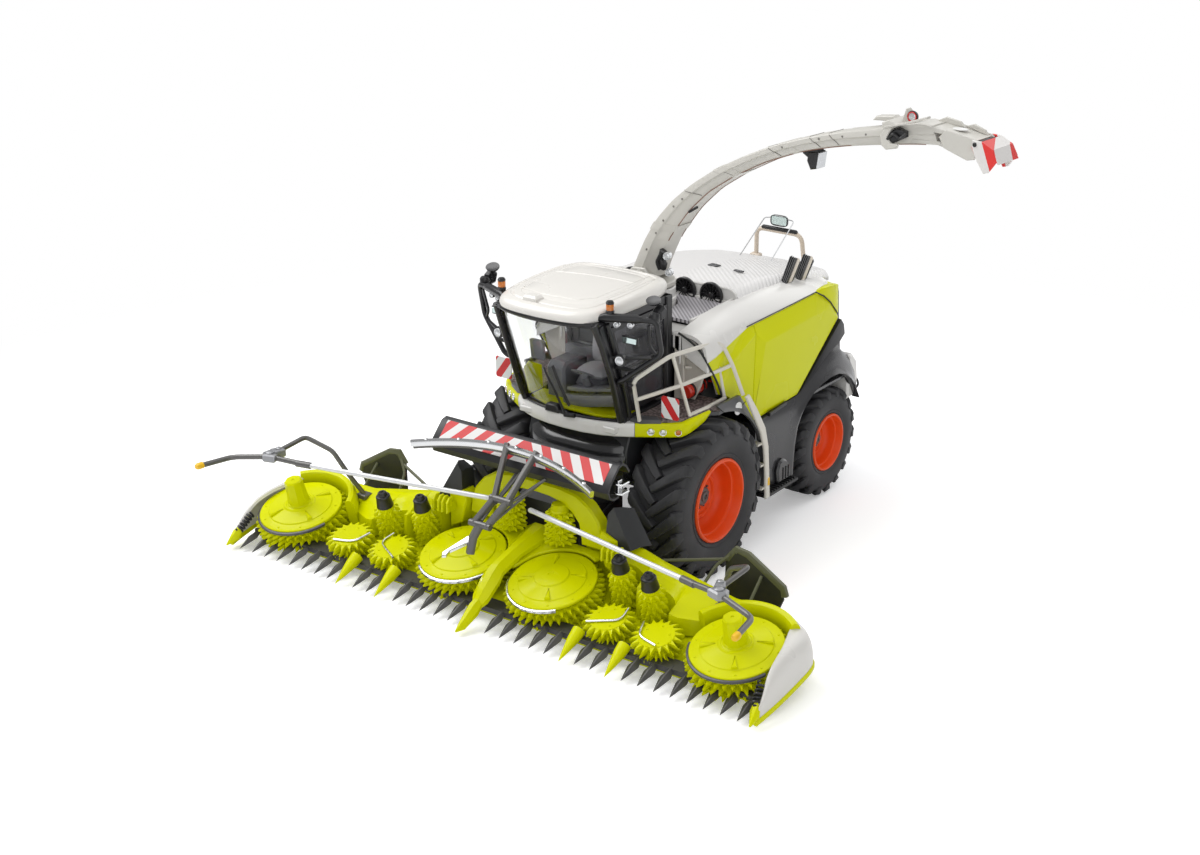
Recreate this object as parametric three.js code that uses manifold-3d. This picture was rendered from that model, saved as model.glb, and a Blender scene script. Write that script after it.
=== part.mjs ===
// A 1:32 scale model of a self-propelled forage harvester with a wide maize header.
// Millimetres. X runs to the machine's left, Y runs rearward, Z runs up.
// While it is laid out, y = 0 is the front axle, x = 0 the centre plane and z = 0 the ground.
// At the end the whole model is moved so that its box stands centred on the origin.
import * as THREE from "three";
import { mergeVertices } from "three/addons/utils/BufferGeometryUtils.js";
import Module from "manifold-3d";

const wasm = await Module();
wasm.setup();

// ---------- driving dimensions ----------
const GAP = 0.3; // between pieces that rest on each other
const RUN = 0.6; // between pieces that turn past each other
const WHEELBASE = 92.2;
const TYRE = {
  front: { radius: 31, width: 23, centre: 37.7, rim: 16.1 },
  rear: { radius: 23.4, width: 17, centre: 34.5, rim: 12 },
};
const AXLE_RADIUS = 3.2;
const KINGPIN_X = 21;
const CHASSIS = { top: 44, bottom: 36, half: 14, front: -10, rear: 112 };
const CAB = { half: 24, floor: 64, eave: 104, rear: 4, sillFront: -26, eaveFront: -40 };
const CAB_WALL = 1.6;
const ROOF = { half: 24.8, front: -46, rear: 8, thick: 6 };
const PLATFORM = { top: 67, thick: 2, outer: 47, front: -24, rear: 11 };
const HOOD = { floor: 86.3, half: 41, deckFront: 40, front: 3, rear: 122, lip: 91.6 };
const PANEL = { outer: 42.2, inner: 38, front: 34, rear: 98.5, top: 91.3, bottom: 50.5 };
const SPOUT = { y: 24, ring: 10, seat: 101, swing: 95, width: 12 };
const HEADER = { half: 118, tilt: 14.4, front: -79, back: -46.5, seam: 39.5 };
const BIG_ROTOR = { radius: 18.2, disc: 16.3, teeth: 28, height: 9 };
const SMALL_ROTOR = { radius: 9.6, disc: 7.4, teeth: 18, height: 6.8 };
const DRUM = { radius: 4.8, height: 15, sunk: 9.2 };
const FEEDER = { half: 14, top: 36, bottom: 17, rear: -14 };
const LIFT_PIVOT = { y: -20, z: 35, half: 14 };

// ---------- colours ----------
const LIME = 0xc4d600;
const WARM_GREY = 0xdcd9d2;
const DARK_GREY = 0x4a4c4e;
const BLACK = 0x17181a;
const RED_ORANGE = 0xe8461a;
const SILVER = 0xb9bcc0;
const GLASS = 0x8a9298;

const model = new THREE.Group();

// ---------- shape helpers ----------

// A closed geometry as a solid that can be joined and cut.
function solid(geometry) {
  const bare = geometry.clone();
  bare.deleteAttribute("normal");
  bare.deleteAttribute("uv");
  const merged = mergeVertices(bare, 1e-4);
  return new wasm.Manifold(
    new wasm.Mesh({
      numProp: 3,
      vertProperties: new Float32Array(merged.attributes.position.array),
      triVerts: new Uint32Array(merged.index.array),
    }),
  );
}

// A solid as a three.js geometry.
function geometryOf(made) {
  const mesh = made.getMesh();
  const geometry = new THREE.BufferGeometry();
  geometry.setAttribute("position", new THREE.BufferAttribute(new Float32Array(mesh.vertProperties), 3));
  geometry.setIndex(new THREE.BufferAttribute(new Uint32Array(mesh.triVerts), 1));
  const flat = geometry.toNonIndexed();
  flat.computeVertexNormals();
  return flat;
}

// Several solids as one.
function join(...solids) {
  return solids.reduce((whole, next) => whole.add(next));
}

// A block between two x, two y and two z.
function block([x0, x1], [y0, y1], [z0, z1]) {
  const box = new THREE.BoxGeometry(x1 - x0, y1 - y0, z1 - z0);
  return solid(box.translate((x0 + x1) / 2, (y0 + y1) / 2, (z0 + z1) / 2));
}

// A flat outline from its corners.
function outline(points) {
  return new THREE.Shape(points.map(([u, v]) => new THREE.Vector2(u, v)));
}

// An outline carried straight up.
function extruded(shape, depth) {
  return new THREE.ExtrudeGeometry(shape, { depth, bevelEnabled: false, curveSegments: 10 });
}

// Prisms of an outline: along X from (y, z) points, along Y from (x, z) points, along Z from (x, y).
function prismX(points, x0, x1) {
  const turn = new THREE.Matrix4().set(0, 0, 1, x0, 1, 0, 0, 0, 0, 1, 0, 0, 0, 0, 0, 1);
  return solid(extruded(outline(points), x1 - x0).applyMatrix4(turn));
}

function prismY(points, y0, y1) {
  const turned = extruded(outline(points), y1 - y0).rotateX(Math.PI / 2);
  return solid(turned.translate(0, y1, 0));
}

function prismZ(points, z0, z1) {
  return solid(extruded(outline(points), z1 - z0).translate(0, 0, z0));
}

// A round piece about Z from a profile of [radius, z] that starts and ends on the axis.
function turned(profile, segments = 24) {
  const lathe = new THREE.LatheGeometry(profile.map(([r, z]) => new THREE.Vector2(r, z)), segments);
  return solid(lathe.rotateX(Math.PI / 2));
}

// A round bar with bends: each pair of points is a straight bar with a ball at its far end.
function bar(points, radius, sides = 6) {
  const along = new THREE.Vector3();
  const up = new THREE.Vector3(0, 1, 0);
  const parts = [];
  for (let i = 1; i < points.length; i += 1) {
    const a = new THREE.Vector3(...points[i - 1]);
    const b = new THREE.Vector3(...points[i]);
    along.subVectors(b, a);
    const rod = new THREE.CylinderGeometry(radius, radius, along.length(), sides);
    rod.applyQuaternion(new THREE.Quaternion().setFromUnitVectors(up, along.clone().normalize()));
    parts.push(solid(rod.translate((a.x + b.x) / 2, (a.y + b.y) / 2, (a.z + b.z) / 2)));
    if (i < points.length - 1) {
      const ball = new THREE.SphereGeometry(radius, sides, 4);
      parts.push(solid(ball.translate(b.x, b.y, b.z)));
    }
  }
  return join(...parts);
}

// A round bar along X.
function roundX(radius, x0, x1, y, z, sides = 24) {
  const disc = new THREE.CylinderGeometry(radius, radius, x1 - x0, sides).rotateZ(Math.PI / 2);
  return solid(disc.translate((x0 + x1) / 2, y, z));
}

// The mirror image across the centre plane, and a solid together with it.
const flipped = (made) => made.mirror([1, 0, 0]);
const both = (made) => join(made, flipped(made));

// Both sides of a piece that has a left and a right copy, as [side word, sign].
const SIDES = [["left", 1], ["right", -1]];
const sided = (made, sign) => (sign > 0 ? made : flipped(made));

// One named piece of the model.
function add(name, made, colour, roughness = 0.5, metalness = 0) {
  const material = new THREE.MeshStandardMaterial({ color: colour, roughness, metalness });
  const mesh = new THREE.Mesh(geometryOf(made), material);
  mesh.name = name;
  model.add(mesh);
}

// ---------- chassis and axles ----------

// Two long beams, joined by four cross ties, with the tow plate at the rear end.
function makeChassis() {
  const { top, bottom, half, front, rear } = CHASSIS;
  const beam = block([half - 5, half], [front, rear], [bottom, top]);
  const ties = [front, 38, 70, rear - 6].map((y) => block([-half, half], [y, y + 6], [bottom, top]));
  const towPlate = block([-9, 9], [rear - 3, rear], [24, bottom + 2]);
  add("chassis_frame", join(both(beam), ...ties, towPlate), DARK_GREY, 0.6);
}

// The axle tube hangs below the chassis on two blocks; its thin ends carry the front wheels.
function makeFrontAxle() {
  const { radius } = TYRE.front;
  const tube = roundX(AXLE_RADIUS, -25, 25, 0, radius, 16);
  const spindles = roundX(1.9, -40, 40, 0, radius, 12);
  const saddle = both(block([8, 14], [-3, 3], [radius, CHASSIS.bottom - GAP]));
  add("front_axle", join(tube, spindles, saddle), DARK_GREY, 0.6);
}

// A beam under a pedestal; at each end a fork reaches over the steering knuckle.
function makeRearAxle() {
  const z = TYRE.rear.radius;
  const broad = [WHEELBASE - 3, WHEELBASE + 3];
  const slim = [WHEELBASE - 2, WHEELBASE + 2];
  const beam = block([-KINGPIN_X + 3.4, KINGPIN_X - 3.4], broad, [z - 2.6, z + 2.6]);
  const fork = both(block([KINGPIN_X - 5, KINGPIN_X + 1.6], slim, [z + 2.9, z + 4.6]));
  const link = both(block([KINGPIN_X - 5, KINGPIN_X - 3.4], slim, [z, z + 4.6]));
  const pedestal = block([-6, 6], broad, [z + 2, CHASSIS.bottom - GAP]);
  add("rear_axle", join(beam, fork, link, pedestal), DARK_GREY, 0.6);
}

// An upright post that turns under the fork, and the spindle it holds for the rear wheel.
function makeKnuckle(side, sign) {
  const z = TYRE.rear.radius;
  const slim = [WHEELBASE - 2, WHEELBASE + 2];
  const post = block([KINGPIN_X - 1.6, KINGPIN_X + 1.6], slim, [z - 4, z + 2.6]);
  const spindle = roundX(1.9, KINGPIN_X, KINGPIN_X + 14, WHEELBASE, z, 12);
  add(`knuckle_${side}`, sided(join(post, spindle), sign), DARK_GREY, 0.5);
}

// ---------- wheels ----------

// Tyre and rim about their own axle: the rim is a dished wheel with a bore for the spindle.
function wheelProfiles({ radius, width, rim }) {
  const h = width / 2;
  const shoulder = radius * 0.07;
  const tyre = [
    [rim, -h + 1.2], [radius * 0.8, -h], [radius - shoulder, -h + 0.8], [radius, -h + shoulder + 1],
    [radius, h - shoulder - 1], [radius - shoulder, h - 0.8], [radius * 0.8, h], [rim, h - 1.2],
  ];
  const seat = rim - GAP;
  const dish = [
    [2.2, -h * 0.45], [seat - 3, -h * 0.45], [seat - 1.6, -h + 1.4], [seat, -h + 1.2],
    [seat, h - 1.2], [seat - 1.6, h - 1.4], [seat - 3, h * 0.1], [2.2, h * 0.1],
  ];
  return { tyre, dish };
}

// A ring about X from a closed profile of [radius, x].
function ringX(profile, segments) {
  const closed = [...profile, profile[0]].map(([r, x]) => new THREE.Vector2(r, x));
  return solid(new THREE.LatheGeometry(closed, segments).rotateZ(-Math.PI / 2));
}

// One tyre and its rim, stood on the ground at the given axle.
function makeWheel(place, side, sign) {
  const size = TYRE[place];
  const { tyre, dish } = wheelProfiles(size);
  const y = place === "front" ? 0 : WHEELBASE;
  const where = new THREE.Vector3(size.centre, y, size.radius);
  const put = (profile, segments) => sided(ringX(profile, segments).translate(where.toArray()), sign);
  add(`tyre_${place}_${side}`, put(tyre, 32), BLACK, 0.85);
  add(`rim_${place}_${side}`, put(dish, 24), RED_ORANGE, 0.45);
}

// ---------- body ----------

// The solid middle of the body, under the hood, stood on the chassis.
function makeCore() {
  const heavy = block([-33, 33], [46, 105], [50, HOOD.floor - GAP]);
  const foot = block([-CHASSIS.half, CHASSIS.half], [46, 105], [CHASSIS.top + GAP, 50.1]);
  add("core_block", join(heavy, foot), DARK_GREY, 0.7);
}

// The dark box under the cab, with two ears that hold the feeder house's pivot.
function makeFrontBody() {
  const rest = CHASSIS.top + GAP;
  const side = [
    [34, rest], [34, 61.7], [-21, 61.7], [-26, 58], [-28.5, 51], [-28.5, 44], [-26, 39], [-12, 39],
    [-12, rest],
  ];
  const lugEnd = LIFT_PIVOT.half + GAP;
  const { y, z } = LIFT_PIVOT;
  const ear = block([lugEnd, lugEnd + 2.5], [y - 2.4, y + 2.4], [z - 2.5, 39.5]);
  add("front_body", join(prismX(side, -CAB.half + 1, CAB.half - 1), both(ear)), BLACK, 0.4);
}

// The box behind the cab: it fills the hood's bay and carries the spout's turning ring.
function makeRadiatorBox() {
  const inside = 27.5 - GAP;
  const lower = block([-33, 33], [11.6, 45.7], [62, HOOD.floor - GAP]);
  const upper = block([-inside, inside], [11.6, HOOD.deckFront - GAP], [HOOD.floor - 1, 91.5]);
  const ring = turned([[0, 91], [SPOUT.ring, 91], [SPOUT.ring, SPOUT.seat], [0, SPOUT.seat]])
    .translate([0, SPOUT.y, 0]);
  add("radiator_box", join(lower, upper, ring), DARK_GREY, 0.6);
}

// A flat screen that lies on the radiator box, round the turning ring.
function makeGrille() {
  const plate = block([-26, 26], [11.5, HOOD.deckFront - GAP], [91.8, 93.6]);
  const hole = turned([[0, 90], [SPOUT.ring + GAP, 90], [SPOUT.ring + GAP, 95], [0, 95]])
    .translate([0, SPOUT.y, 0]);
  add("radiator_grille", plate.subtract(hole), DARK_GREY, 0.5, 0.4);
}

// The hood is the part of a plan outline, a side profile and a cross-section that all three share.
function makeHood() {
  const { floor, half, deckFront, front, rear, lip } = HOOD;
  const rearEdge = [];
  for (let i = 0; i <= 12; i += 1) {
    const x = half - (2 * half * i) / 12;
    rearEdge.push([x, rear - 22 * (x / half) ** 2]);
  }
  const plan = prismZ([[half, front], ...rearEdge, [-half, front]], floor - 30, 103);
  const profile = [
    [front, floor - 20], [front, 97.3], [deckFront, 97], [deckFront, 99.8], [62, 99.6], [82, 97],
    [102, 92.8], [rear, 87.8], [rear, floor], [14, floor], [14, floor - 20],
  ];
  const inner = PANEL.inner - GAP;
  const section = [
    [-inner, floor], [inner, floor], [inner, lip], [half, lip], [half, lip + 0.6], [30, 97.4],
    [25, 100.5], [-25, 100.5], [-30, 97.4], [-half, lip + 0.6], [-half, lip], [-inner, lip],
  ];
  const crown = prismY(section, front, rear).intersect(prismX(profile, -half, half)).intersect(plan);
  const bay = block([-27.5, 27.5], [front - 1, deckFront], [floor - 1, 98.5]);
  const cheek = [[front, 82], [13, PLATFORM.top + 1], [33.5, 52], [33.5, lip + 0.1], [front, lip + 0.1]];
  const cheekPlates = both(prismX(cheek, inner - 0.4, PANEL.outer - 0.6));
  add("hood", join(crown.subtract(bay), cheekPlates), WARM_GREY, 0.45);
}

// The side panel over the engine: a flat plate that hangs from its top edge.
function makeEnginePanel(side, sign) {
  const { outer, inner, front, rear, top, bottom } = PANEL;
  const face = [
    [front, bottom], [67, bottom + 1.5], [rear, 76], [rear, 87.6], [90, top], [front, top],
  ];
  const skin = prismX(face, inner, outer);
  add(`engine_panel_${side}`, sided(skin, sign), LIME, 0.35);
}

// The rear wall and bumper, rounded in plan, with a foot that rests on the chassis.
function makeRearCover() {
  const top = HOOD.floor - GAP;
  const side = [[105.4, 50], [105.4, top], [119, top], [118, 70], [121, 56], [121, 46], [105.4, 46]];
  const body = prismX(side, -36, 36);
  const plan = [];
  for (let i = 0; i <= 8; i += 1) {
    const x = 36 - 9 * i;
    plan.push([x, 121 - 12 * (x / 36) ** 2]);
  }
  const round = prismZ([[36, 100], ...plan, [-36, 100]], 40, 90);
  const foot = block([-CHASSIS.half, CHASSIS.half], [105.4, CHASSIS.rear], [CHASSIS.top + GAP, 50.1]);
  add("rear_cover", join(body.intersect(round), foot), DARK_GREY, 0.5);
}

// The dark moulding below the side panel, cut round the rear tyre, with its tank, shelf and step.
function makeLowerBody(side, sign) {
  const arch = roundX(TYRE.rear.radius + 4, 30, 50, WHEELBASE, TYRE.rear.radius, 32);
  const skin = [
    [34.5, 20], [60.5, 20], [62, 40], [116, 40], [116.5, 50], [106, 71], [99.4, 75.4], [67.2, 51.4],
    [34.5, 49.9],
  ];
  const shell = prismX(skin, 42.4, 45.4).subtract(arch);
  const tank = block([CHASSIS.half + 4, 43], [34.5, 60.5], [20, 49.5]);
  const shelf = prismX([[60, 47.5], [60, 49.5], [104, 49.5], [104, 47.5]], 33.3, 43);
  const step = block([40, 47.5], [36, 60], [18.5, 21]);
  add(`lower_body_${side}`, sided(join(shell, tank, shelf, step), sign), DARK_GREY, 0.5);
}

// The standing platform beside the cab and the front mudguard that hangs from its outer edge.
function makePlatform(side, sign) {
  const { top, thick, outer, front, rear } = PLATFORM;
  const deck = block([CAB.half + GAP, outer], [front, rear], [top - thick, top]);
  const arch = roundX(TYRE.front.radius + 2.4, 30, 52, 0, TYRE.front.radius, 40);
  const apron = [[2, top - 0.5], [2, 58], [12, 50], [30, 50], [28, 56], [17, top - 2], [rear, top - 0.5]];
  const skirt = prismX(apron, outer - 2, outer).subtract(arch);
  const bracket = block([CAB.half + GAP, CAB.half + 6], [7.5, 10.5], [62.2, top - 1]);
  add(`platform_${side}`, sided(join(deck, skirt, bracket), sign), DARK_GREY, 0.7);
}

// The bumper band follows one curve in plan, at a constant height of face.
function makeBumper() {
  const edge = [[46, -0.5], [45.5, -8], [42, -15.5], [36.5, -22.5], [27, -30], [14.5, -34], [0, -35.2]];
  const front = [...edge, ...edge.slice(0, -1).reverse().map(([x, y]) => [-x, y])];
  const inset = 2;
  const back = front.map(([x, y]) => [x * (1 - inset / 46), y + inset]).reverse();
  const band = prismZ([...front, ...back], 59.6, 66.6)
    .subtract(both(block([20, 50], [-24.4, 14], [PLATFORM.top - PLATFORM.thick - GAP, 70])))
    .subtract(roundX(TYRE.front.radius + 2.4, -52, 52, 0, TYRE.front.radius, 40));
  const stay = block([-20, 20], [-34, -25], [60.5, 63]);
  const floor = block([-22, 22], [-29, -25.5], [60.5, 63.4]);
  add("bumper_band", join(band, stay, floor), WARM_GREY, 0.4);
}

// ---------- cab ----------

// The cab's side outline in (y, z), drawn in by the inset.
const cabSide = (inset) => [
  [CAB.sillFront + inset, CAB.floor + inset],
  [CAB.eaveFront + inset, CAB.eave - inset],
  [CAB.rear - inset, CAB.eave - inset],
  [CAB.rear - inset, CAB.floor + inset],
];

// The cab is hollow: walls, floor and top with openings for the windscreen, windows and door.
function makeCabShell() {
  const { half, floor, eave, rear, sillFront } = CAB;
  const outer = prismX(cabSide(0), -half, half);
  const inner = prismX(cabSide(CAB_WALL), -half + CAB_WALL, half - CAB_WALL);
  const frontOpening = prismX(
    [[-60, floor + 2], [-60, eave - 3], [CAB.eaveFront + 4.3, eave - 3], [sillFront + 3.2, floor + 2]],
    -half + 2.6, half - 2.6,
  );
  const window = prismX([[-20, 72], [-32.5, 101], [0.5, 101], [0.5, 72]], -half - 1, -half + 3);
  const doorway = prismX([[-24.6, 64.9], [-38.4, 104.1], [1, 104.1], [1, 64.9]], half - 2, half + 1);
  const rearWindow = block([-18, 18], [rear - 3, rear + 1], [80, 100]);
  const shell = outer.subtract(inner).subtract(frontOpening).subtract(window).subtract(doorway);
  add("cab_shell", shell.subtract(rearWindow), BLACK, 0.45);
}

// The left door: a frame with its pane, in the cab's own wall.
function makeDoor() {
  const x0 = CAB.half - CAB_WALL;
  const frame = prismX([[-24, 68.2], [-36.6, 103.6], [0.5, 103.6], [0.5, 68.2]], x0 + 0.1, CAB.half);
  const window = prismX([[-20.6, 71], [-30.6, 100.6], [-2, 100.6], [-2, 71]], x0 - 1, CAB.half + 1);
  const pane = prismX([[-21, 70.6], [-31, 101], [-1.6, 101], [-1.6, 70.6]], x0 + 0.5, x0 + 1);
  add("cab_door", join(frame.subtract(window), pane), BLACK, 0.35);
}

// The roof slab, rounded at the front, with a smaller slab on top.
function makeRoof() {
  const { half, front, rear, thick } = ROOF;
  const edge = [];
  for (let i = 0; i <= 10; i += 1) {
    const turn = (Math.PI * i) / 10;
    edge.push([Math.cos(turn) * (half - 3), front + 9 - Math.sin(turn) * 9]);
  }
  const plan = [[half - 4, rear], [half, -4], ...edge, [-half, -4], [-half + 4, rear]];
  const base = prismZ(plan, CAB.eave + GAP, CAB.eave + thick);
  const drawnIn = plan.map(([x, y]) => [x * 0.82, (y + 18) * 0.82 - 18]);
  const crown = prismZ(drawnIn, CAB.eave + thick - 1, CAB.eave + thick + 2);
  add("cab_roof", join(base, crown), WARM_GREY, 0.4);
}

// A sheet that bows forward across the cab and leans forward with height.
function makeWindscreen() {
  const { half, floor, eave, sillFront, eaveFront } = CAB;
  const bulge = 5;
  const lean = (eaveFront - sillFront) / (eave - floor);
  const rows = [];
  for (let i = 0; i <= 10; i += 1) {
    const x = -half + 0.6 + ((2 * half - 1.2) * i) / 10;
    rows.push([x, -bulge * (1 - (x / half) ** 2)]);
  }
  const back = rows.map(([x, y]) => [x, y + 1]).reverse();
  const sheet = prismZ([...rows, ...back], 0, eave - floor - 2.6);
  const shear = [1, 0, 0, 0, 0, 1, 0, 0, 0, lean, 1, 0, 0, sillFront - 1.8, floor + 2.4, 1];
  add("windscreen", sheet.transform(shear), GLASS, 0.1);
}

// Seat, side console and steering column, stood on the cab floor.
function makeInterior() {
  const rest = CAB.floor + CAB_WALL + GAP;
  const base = block([-7, 7], [-16, -3], [rest, 74]);
  const cushion = block([-7.5, 7.5], [-17, -3], [73.5, 77]);
  const back = block([-7, 7], [-6, -2.5], [76, 93]);
  const console = block([-17, -6.5], [-20, -6], [rest, 79]);
  const column = bar([[0, -15, 67], [0, -22, 78]], 1.6);
  add("cab_interior", join(base, cushion, back, console, column), DARK_GREY, 0.7);
}

// A bent tube at the roof's front corner that carries a mirror and a lamp.
function makeMirrorFrame(side, sign) {
  const top = CAB.eave + 3.2;
  const low = CAB.eave - 21.5;
  const run = [[22.4, -36.5, top], [39.6, -30.7, top], [34.6, -30.5, low + 5.5], [25.1, -31.5, low]];
  const frame = bar(run, 1.1);
  const root = bar([[25.4, -36, top], [25.4, -36, top + 2.8]], 1.6);
  const lamp = turned([[0, 0], [2.6, 0], [2.6, 2.4], [0, 2.4]], 16)
    .rotate([90, 0, 20]).translate([36.2, -28.5, CAB.eave - 10]);
  const mirror = block([36, 37.2], [-35, -29], [CAB.eave - 11, CAB.eave + 1.8]);
  add(`mirror_frame_${side}`, sided(join(frame, root, lamp, mirror), sign), BLACK, 0.4);
}

// ---------- rails, ladder, rear hoop ----------

// Rails round the left platform: an upper and a middle run on three posts.
function makeHandrail() {
  const top = PLATFORM.top + GAP;
  const run = [[29.5, -23, top], [29.5, -27, 84], [40.5, -16.5, 91.5], [43, 7.5, 90.5]];
  const upper = bar(run, 0.9);
  const middle = bar([[29.5, -25.2, 76], [42, -14.5, 80], [43.6, 9.5, 78.5]], 0.7);
  const frontPost = bar([[44, -12, top], [40.5, -16.5, 91.5]], 0.8);
  const rearPost = bar([[44, 9.8, top], [43, 7.5, 90.5]], 0.8);
  add("handrail", join(upper, middle, frontPost, rearPost), WARM_GREY, 0.4);
}

// The ladder below the left platform: one side plate, a grab bar and two treads.
function makeLadder() {
  const side = [
    [17.8, 66.5], [30.4, 49], [33, 38], [33.6, 20], [35.8, 20], [35.2, 40], [32, 51], [20.5, 67],
  ];
  const stringer = prismX(side, 47.5, 49.3);
  const grab = bar([[48.4, 19.5, 66], [46.6, 13.5, 80]], 0.8);
  const treads = [22, 33].map((z) => block([46.4, 48.4], [34, 35.5], [z, z + 1.4]));
  add("ladder", join(stringer, grab, ...treads), WARM_GREY, 0.4);
}

// The hoop at the rear of the hood, under the stored spout, with a mirror on a thin stay.
function makeHoop() {
  const y = 117.5;
  const foot = block([-12, 12], [y - 1.5, y + 1.5], [89.8, 91.2]);
  const run = [
    [-10, y, 90.4], [-10, y, 101], [-7.5, y, 103.4], [7.5, y, 103.4], [10, y, 101], [10, y, 90.4],
  ];
  const hoop = bar(run, 0.9);
  const stay = bar([[-3, y - 0.5, 103.2], [-3, y - 2.6, 108.5]], 0.5);
  const mirror = block([-5.4, 2.4], [y - 3.4, y - 2.2], [107.6, 112.2]);
  add("spout_hoop", join(foot, hoop, stay, mirror), WARM_GREY, 0.4);
}

// ---------- discharge spout ----------

// The spout is laid out over +X, outward from the ring's axis, then swung to its stored side.
function inSpoutPlane(made) {
  return made.rotate([0, 0, 90 - SPOUT.swing]).translate([0, SPOUT.y, 0]);
}

// The turning collar on the ring, with two ears that hold the arm between them.
function makeSpoutBase() {
  const seat = SPOUT.seat + GAP;
  const collar = turned([[0, seat], [9.4, seat], [9.4, seat + 2.4], [0, seat + 2.4]]);
  const inside = SPOUT.width / 2 + GAP;
  const cheek = [[-8.6, seat + 1], [-8.2, seat + 6.6], [-4, seat + 7.6], [9, 112], [8.6, seat + 1]];
  const ear = prismY(cheek, inside, inside + 1.4);
  const otherEar = ear.mirror([0, 1, 0]);
  add("spout_base", inSpoutPlane(join(collar, ear, otherEar)), WARM_GREY, 0.4);
}

// The long curved arm, one side outline carried across its width.
function makeSpoutArm() {
  const seat = SPOUT.seat + 2.4 + 2 * GAP;
  const outer = new THREE.Shape();
  outer.moveTo(-7, seat);
  outer.quadraticCurveTo(-4, 118, 6, 130);
  outer.quadraticCurveTo(22, 148, 45.5, 160);
  outer.quadraticCurveTo(74, 174, 111, 179);
  outer.lineTo(128, 180.5);
  outer.lineTo(140.4, 177.6);
  outer.lineTo(137.6, 171);
  outer.lineTo(124, 174);
  outer.lineTo(111, 173);
  outer.quadraticCurveTo(76, 168, 43.5, 151.5);
  outer.quadraticCurveTo(24, 141, 13, 118);
  outer.lineTo(11.4, 112);
  outer.lineTo(-5, seat + 0.4);
  const { width } = SPOUT;
  const side = new THREE.ExtrudeGeometry(outer, { depth: width, bevelEnabled: false, curveSegments: 7 });
  const arm = solid(side.rotateX(Math.PI / 2).translate(0, width / 2, 0));
  add("spout_arm", inSpoutPlane(arm), WARM_GREY, 0.4);
}

// The steering flap at the spout's end: an open-bottomed hood.
function makeSpoutFlap() {
  const side = prismY([[141, 177.5], [147, 175], [151.5, 167], [148, 163], [143.2, 166.8]], -6, 6);
  const hollow = prismY([[141, 175], [145.6, 173.4], [150, 165], [147.5, 160], [141, 164]], -4.8, 4.8);
  add("spout_flap", inSpoutPlane(side.subtract(hollow)), WARM_GREY, 0.4);
}

// ---------- header ----------

// The rotors stand on a plane that tips down towards the front.
const slope = Math.tan(THREE.MathUtils.degToRad(HEADER.tilt));
const discHeight = (y) => 16.9 + (y + 66.1) * slope;
const BIG_ROTORS = [["outer", 100.9, -69.9], ["inner", 20.9, -66.6]];
const SMALL_ROTORS = [["outer", 71.1, -73.9], ["inner", 50.4, -73.3]];
const DRUMS = [["outer", 61.5, -60.1], ["inner", 46.1, -56.2]];

// A toothed ring's plate: straight teeth between two radii.
function star(teeth, tip, root, z0, z1) {
  const points = [];
  for (let i = 0; i < teeth; i += 1) {
    const turn = (2 * Math.PI * i) / teeth;
    const half = Math.PI / teeth;
    points.push([Math.cos(turn) * tip, Math.sin(turn) * tip]);
    points.push([Math.cos(turn + half) * root, Math.sin(turn + half) * root]);
  }
  return prismZ(points, z0, z1);
}

// A large crop disc: a cover plate, a toothed ring and a lower drum; the outer ones carry a cone.
function makeBigRotor(which, x, y, side, sign) {
  const { radius, disc, teeth, height } = BIG_ROTOR;
  const cone = which === "outer" ? 12 : 2.2;
  const hub = which === "outer" ? 3.4 : 5.4;
  const cover = turned([
    [0, -height + 1], [disc - 0.6, -height + 1], [disc, -1], [disc - 1, 0], [hub + 2, 1.4], [hub, 2],
    [hub * 0.86, cone], [0, cone],
  ]);
  const ring = star(teeth, radius, radius - 1.9, -height + 1.4, -2);
  const lower = turned([[0, -height], [disc - 2, -height], [disc - 2, -3], [0, -3]]);
  const made = join(cover, ring, lower).rotate([HEADER.tilt, 0, 0]).translate([x, y, discHeight(y)]);
  add(`big_rotor_${which}_${side}`, sided(made, sign), LIME, 0.35);
}

// A small crop disc between the large ones.
function makeSmallRotor(which, x, y, side, sign) {
  const { radius, disc, teeth, height } = SMALL_ROTOR;
  const ring = star(teeth, radius, radius - 1.9, -height + 1, -1);
  const cover = turned([[0, -height], [disc, -height], [disc, 0], [disc - 0.8, 0.4], [0, 0.4]], 18);
  const made = join(ring, cover).rotate([HEADER.tilt, 0, 0]).translate([x, y, discHeight(y) - 2.2]);
  add(`small_rotor_${which}_${side}`, sided(made, sign), LIME, 0.35);
}

// An upright feeding drum with a thinner top.
function makeDrum(which, x, y, side, sign) {
  const { radius, height } = DRUM;
  const cap = height + 5.6;
  const body = turned([[0, 0], [radius, 0], [radius, height], [2.6, height + 0.4], [2.2, cap], [0, cap]], 16);
  const made = body.rotate([HEADER.tilt, 0, 0]).translate([x, y, discHeight(y) - DRUM.sunk]);
  add(`feed_drum_${which}_${side}`, sided(made, sign), LIME, 0.35);
}

// The floor runs under the discs, parallel to their plane.
const discDrop = BIG_ROTOR.height / Math.cos(THREE.MathUtils.degToRad(HEADER.tilt)) + RUN;
const floorTop = (y) => discHeight(y) - discDrop;
const FLOOR_THICK = 1.4;

function headerFloor(x0, x1) {
  const { front } = HEADER;
  const back = HEADER.back + 1;
  const side = [
    [front, floorTop(front) - FLOOR_THICK], [back, floorTop(back) - FLOOR_THICK],
    [back, floorTop(back)], [front, floorTop(front)],
  ];
  return prismX(side, x0, x1);
}

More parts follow.
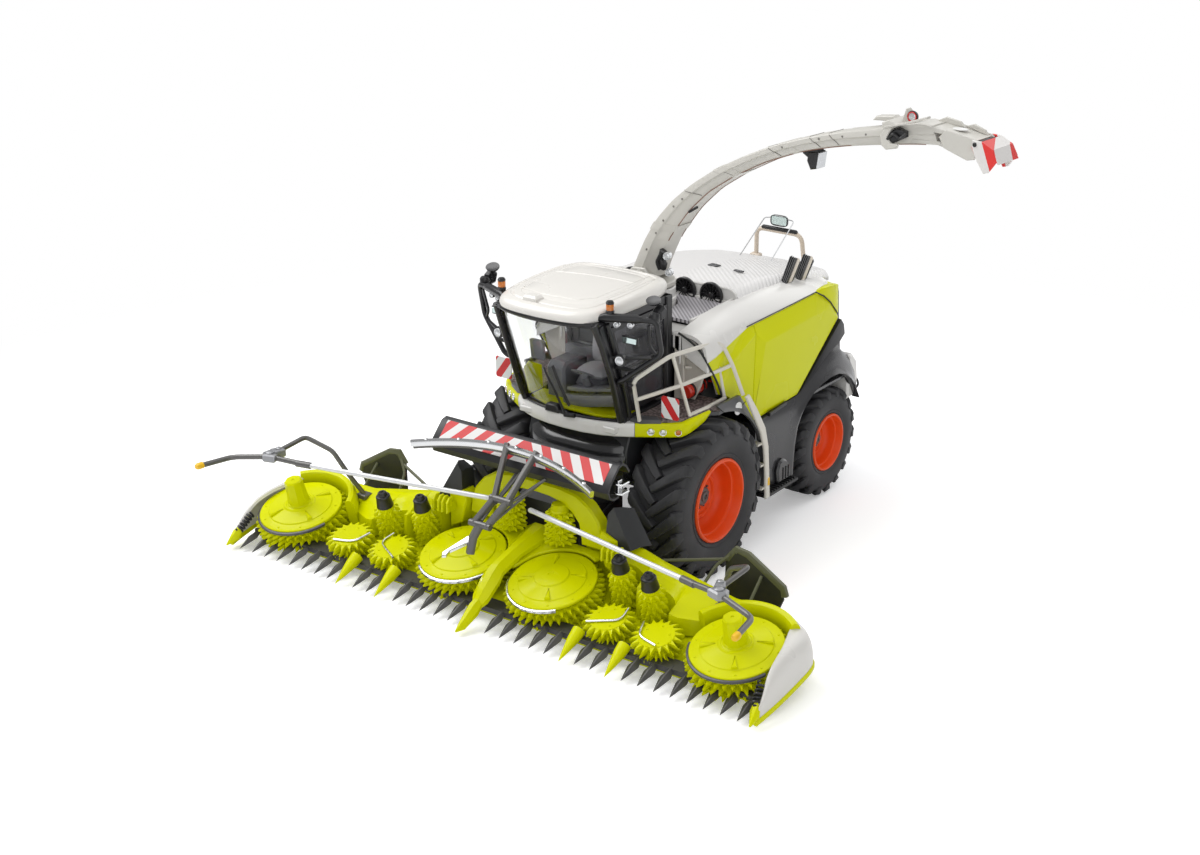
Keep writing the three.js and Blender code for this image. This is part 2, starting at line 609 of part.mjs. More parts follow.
// The header's middle: floor, rear wall with the crop inlet, the arch over it and the front divider.
function makeHeaderCentre() {
  const half = HEADER.seam;
  const { front, back } = HEADER;
  const floor = headerFloor(-half, half);
  const wall = block([-half, half], [back, back + 4], [8.5, 31]);
  const inletHalf = FEEDER.half - 2;
  const inlet = block([-inletHalf, inletHalf], [back - 1, back + 5], [FEEDER.bottom, 31.1]);
  const halfArch = [
    [21, 29], [31, 29], [29, 35], [19, 43.2], [10, 44.4], [-0.1, 44.6], [-0.1, 39.9], [6.4, 39.5],
    [15, 37], [20.3, 31],
  ];
  const arch = both(prismY(halfArch, back, back + 5));
  const point = [[-96.4, 2], [-88, 6.4], [-76, 17.5], [-70, 19], [-70, 16], [-82, 3], [-92, 0.8]];
  const divider = prismX(point, -1.6, 1.6);
  const web = [
    [-90, 2.4], [-76, 17.5], [-74, 12], [front + 3, floorTop(front) - 1],
    [front, floorTop(front) - FLOOR_THICK],
  ];
  const keel = prismX(web, -1.4, 1.4);
  add("header_centre", join(floor, wall.subtract(inlet), arch, divider, keel), LIME, 0.35);
}

// One wing: floor, rear beam, two uprights behind the discs, and the narrow point at its end.
function makeWing(side, sign) {
  const inner = HEADER.seam + GAP;
  const { half, back } = HEADER;
  const floor = headerFloor(inner, half);
  const rearFace = [[inner, 8.5], [inner, 33], [82, 33], [96, 26], [half, 22], [half, 8.5]];
  const beam = prismY(rearFace, back, back + 5);
  const post = block([52.8, 54.8], [-57, back + 1], [8.5, 28]);
  const shoulder = block([69, 82], [-57, back + 1], [10.5, 30]);
  const point = [[-92, 2.2], [-86, 6], [-77, 6], [-77, floorTop(-77) - 1], [-84, 1], [-90, 0.8]];
  const tip = prismX(point, half - 0.6, half + 1.4);
  const toe = block([half - 2, half], [-79, -77], [floorTop(-79) - FLOOR_THICK, floorTop(-79)]);
  const rib = prismX([[-58, 7], [back + 1, 8.5], [back + 1, 13], [-58, 11]], half - 1.4, half);
  add(`wing_${side}`, sided(join(floor, beam, post, shoulder, tip, toe, rib), sign), LIME, 0.35);
}

// The shell over the wing's end.
function makeEndCover(side, sign) {
  const face = [
    [-86, 5.6], [-83, 9], [-74, 17.5], [-64, 22.5], [-54, 23.5], [-44, 20], [-42, 9], [-50, 6.4],
    [-83, 2.6],
  ];
  const plate = prismX(face, HEADER.half + 1.8, HEADER.half + 3.6);
  const lip = block([HEADER.half + GAP, HEADER.half + 2], [-60, -48], [12, 16]);
  add(`end_cover_${side}`, sided(join(plate, lip), sign), WARM_GREY, 0.4);
}

// The bar that leans tall crops forward, held by a bent stay on the wing's rear beam.
function makeGuideBar(side, sign) {
  const knee = [101.7, -83.2, 41];
  const run = [[10, -62, 40], [60, -74, 41.5], knee, [114.5, -87, 40], [118.5, -100, 39]];
  const stay = bar([knee, [101, -70, 44], [96, -58.5, 40], [92, -52.6, 33]], 0.9);
  const foot = block([89, 95], [-54.2, -51.9], [30, 34.4]);
  const post = block([89, 95], [-52.4, HEADER.back - GAP], [30, 33]);
  add(`guide_bar_${side}`, sided(join(bar(run, 0.9), stay, foot, post), sign), SILVER, 0.35, 0.5);
}

// The striped board over the header, its front rail, and the pusher frame that hangs from the rail.
function makeGuardBoard() {
  const y = HEADER.back;
  const face = [[-41, 51], [-41, 60], [-20, 61], [20, 61], [41, 60], [41, 51]];
  const board = prismY(face, y - 8, y - 6.4);
  const feet = both(block([10, 14], [y + 0.5, y + 4], [44.8, 46.2]));
  const stays = both(bar([[12, y - 7, 54], [12, y + 2, 45.6]], 1));
  const rail = bar([[-41, -68, 56], [-22, -61, 58.5], [0, -58.6, 59], [22, -61, 58.5], [41, -68, 56]], 1);
  const link = bar([[-5, -58.6, 58.8], [-5, y - 7, 58]], 0.9);
  const arms = [-10, 3].map((x) => bar([[x, -59.5, 58.5], [x - 1, -72, 44], [x - 3, -80, 31]], 1));
  const cross = bar([[-11.5, -72, 44], [3, -72, 44]], 0.9);
  const pusher = bar([[-14, -80, 31], [1, -80, 31]], 1.1);
  const tongue = bar([[-8, -80, 31], [-13, -88, 25.5]], 1.2);
  add("guard_board", join(board, feet, stays, rail, link, ...arms, cross, pusher, tongue), BLACK, 0.5);
}

// The crop channel from the header's inlet up to its pivot under the cab.
function makeFeeder() {
  const { half, top, bottom, rear } = FEEDER;
  const front = HEADER.back + 4 + GAP;
  const side = [
    [front, bottom - 1], [front, 33], [-30, top + 1.6], [rear, top - 5.4], [rear, 22], [-30, bottom],
  ];
  const pivot = LIFT_PIVOT;
  const lug = roundX(2.2, -pivot.half, pivot.half, pivot.y, pivot.z, 20);
  const root = block([-pivot.half, pivot.half], [pivot.y - 2.2, pivot.y + 2.2], [30, pivot.z]);
  add("feeder_house", join(prismX(side, -half, half), lug, root), DARK_GREY, 0.6);
}

// ---------- put together ----------

makeChassis();
makeFrontAxle();
makeRearAxle();
makeCore();
makeFrontBody();
makeRadiatorBox();
makeGrille();
makeHood();
makeRearCover();
makeBumper();
makeCabShell();
makeDoor();
makeRoof();
makeWindscreen();
makeInterior();
makeHandrail();
makeLadder();
makeHoop();
makeSpoutBase();
makeSpoutArm();
makeSpoutFlap();
makeHeaderCentre();
makeGuardBoard();
makeFeeder();
for (const [side, sign] of SIDES) {
  makeKnuckle(side, sign);
  makeWheel("front", side, sign);
  makeWheel("rear", side, sign);
  makeEnginePanel(side, sign);
  makeLowerBody(side, sign);
  makePlatform(side, sign);
  makeMirrorFrame(side, sign);
  makeWing(side, sign);
  makeEndCover(side, sign);
  makeGuideBar(side, sign);
  for (const [which, x, y] of BIG_ROTORS) makeBigRotor(which, x, y, side, sign);
  for (const [which, x, y] of SMALL_ROTORS) makeSmallRotor(which, x, y, side, sign);
  for (const [which, x, y] of DRUMS) makeDrum(which, x, y, side, sign);
}

// Stand the model on the ground with its box centred over the origin.
const boundsBox = new THREE.Box3().setFromObject(model);
model.position.set(
  -(boundsBox.min.x + boundsBox.max.x) / 2,
  -(boundsBox.min.y + boundsBox.max.y) / 2,
  -boundsBox.min.z,
);

const group = new THREE.Group();
group.add(model);
export default group;
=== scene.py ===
# A 1:32 scale model of a forage harvester with a wide maize header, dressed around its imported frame.
import bpy
import numpy as np
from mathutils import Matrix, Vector


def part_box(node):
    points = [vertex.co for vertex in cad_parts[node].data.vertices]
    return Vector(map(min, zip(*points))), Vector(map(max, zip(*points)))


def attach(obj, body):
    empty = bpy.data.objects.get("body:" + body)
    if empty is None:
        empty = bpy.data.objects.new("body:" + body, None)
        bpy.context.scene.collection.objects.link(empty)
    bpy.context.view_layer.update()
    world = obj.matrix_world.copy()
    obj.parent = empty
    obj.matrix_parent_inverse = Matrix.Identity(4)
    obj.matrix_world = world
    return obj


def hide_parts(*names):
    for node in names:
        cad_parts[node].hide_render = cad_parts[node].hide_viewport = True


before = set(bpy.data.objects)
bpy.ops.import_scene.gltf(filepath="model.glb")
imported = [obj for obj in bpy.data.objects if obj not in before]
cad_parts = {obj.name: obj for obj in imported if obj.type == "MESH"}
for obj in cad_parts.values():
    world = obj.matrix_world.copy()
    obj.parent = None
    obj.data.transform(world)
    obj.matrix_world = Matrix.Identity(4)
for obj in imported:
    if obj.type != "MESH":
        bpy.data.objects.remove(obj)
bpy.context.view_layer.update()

# ---------- stand, light and camera ----------
# The model stands on a pale table under soft studio lamps, seen from front left and above.
# Lengths are given in millimetres from the middle of the front axle's footprint and put into the
# frame in metres: x to the machine's left, y rearward, z up from the table.
tyre_low, tyre_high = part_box("tyre_front_left")
other_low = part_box("tyre_front_right")[0]
FOOT = np.array([(tyre_high.x + other_low.x) / 2, (tyre_low.y + tyre_high.y) / 2, 0.0])


def at(points):
    """Points in millimetres from the front axle's footprint, as points of the frame in metres."""
    return np.asarray(points, float) / 1000 + FOOT


def nodes_of(material):
    """The node tree of a new material's surface, emptied but for its shader."""
    material.use_nodes = True
    return material.node_tree.nodes, material.node_tree.links


def table_material():
    """A pale lit table; to the camera it fades, with the distance from the model, to plain white."""
    material = bpy.data.materials.new("studio_table")
    nodes, links = nodes_of(material)
    shader = nodes["Principled BSDF"]
    shader.inputs["Base Color"].default_value = (0.93, 0.93, 0.94, 1)
    shader.inputs["Roughness"].default_value = 0.8
    shader.inputs["Specular IOR Level"].default_value = 0.1
    glow = nodes.new("ShaderNodeEmission")
    glow.inputs["Strength"].default_value = 0.3
    lit = nodes.new("ShaderNodeAddShader")
    links.new(shader.outputs[0], lit.inputs[0])
    links.new(glow.outputs[0], lit.inputs[1])
    white = nodes.new("ShaderNodeEmission")
    white.inputs["Strength"].default_value = 1.0
    place = nodes.new("ShaderNodeTexCoord")
    span = nodes.new("ShaderNodeVectorMath")
    span.operation = "LENGTH"
    links.new(place.outputs["Object"], span.inputs[0])
    fade = nodes.new("ShaderNodeMapRange")
    fade.interpolation_type = "SMOOTHSTEP"
    fade.inputs["From Min"].default_value = 0.16
    fade.inputs["From Max"].default_value = 0.42
    links.new(span.outputs["Value"], fade.inputs["Value"])
    shown = nodes.new("ShaderNodeMixShader")
    links.new(fade.outputs["Result"], shown.inputs[0])
    links.new(lit.outputs[0], shown.inputs[1])
    links.new(white.outputs[0], shown.inputs[2])
    path = nodes.new("ShaderNodeLightPath")
    seen = nodes.new("ShaderNodeMath")
    seen.operation = "MAXIMUM"
    links.new(path.outputs["Is Camera Ray"], seen.inputs[0])
    links.new(path.outputs["Is Transmission Ray"], seen.inputs[1])
    choose = nodes.new("ShaderNodeMixShader")
    links.new(seen.outputs[0], choose.inputs[0])
    links.new(shader.outputs[0], choose.inputs[1])
    links.new(shown.outputs[0], choose.inputs[2])
    links.new(choose.outputs[0], nodes["Material Output"].inputs["Surface"])
    return material


def make_table():
    """A flat sheet at the height of the tyres' footprints, far wider than the view."""
    mesh = bpy.data.meshes.new("table")
    reach = 6.0
    corners = [(-reach, -reach, 0), (reach, -reach, 0), (reach, reach, 0), (-reach, reach, 0)]
    mesh.from_pydata(corners, [], [(0, 1, 2, 3)])
    table = bpy.data.objects.new("table", mesh)
    bpy.context.scene.collection.objects.link(table)
    mesh.materials.append(table_material())


def make_lamp(name, where, size, power, target):
    """A square soft box at a place in millimetres, aimed at another."""
    lamp = bpy.data.lights.new(name, "AREA")
    lamp.size = size
    lamp.energy = power
    holder = bpy.data.objects.new(name, lamp)
    bpy.context.scene.collection.objects.link(holder)
    start, end = Vector(at(where)), Vector(at(target))
    holder.location = start
    holder.rotation_euler = (end - start).to_track_quat("-Z", "Y").to_euler()


def make_world():
    """Even white surroundings, plain white to the camera and behind glass."""
    world = bpy.data.worlds.new("studio")
    bpy.context.scene.world = world
    world.use_nodes = True
    nodes, links = world.node_tree.nodes, world.node_tree.links
    sky = nodes["Background"]
    sky.inputs["Color"].default_value = (1, 1, 1, 1)
    sky.inputs["Strength"].default_value = 0.38
    plain = nodes.new("ShaderNodeBackground")
    plain.inputs["Color"].default_value = (1, 1, 1, 1)
    plain.inputs["Strength"].default_value = 1.0
    path = nodes.new("ShaderNodeLightPath")
    seen = nodes.new("ShaderNodeMath")
    seen.operation = "MAXIMUM"
    links.new(path.outputs["Is Camera Ray"], seen.inputs[0])
    links.new(path.outputs["Is Transmission Ray"], seen.inputs[1])
    choose = nodes.new("ShaderNodeMixShader")
    links.new(seen.outputs[0], choose.inputs[0])
    links.new(sky.outputs[0], choose.inputs[1])
    links.new(plain.outputs[0], choose.inputs[2])
    links.new(choose.outputs[0], nodes["World Output"].inputs["Surface"])


def make_camera():
    """A camera about 0.7 m off, at 35 degrees round to the left and 21 degrees up."""
    around, up = np.radians(35.34), np.radians(21.21)
    back = Vector((np.sin(around) * np.cos(up), -np.cos(around) * np.cos(up), np.sin(up)))
    camera = bpy.data.cameras.new("camera")
    camera.sensor_width = 36
    camera.lens = 56.19
    camera.shift_x = -0.0276
    camera.shift_y = 0.0010
    camera.clip_start = 0.01
    holder = bpy.data.objects.new("camera", camera)
    bpy.context.scene.collection.objects.link(holder)
    holder.location = Vector(at((394.06, -543.09, 309.35)))
    holder.rotation_euler = (-back).to_track_quat("-Z", "Y").to_euler()
    bpy.context.scene.camera = holder


make_camera()
make_table()
make_lamp("key", (-420, -160, 640), 0.55, 4.3, (0, 20, 40))
make_lamp("fill", (520, -560, 420), 0.8, 2.0, (0, 20, 40))
make_lamp("top", (60, 160, 800), 0.9, 2.0, (0, 20, 40))
make_lamp("rear", (100, 700, 350), 0.7, 1.6, (0, 60, 40))
make_world()
bpy.context.scene.view_settings.view_transform = "Standard"

# ---------- tyres ----------
# Soft black rubber tyres with smooth bulging sidewalls. Curved tread bars run from the middle of the
# tread over the shoulder, left and right by turns, and are moulded with the carcass.


def grid_faces(rows, columns, around=False):
    """Four-sided faces of a grid of rows x columns points; around joins the last column to the first."""
    row = np.arange(rows - 1)[:, None]
    column = np.arange(columns if around else columns - 1)[None, :]
    after = (column + 1) % columns
    corners = [row * columns + column, row * columns + after, (row + 1) * columns + after,
               (row + 1) * columns + column]
    return np.stack(corners, -1).reshape(-1, 4)


def loft(rings, capped=True):
    """A skin through rings, an array of rings x points x 3, closed around; flat caps at both ends."""
    rings = np.asarray(rings, float)
    count, around = rings.shape[:2]
    faces = grid_faces(count, around, around=True).tolist()
    if capped:
        faces.append(list(range(around))[::-1])
        faces.append(list(range((count - 1) * around, count * around)))
    return rings.reshape(-1, 3), faces


def turned(profile, segments=48, closed=False):
    """A surface of revolution about z: each (radius, height) of the profile is carried round a circle."""
    profile = np.asarray(profile, float)
    if closed:
        profile = np.vstack([profile, profile[:1]])
    angle = np.linspace(0, 2 * np.pi, segments, endpoint=False)
    radius, height = profile[:, :1], profile[:, 1:]
    points = np.stack([radius * np.cos(angle), radius * np.sin(angle), height + 0 * angle], -1)
    return points.reshape(-1, 3), grid_faces(len(profile), segments, around=True).tolist()


def moved(shape, change):
    """A shape with its points changed by a function of the whole array."""
    return change(shape[0]), shape[1]


def axis_to_x(points):
    """Turns a shape about z into one about x: (x, y, z) goes to (z, x, y)."""
    return points[:, [2, 0, 1]]


def mirrored(points):
    """The same points on the other side of the centre plane."""
    return points * np.array([-1, 1, 1])


def several(shapes):
    """Many shapes as one: their points in a row, and their faces counted on from those before."""
    points, faces, first = [], [], 0
    for some, theirs in shapes:
        points.append(some)
        faces += [[first + corner for corner in face] for face in theirs]
        first += len(some)
    return np.vstack(points), faces


def piece(name, shape, material, body, stands_for=(), crease=35, bevel=0.0):
    """A finished object in place: doubled points merged, faces turned outwards, edges past crease kept sharp."""
    import bmesh
    mesh = bpy.data.meshes.new(name)
    mesh.from_pydata(at(shape[0]).tolist(), [], shape[1])
    shell = bmesh.new()
    shell.from_mesh(mesh)
    bmesh.ops.remove_doubles(shell, verts=shell.verts, dist=2e-6)
    bmesh.ops.recalc_face_normals(shell, faces=shell.faces)
    shell.to_mesh(mesh)
    shell.free()
    mesh.polygons.foreach_set("use_smooth", np.ones(len(mesh.polygons), bool))
    mesh.set_sharp_from_angle(angle=np.radians(crease))
    mesh.materials.append(material)
    made = bpy.data.objects.new(name, mesh)
    bpy.context.scene.collection.objects.link(made)
    if bevel:
        edge = made.modifiers.new("edge", "BEVEL")
        edge.width = bevel / 1000
        edge.segments = 2
        edge.limit_method = "ANGLE"
        edge.angle_limit = np.radians(crease)
    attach(made, body)
    if stands_for:
        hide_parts(*stands_for)
    return made


def finish(name, colour, shade=0.88, rough=(0.3, 0.42), grain=1500, depth=0.02, metal=0.0, patch=30, coat=0.0):
    """A finish: colour that drifts towards a darker shade over broad noise, roughness that follows a finer
    noise, and a fine bump of about depth millimetres, all in the piece's own coordinates."""
    material = bpy.data.materials.new(name)
    nodes, links = nodes_of(material)
    shader = nodes["Principled BSDF"]
    place = nodes.new("ShaderNodeTexCoord")
    broad = nodes.new("ShaderNodeTexNoise")
    broad.inputs["Scale"].default_value = patch
    broad.inputs["Detail"].default_value = 4
    fine = nodes.new("ShaderNodeTexNoise")
    fine.inputs["Scale"].default_value = grain
    fine.inputs["Detail"].default_value = 2
    links.new(place.outputs["Object"], broad.inputs["Vector"])
    links.new(place.outputs["Object"], fine.inputs["Vector"])
    tint = nodes.new("ShaderNodeMix")
    tint.data_type = "RGBA"
    tint.inputs["A"].default_value = (*colour, 1)
    tint.inputs["B"].default_value = (*[c * shade for c in colour], 1)
    links.new(broad.outputs["Fac"], tint.inputs["Factor"])
    links.new(tint.outputs["Result"], shader.inputs["Base Color"])
    spread = nodes.new("ShaderNodeMapRange")
    spread.inputs["From Min"].default_value = 0.3
    spread.inputs["From Max"].default_value = 0.7
    spread.inputs["To Min"].default_value = rough[0]
    spread.inputs["To Max"].default_value = rough[1]
    links.new(broad.outputs["Fac"], spread.inputs["Value"])
    links.new(spread.outputs["Result"], shader.inputs["Roughness"])
    bump = nodes.new("ShaderNodeBump")
    bump.inputs["Strength"].default_value = 0.5
    bump.inputs["Distance"].default_value = depth / 1000
    links.new(fine.outputs["Fac"], bump.inputs["Height"])
    links.new(bump.outputs["Normal"], shader.inputs["Normal"])
    shader.inputs["Metallic"].default_value = metal
    shader.inputs["Coat Weight"].default_value = coat
    shader.inputs["Coat Roughness"].default_value = 0.1
    return material


def tyre_carcass(scale):
    """The carcass: a closed profile of (radius, offset along the axle) turned about the axle."""
    half = [(16.1, 10.2), (16.9, 10.9), (17.9, 11.0), (18.2, 10.7), (18.7, 11.0), (21.5, 11.5), (24.2, 11.45),
            (26.4, 11.0), (27.6, 10.0), (28.2, 7.8), (28.5, 4.0), (28.6, 0.0)]
    profile = half + [(r, -x) for r, x in half[-2::-1]]
    return moved(turned(np.array(profile) * scale, 96, closed=True), axis_to_x)


def tread_bars(scale, count):
    """Bars along a curve in (angle, offset), each a four-sided section of given width and depth that
    turns from facing outwards on the tread to facing sideways on the shoulder."""
    offset = np.array([-1.0, 1.4, 4.0, 6.5, 8.8, 10.3, 11.25, 11.55]) * scale
    radius = np.array([30.9, 31.0, 30.95, 30.8, 30.5, 29.8, 28.3, 25.6]) * scale
    angle = np.array([0.40, 0.335, 0.26, 0.185, 0.12, 0.075, 0.05, 0.045])
    lean = np.radians([0, 0, 2, 5, 14, 42, 74, 86])
    depth = np.array([2.9, 2.8, 2.8, 2.8, 2.7, 2.3, 1.2, 0.35]) * scale
    width = np.array([2.3, 2.9, 3.1, 3.3, 3.7, 4.1, 3.9, 2.6]) * scale
    made = []
    for index in range(2 * count):
        hand = 1 if index % 2 else -1
        start = np.pi * index / count
        turn = start + angle
        out = np.stack([0 * turn, np.cos(turn), np.sin(turn)], -1)
        along = np.array([hand, 0, 0])
        middle = out * radius[:, None] + along * offset[:, None]
        face = out * np.cos(lean)[:, None] + along * np.sin(lean)[:, None]
        path = np.gradient(middle, axis=0)
        path /= np.linalg.norm(path, axis=1)[:, None]
        aside = np.cross(path, face)
        ring = [middle + aside * (side * width / 2 + side * skirt)[:, None] - face * (drop * depth)[:, None]
                for side, skirt, drop in ((-1, 0.45 * scale, 1.0), (-1, 0.1 * scale, 0.12), (-1, -0.3 * scale, 0.0),
                                          (1, -0.3 * scale, 0.0), (1, 0.1 * scale, 0.12), (1, 0.45 * scale, 1.0))]
        made.append(loft(np.stack(ring, 1)))
    return several(made)


rubber = finish("tyre_rubber", (0.028, 0.028, 0.031), shade=0.7, rough=(0.5, 0.68), grain=2200, depth=0.05, patch=60)
for place_word, scale, bars in (("front", 1.0, 20), ("rear", 0.752, 18)):
    for side in ("left", "right"):
        low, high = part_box(f"tyre_{place_word}_{side}")
        middle = (np.array(low + high) / 2 - FOOT) * 1000
        made = several([tyre_carcass(scale), tread_bars(scale, bars)])
        made = moved(made, lambda points: points + middle)
        piece(f"treaded_tyre_{place_word}_{side}", made, rubber, f"{place_word}_wheel_{side}",
              [f"tyre_{place_word}_{side}"], crease=40)

# ---------- wheel rims and hubs ----------
# Deep dished steel rims in orange-red paint with rolled flanges and stepped rings, a grey cast hub
# pushed on the spindle and a ring of bolts around it.


def rim_shape(scale, side):
    """The rim: a closed profile of (radius, offset) turned about the axle, with its deep face outwards."""
    profile = [(16.15, 9.9), (16.3, 10.9), (15.9, 11.5), (15.2, 11.5), (14.8, 10.9), (14.5, 8.2), (14.2, 7.6),
               (13.7, 7.3), (13.5, 6.7), (13.3, 4.4), (12.8, 2.8), (11.8, 1.6), (10.6, 1.1), (9.7, 1.4),
               (9.2, 2.4), (8.5, 3.0), (7.6, 2.9), (7.2, 2.2), (6.4, 1.8), (5.8, 2.4), (5.2, 2.5), (2.2, 2.5),
               (2.2, 0.6), (9.4, -0.6), (12.6, -0.8), (13.6, -7.2), (14.6, -8.4), (15.0, -10.8), (16.1, -10.9),
               (16.15, -9.9)]
    return moved(turned(np.array(profile) * scale, 72, closed=True), lambda p: axis_to_x(p) * [side, 1, 1])


def hub_shape(scale, side):
    """A stepped hub cap, a profile turned about the axle, with eight domed bolts around it."""
    cap = [(0, 2.3), (3.7, 2.3), (3.7, 3.6), (3.2, 4.0), (2.1, 4.1), (1.9, 4.6), (1.0, 4.7), (0.8, 4.2), (0, 4.2)]
    bolt = [(0, 0), (0.42, 0), (0.42, 0.5), (0.25, 0.75), (0, 0.8)]
    made = [moved(turned(np.array(cap) * scale, 32), lambda p: axis_to_x(p) * [side, 1, 1])]
    for index in range(10):
        turn = 2 * np.pi * index / 10
        spot = np.array([2.45 * side, 4.6 * np.cos(turn), 4.6 * np.sin(turn)]) * scale
        one = turned(np.array(bolt) * scale, 6)
        made.append(moved(one, lambda p: axis_to_x(p) * [side, 1, 1] + spot))
    return several(made)


rim_paint = finish("rim_orange", (0.86, 0.082, 0.008), shade=0.86, rough=(0.28, 0.4), grain=1200, depth=0.015)
rim_paint.node_tree.nodes["Principled BSDF"].inputs["Specular IOR Level"].default_value = 0.28
hub_iron = finish("hub_grey", (0.16, 0.155, 0.15), shade=0.6, rough=(0.35, 0.5), grain=1800, depth=0.04, metal=0.4)
for place_word, scale in (("front", 1.0), ("rear", 0.745)):
    for side, hand in (("left", 1), ("right", -1)):
        low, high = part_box(f"tyre_{place_word}_{side}")
        middle = (np.array(low + high) / 2 - FOOT) * 1000
        body = f"{place_word}_wheel_{side}"
        piece(f"dished_rim_{place_word}_{side}", moved(rim_shape(scale, hand), lambda p: p + middle), rim_paint,
              body, [f"rim_{place_word}_{side}"], crease=28)
        piece(f"hub_{place_word}_{side}", moved(hub_shape(scale, hand), lambda p: p + middle), hub_iron,
              body, crease=28)

# ---------- header rotors ----------
# Four large and four small cutting rotors lean forward with the header floor. Each is cast in lime:
# a covered disc above stacked rings of hooked teeth. They turn on the header's upright shafts.
LEAN = np.radians(14.4)


def leaned(points):
    """Points of a shape standing on z, tipped forward by the header's lean about x."""
    x, y, z = points.T
    return np.stack([x, y * np.cos(LEAN) - z * np.sin(LEAN), y * np.sin(LEAN) + z * np.cos(LEAN)], -1)


def rotor_seat(x, y):
    """A point of the plane in which the rotors' upper rims lie."""
    return np.array([x, y, 16.9 + (y + 66.1) * np.tan(LEAN)])


def hooked_ring(count, root, tip, low, high, turn=0.0, droop=0.0, hook=0.55):
    """A ring of hooked teeth: an outline whose radius climbs slowly from root to tip and falls back at
    once, carried from low to high with its edges drawn in and its tips lowered by droop."""
    pitch = 2 * np.pi / count
    step = np.array([0.0, 0.22, hook, hook + 0.1, hook + 0.2, 0.92])
    reach = np.array([0.0, 0.1, 0.86, 1.0, 0.72, 0.06])
    angle = (np.arange(count)[:, None] * pitch + step * pitch + turn).ravel()
    out = np.tile(reach, count)
    rings = []
    for share, height in ((-0.6, low), (0.8, low), (1.0, low + 0.3), (1.0, high - 0.35), (0.78, high), (-0.6, high)):
        radius = root + (tip - root) * np.maximum(out * share, min(share, 0.0))
        drop = droop * out * max(share, 0)
        rings.append(np.stack([radius * np.cos(angle), radius * np.sin(angle), height - drop], -1))
    return loft(rings)


def slab(outline, low, high, axis="z", edge=0.25):
    """A plate: an outline carried between two heights along an axis, with its edges drawn in by edge."""
    flat = np.asarray(outline, float)
    before, after = np.roll(flat, 1, 0), np.roll(flat, -1, 0)
    area = np.sum(flat[:, 0] * after[:, 1] - after[:, 0] * flat[:, 1])
    ahead = (after - flat) / np.linalg.norm(after - flat, axis=1)[:, None]
    behind = (flat - before) / np.linalg.norm(flat - before, axis=1)[:, None]
    inward = np.stack([-(ahead + behind)[:, 1], (ahead + behind)[:, 0]], -1) * np.sign(area)
    inward /= np.maximum(np.sum(inward * np.stack([-ahead[:, 1], ahead[:, 0]], -1) * np.sign(area), 1), 0.4)[:, None]
    rings = []
    for drawn, height in ((edge, low), (0, low + edge), (0, high - edge), (edge, high)):
        flatter = flat + inward * drawn
        rings.append(np.column_stack([flatter, np.full(len(flat), height)]))
    order = {"z": [0, 1, 2], "x": [2, 0, 1], "y": [0, 2, 1]}[axis]
    return moved(loft(rings), lambda points: points[:, order])


def tube(path, radius, sides=10):
    """A round bar: a circle carried along a path, turned with it, with flat ends. radius may vary."""
    path = np.asarray(path, float)
    radius = np.broadcast_to(radius, len(path))
    ahead = np.gradient(path, axis=0)
    ahead /= np.linalg.norm(ahead, axis=1)[:, None]
    start = np.array([0.0, 0.0, 1.0]) if abs(ahead[0, 2]) < 0.9 else np.array([1.0, 0.0, 0.0])
    aside = []
    for direction in ahead:
        start = start - direction * (start @ direction)
        start /= np.linalg.norm(start)
        aside.append(start)
    aside = np.array(aside)
    other = np.cross(ahead, aside)
    angle = np.linspace(0, 2 * np.pi, sides, endpoint=False)
    rings = [path[i] + radius[i] * (np.outer(np.cos(angle), aside[i]) + np.outer(np.sin(angle), other[i]))
             for i in range(len(path))]
    return loft(rings)


def bent(corners, round_off=2.0, steps=5):
    """A path through corners whose bends are rounded: a quadratic curve between points round_off before
    and after each corner."""
    corners = np.asarray(corners, float)
    path = [corners[:1]]
    for before, corner, after in zip(corners[:-2], corners[1:-1], corners[2:]):
        back, on = before - corner, after - corner
        first = corner + back / np.linalg.norm(back) * min(round_off, np.linalg.norm(back) / 2.2)
        last = corner + on / np.linalg.norm(on) * min(round_off, np.linalg.norm(on) / 2.2)
        share = np.linspace(0, 1, steps)[:, None]
        path.append((1 - share) ** 2 * first + 2 * share * (1 - share) * corner + share ** 2 * last)
    path.append(corners[-1:])
    return np.vstack(path)


def dots(places, radius, height, sides=8):
    """Small domed heads, one at each place, a low profile turned about z."""
    head = turned([(0, -0.1), (radius, -0.1), (radius, height * 0.5), (radius * 0.6, height), (0, height)], sides)
    return several([moved(head, lambda points: points + place) for place in places])


def round_places(count, radius, height, turn=0.0):
    """Points evenly round a circle."""
    angle = np.arange(count) * 2 * np.pi / count + turn
    return np.stack([radius * np.cos(angle), radius * np.sin(angle), np.full(count, height)], -1)


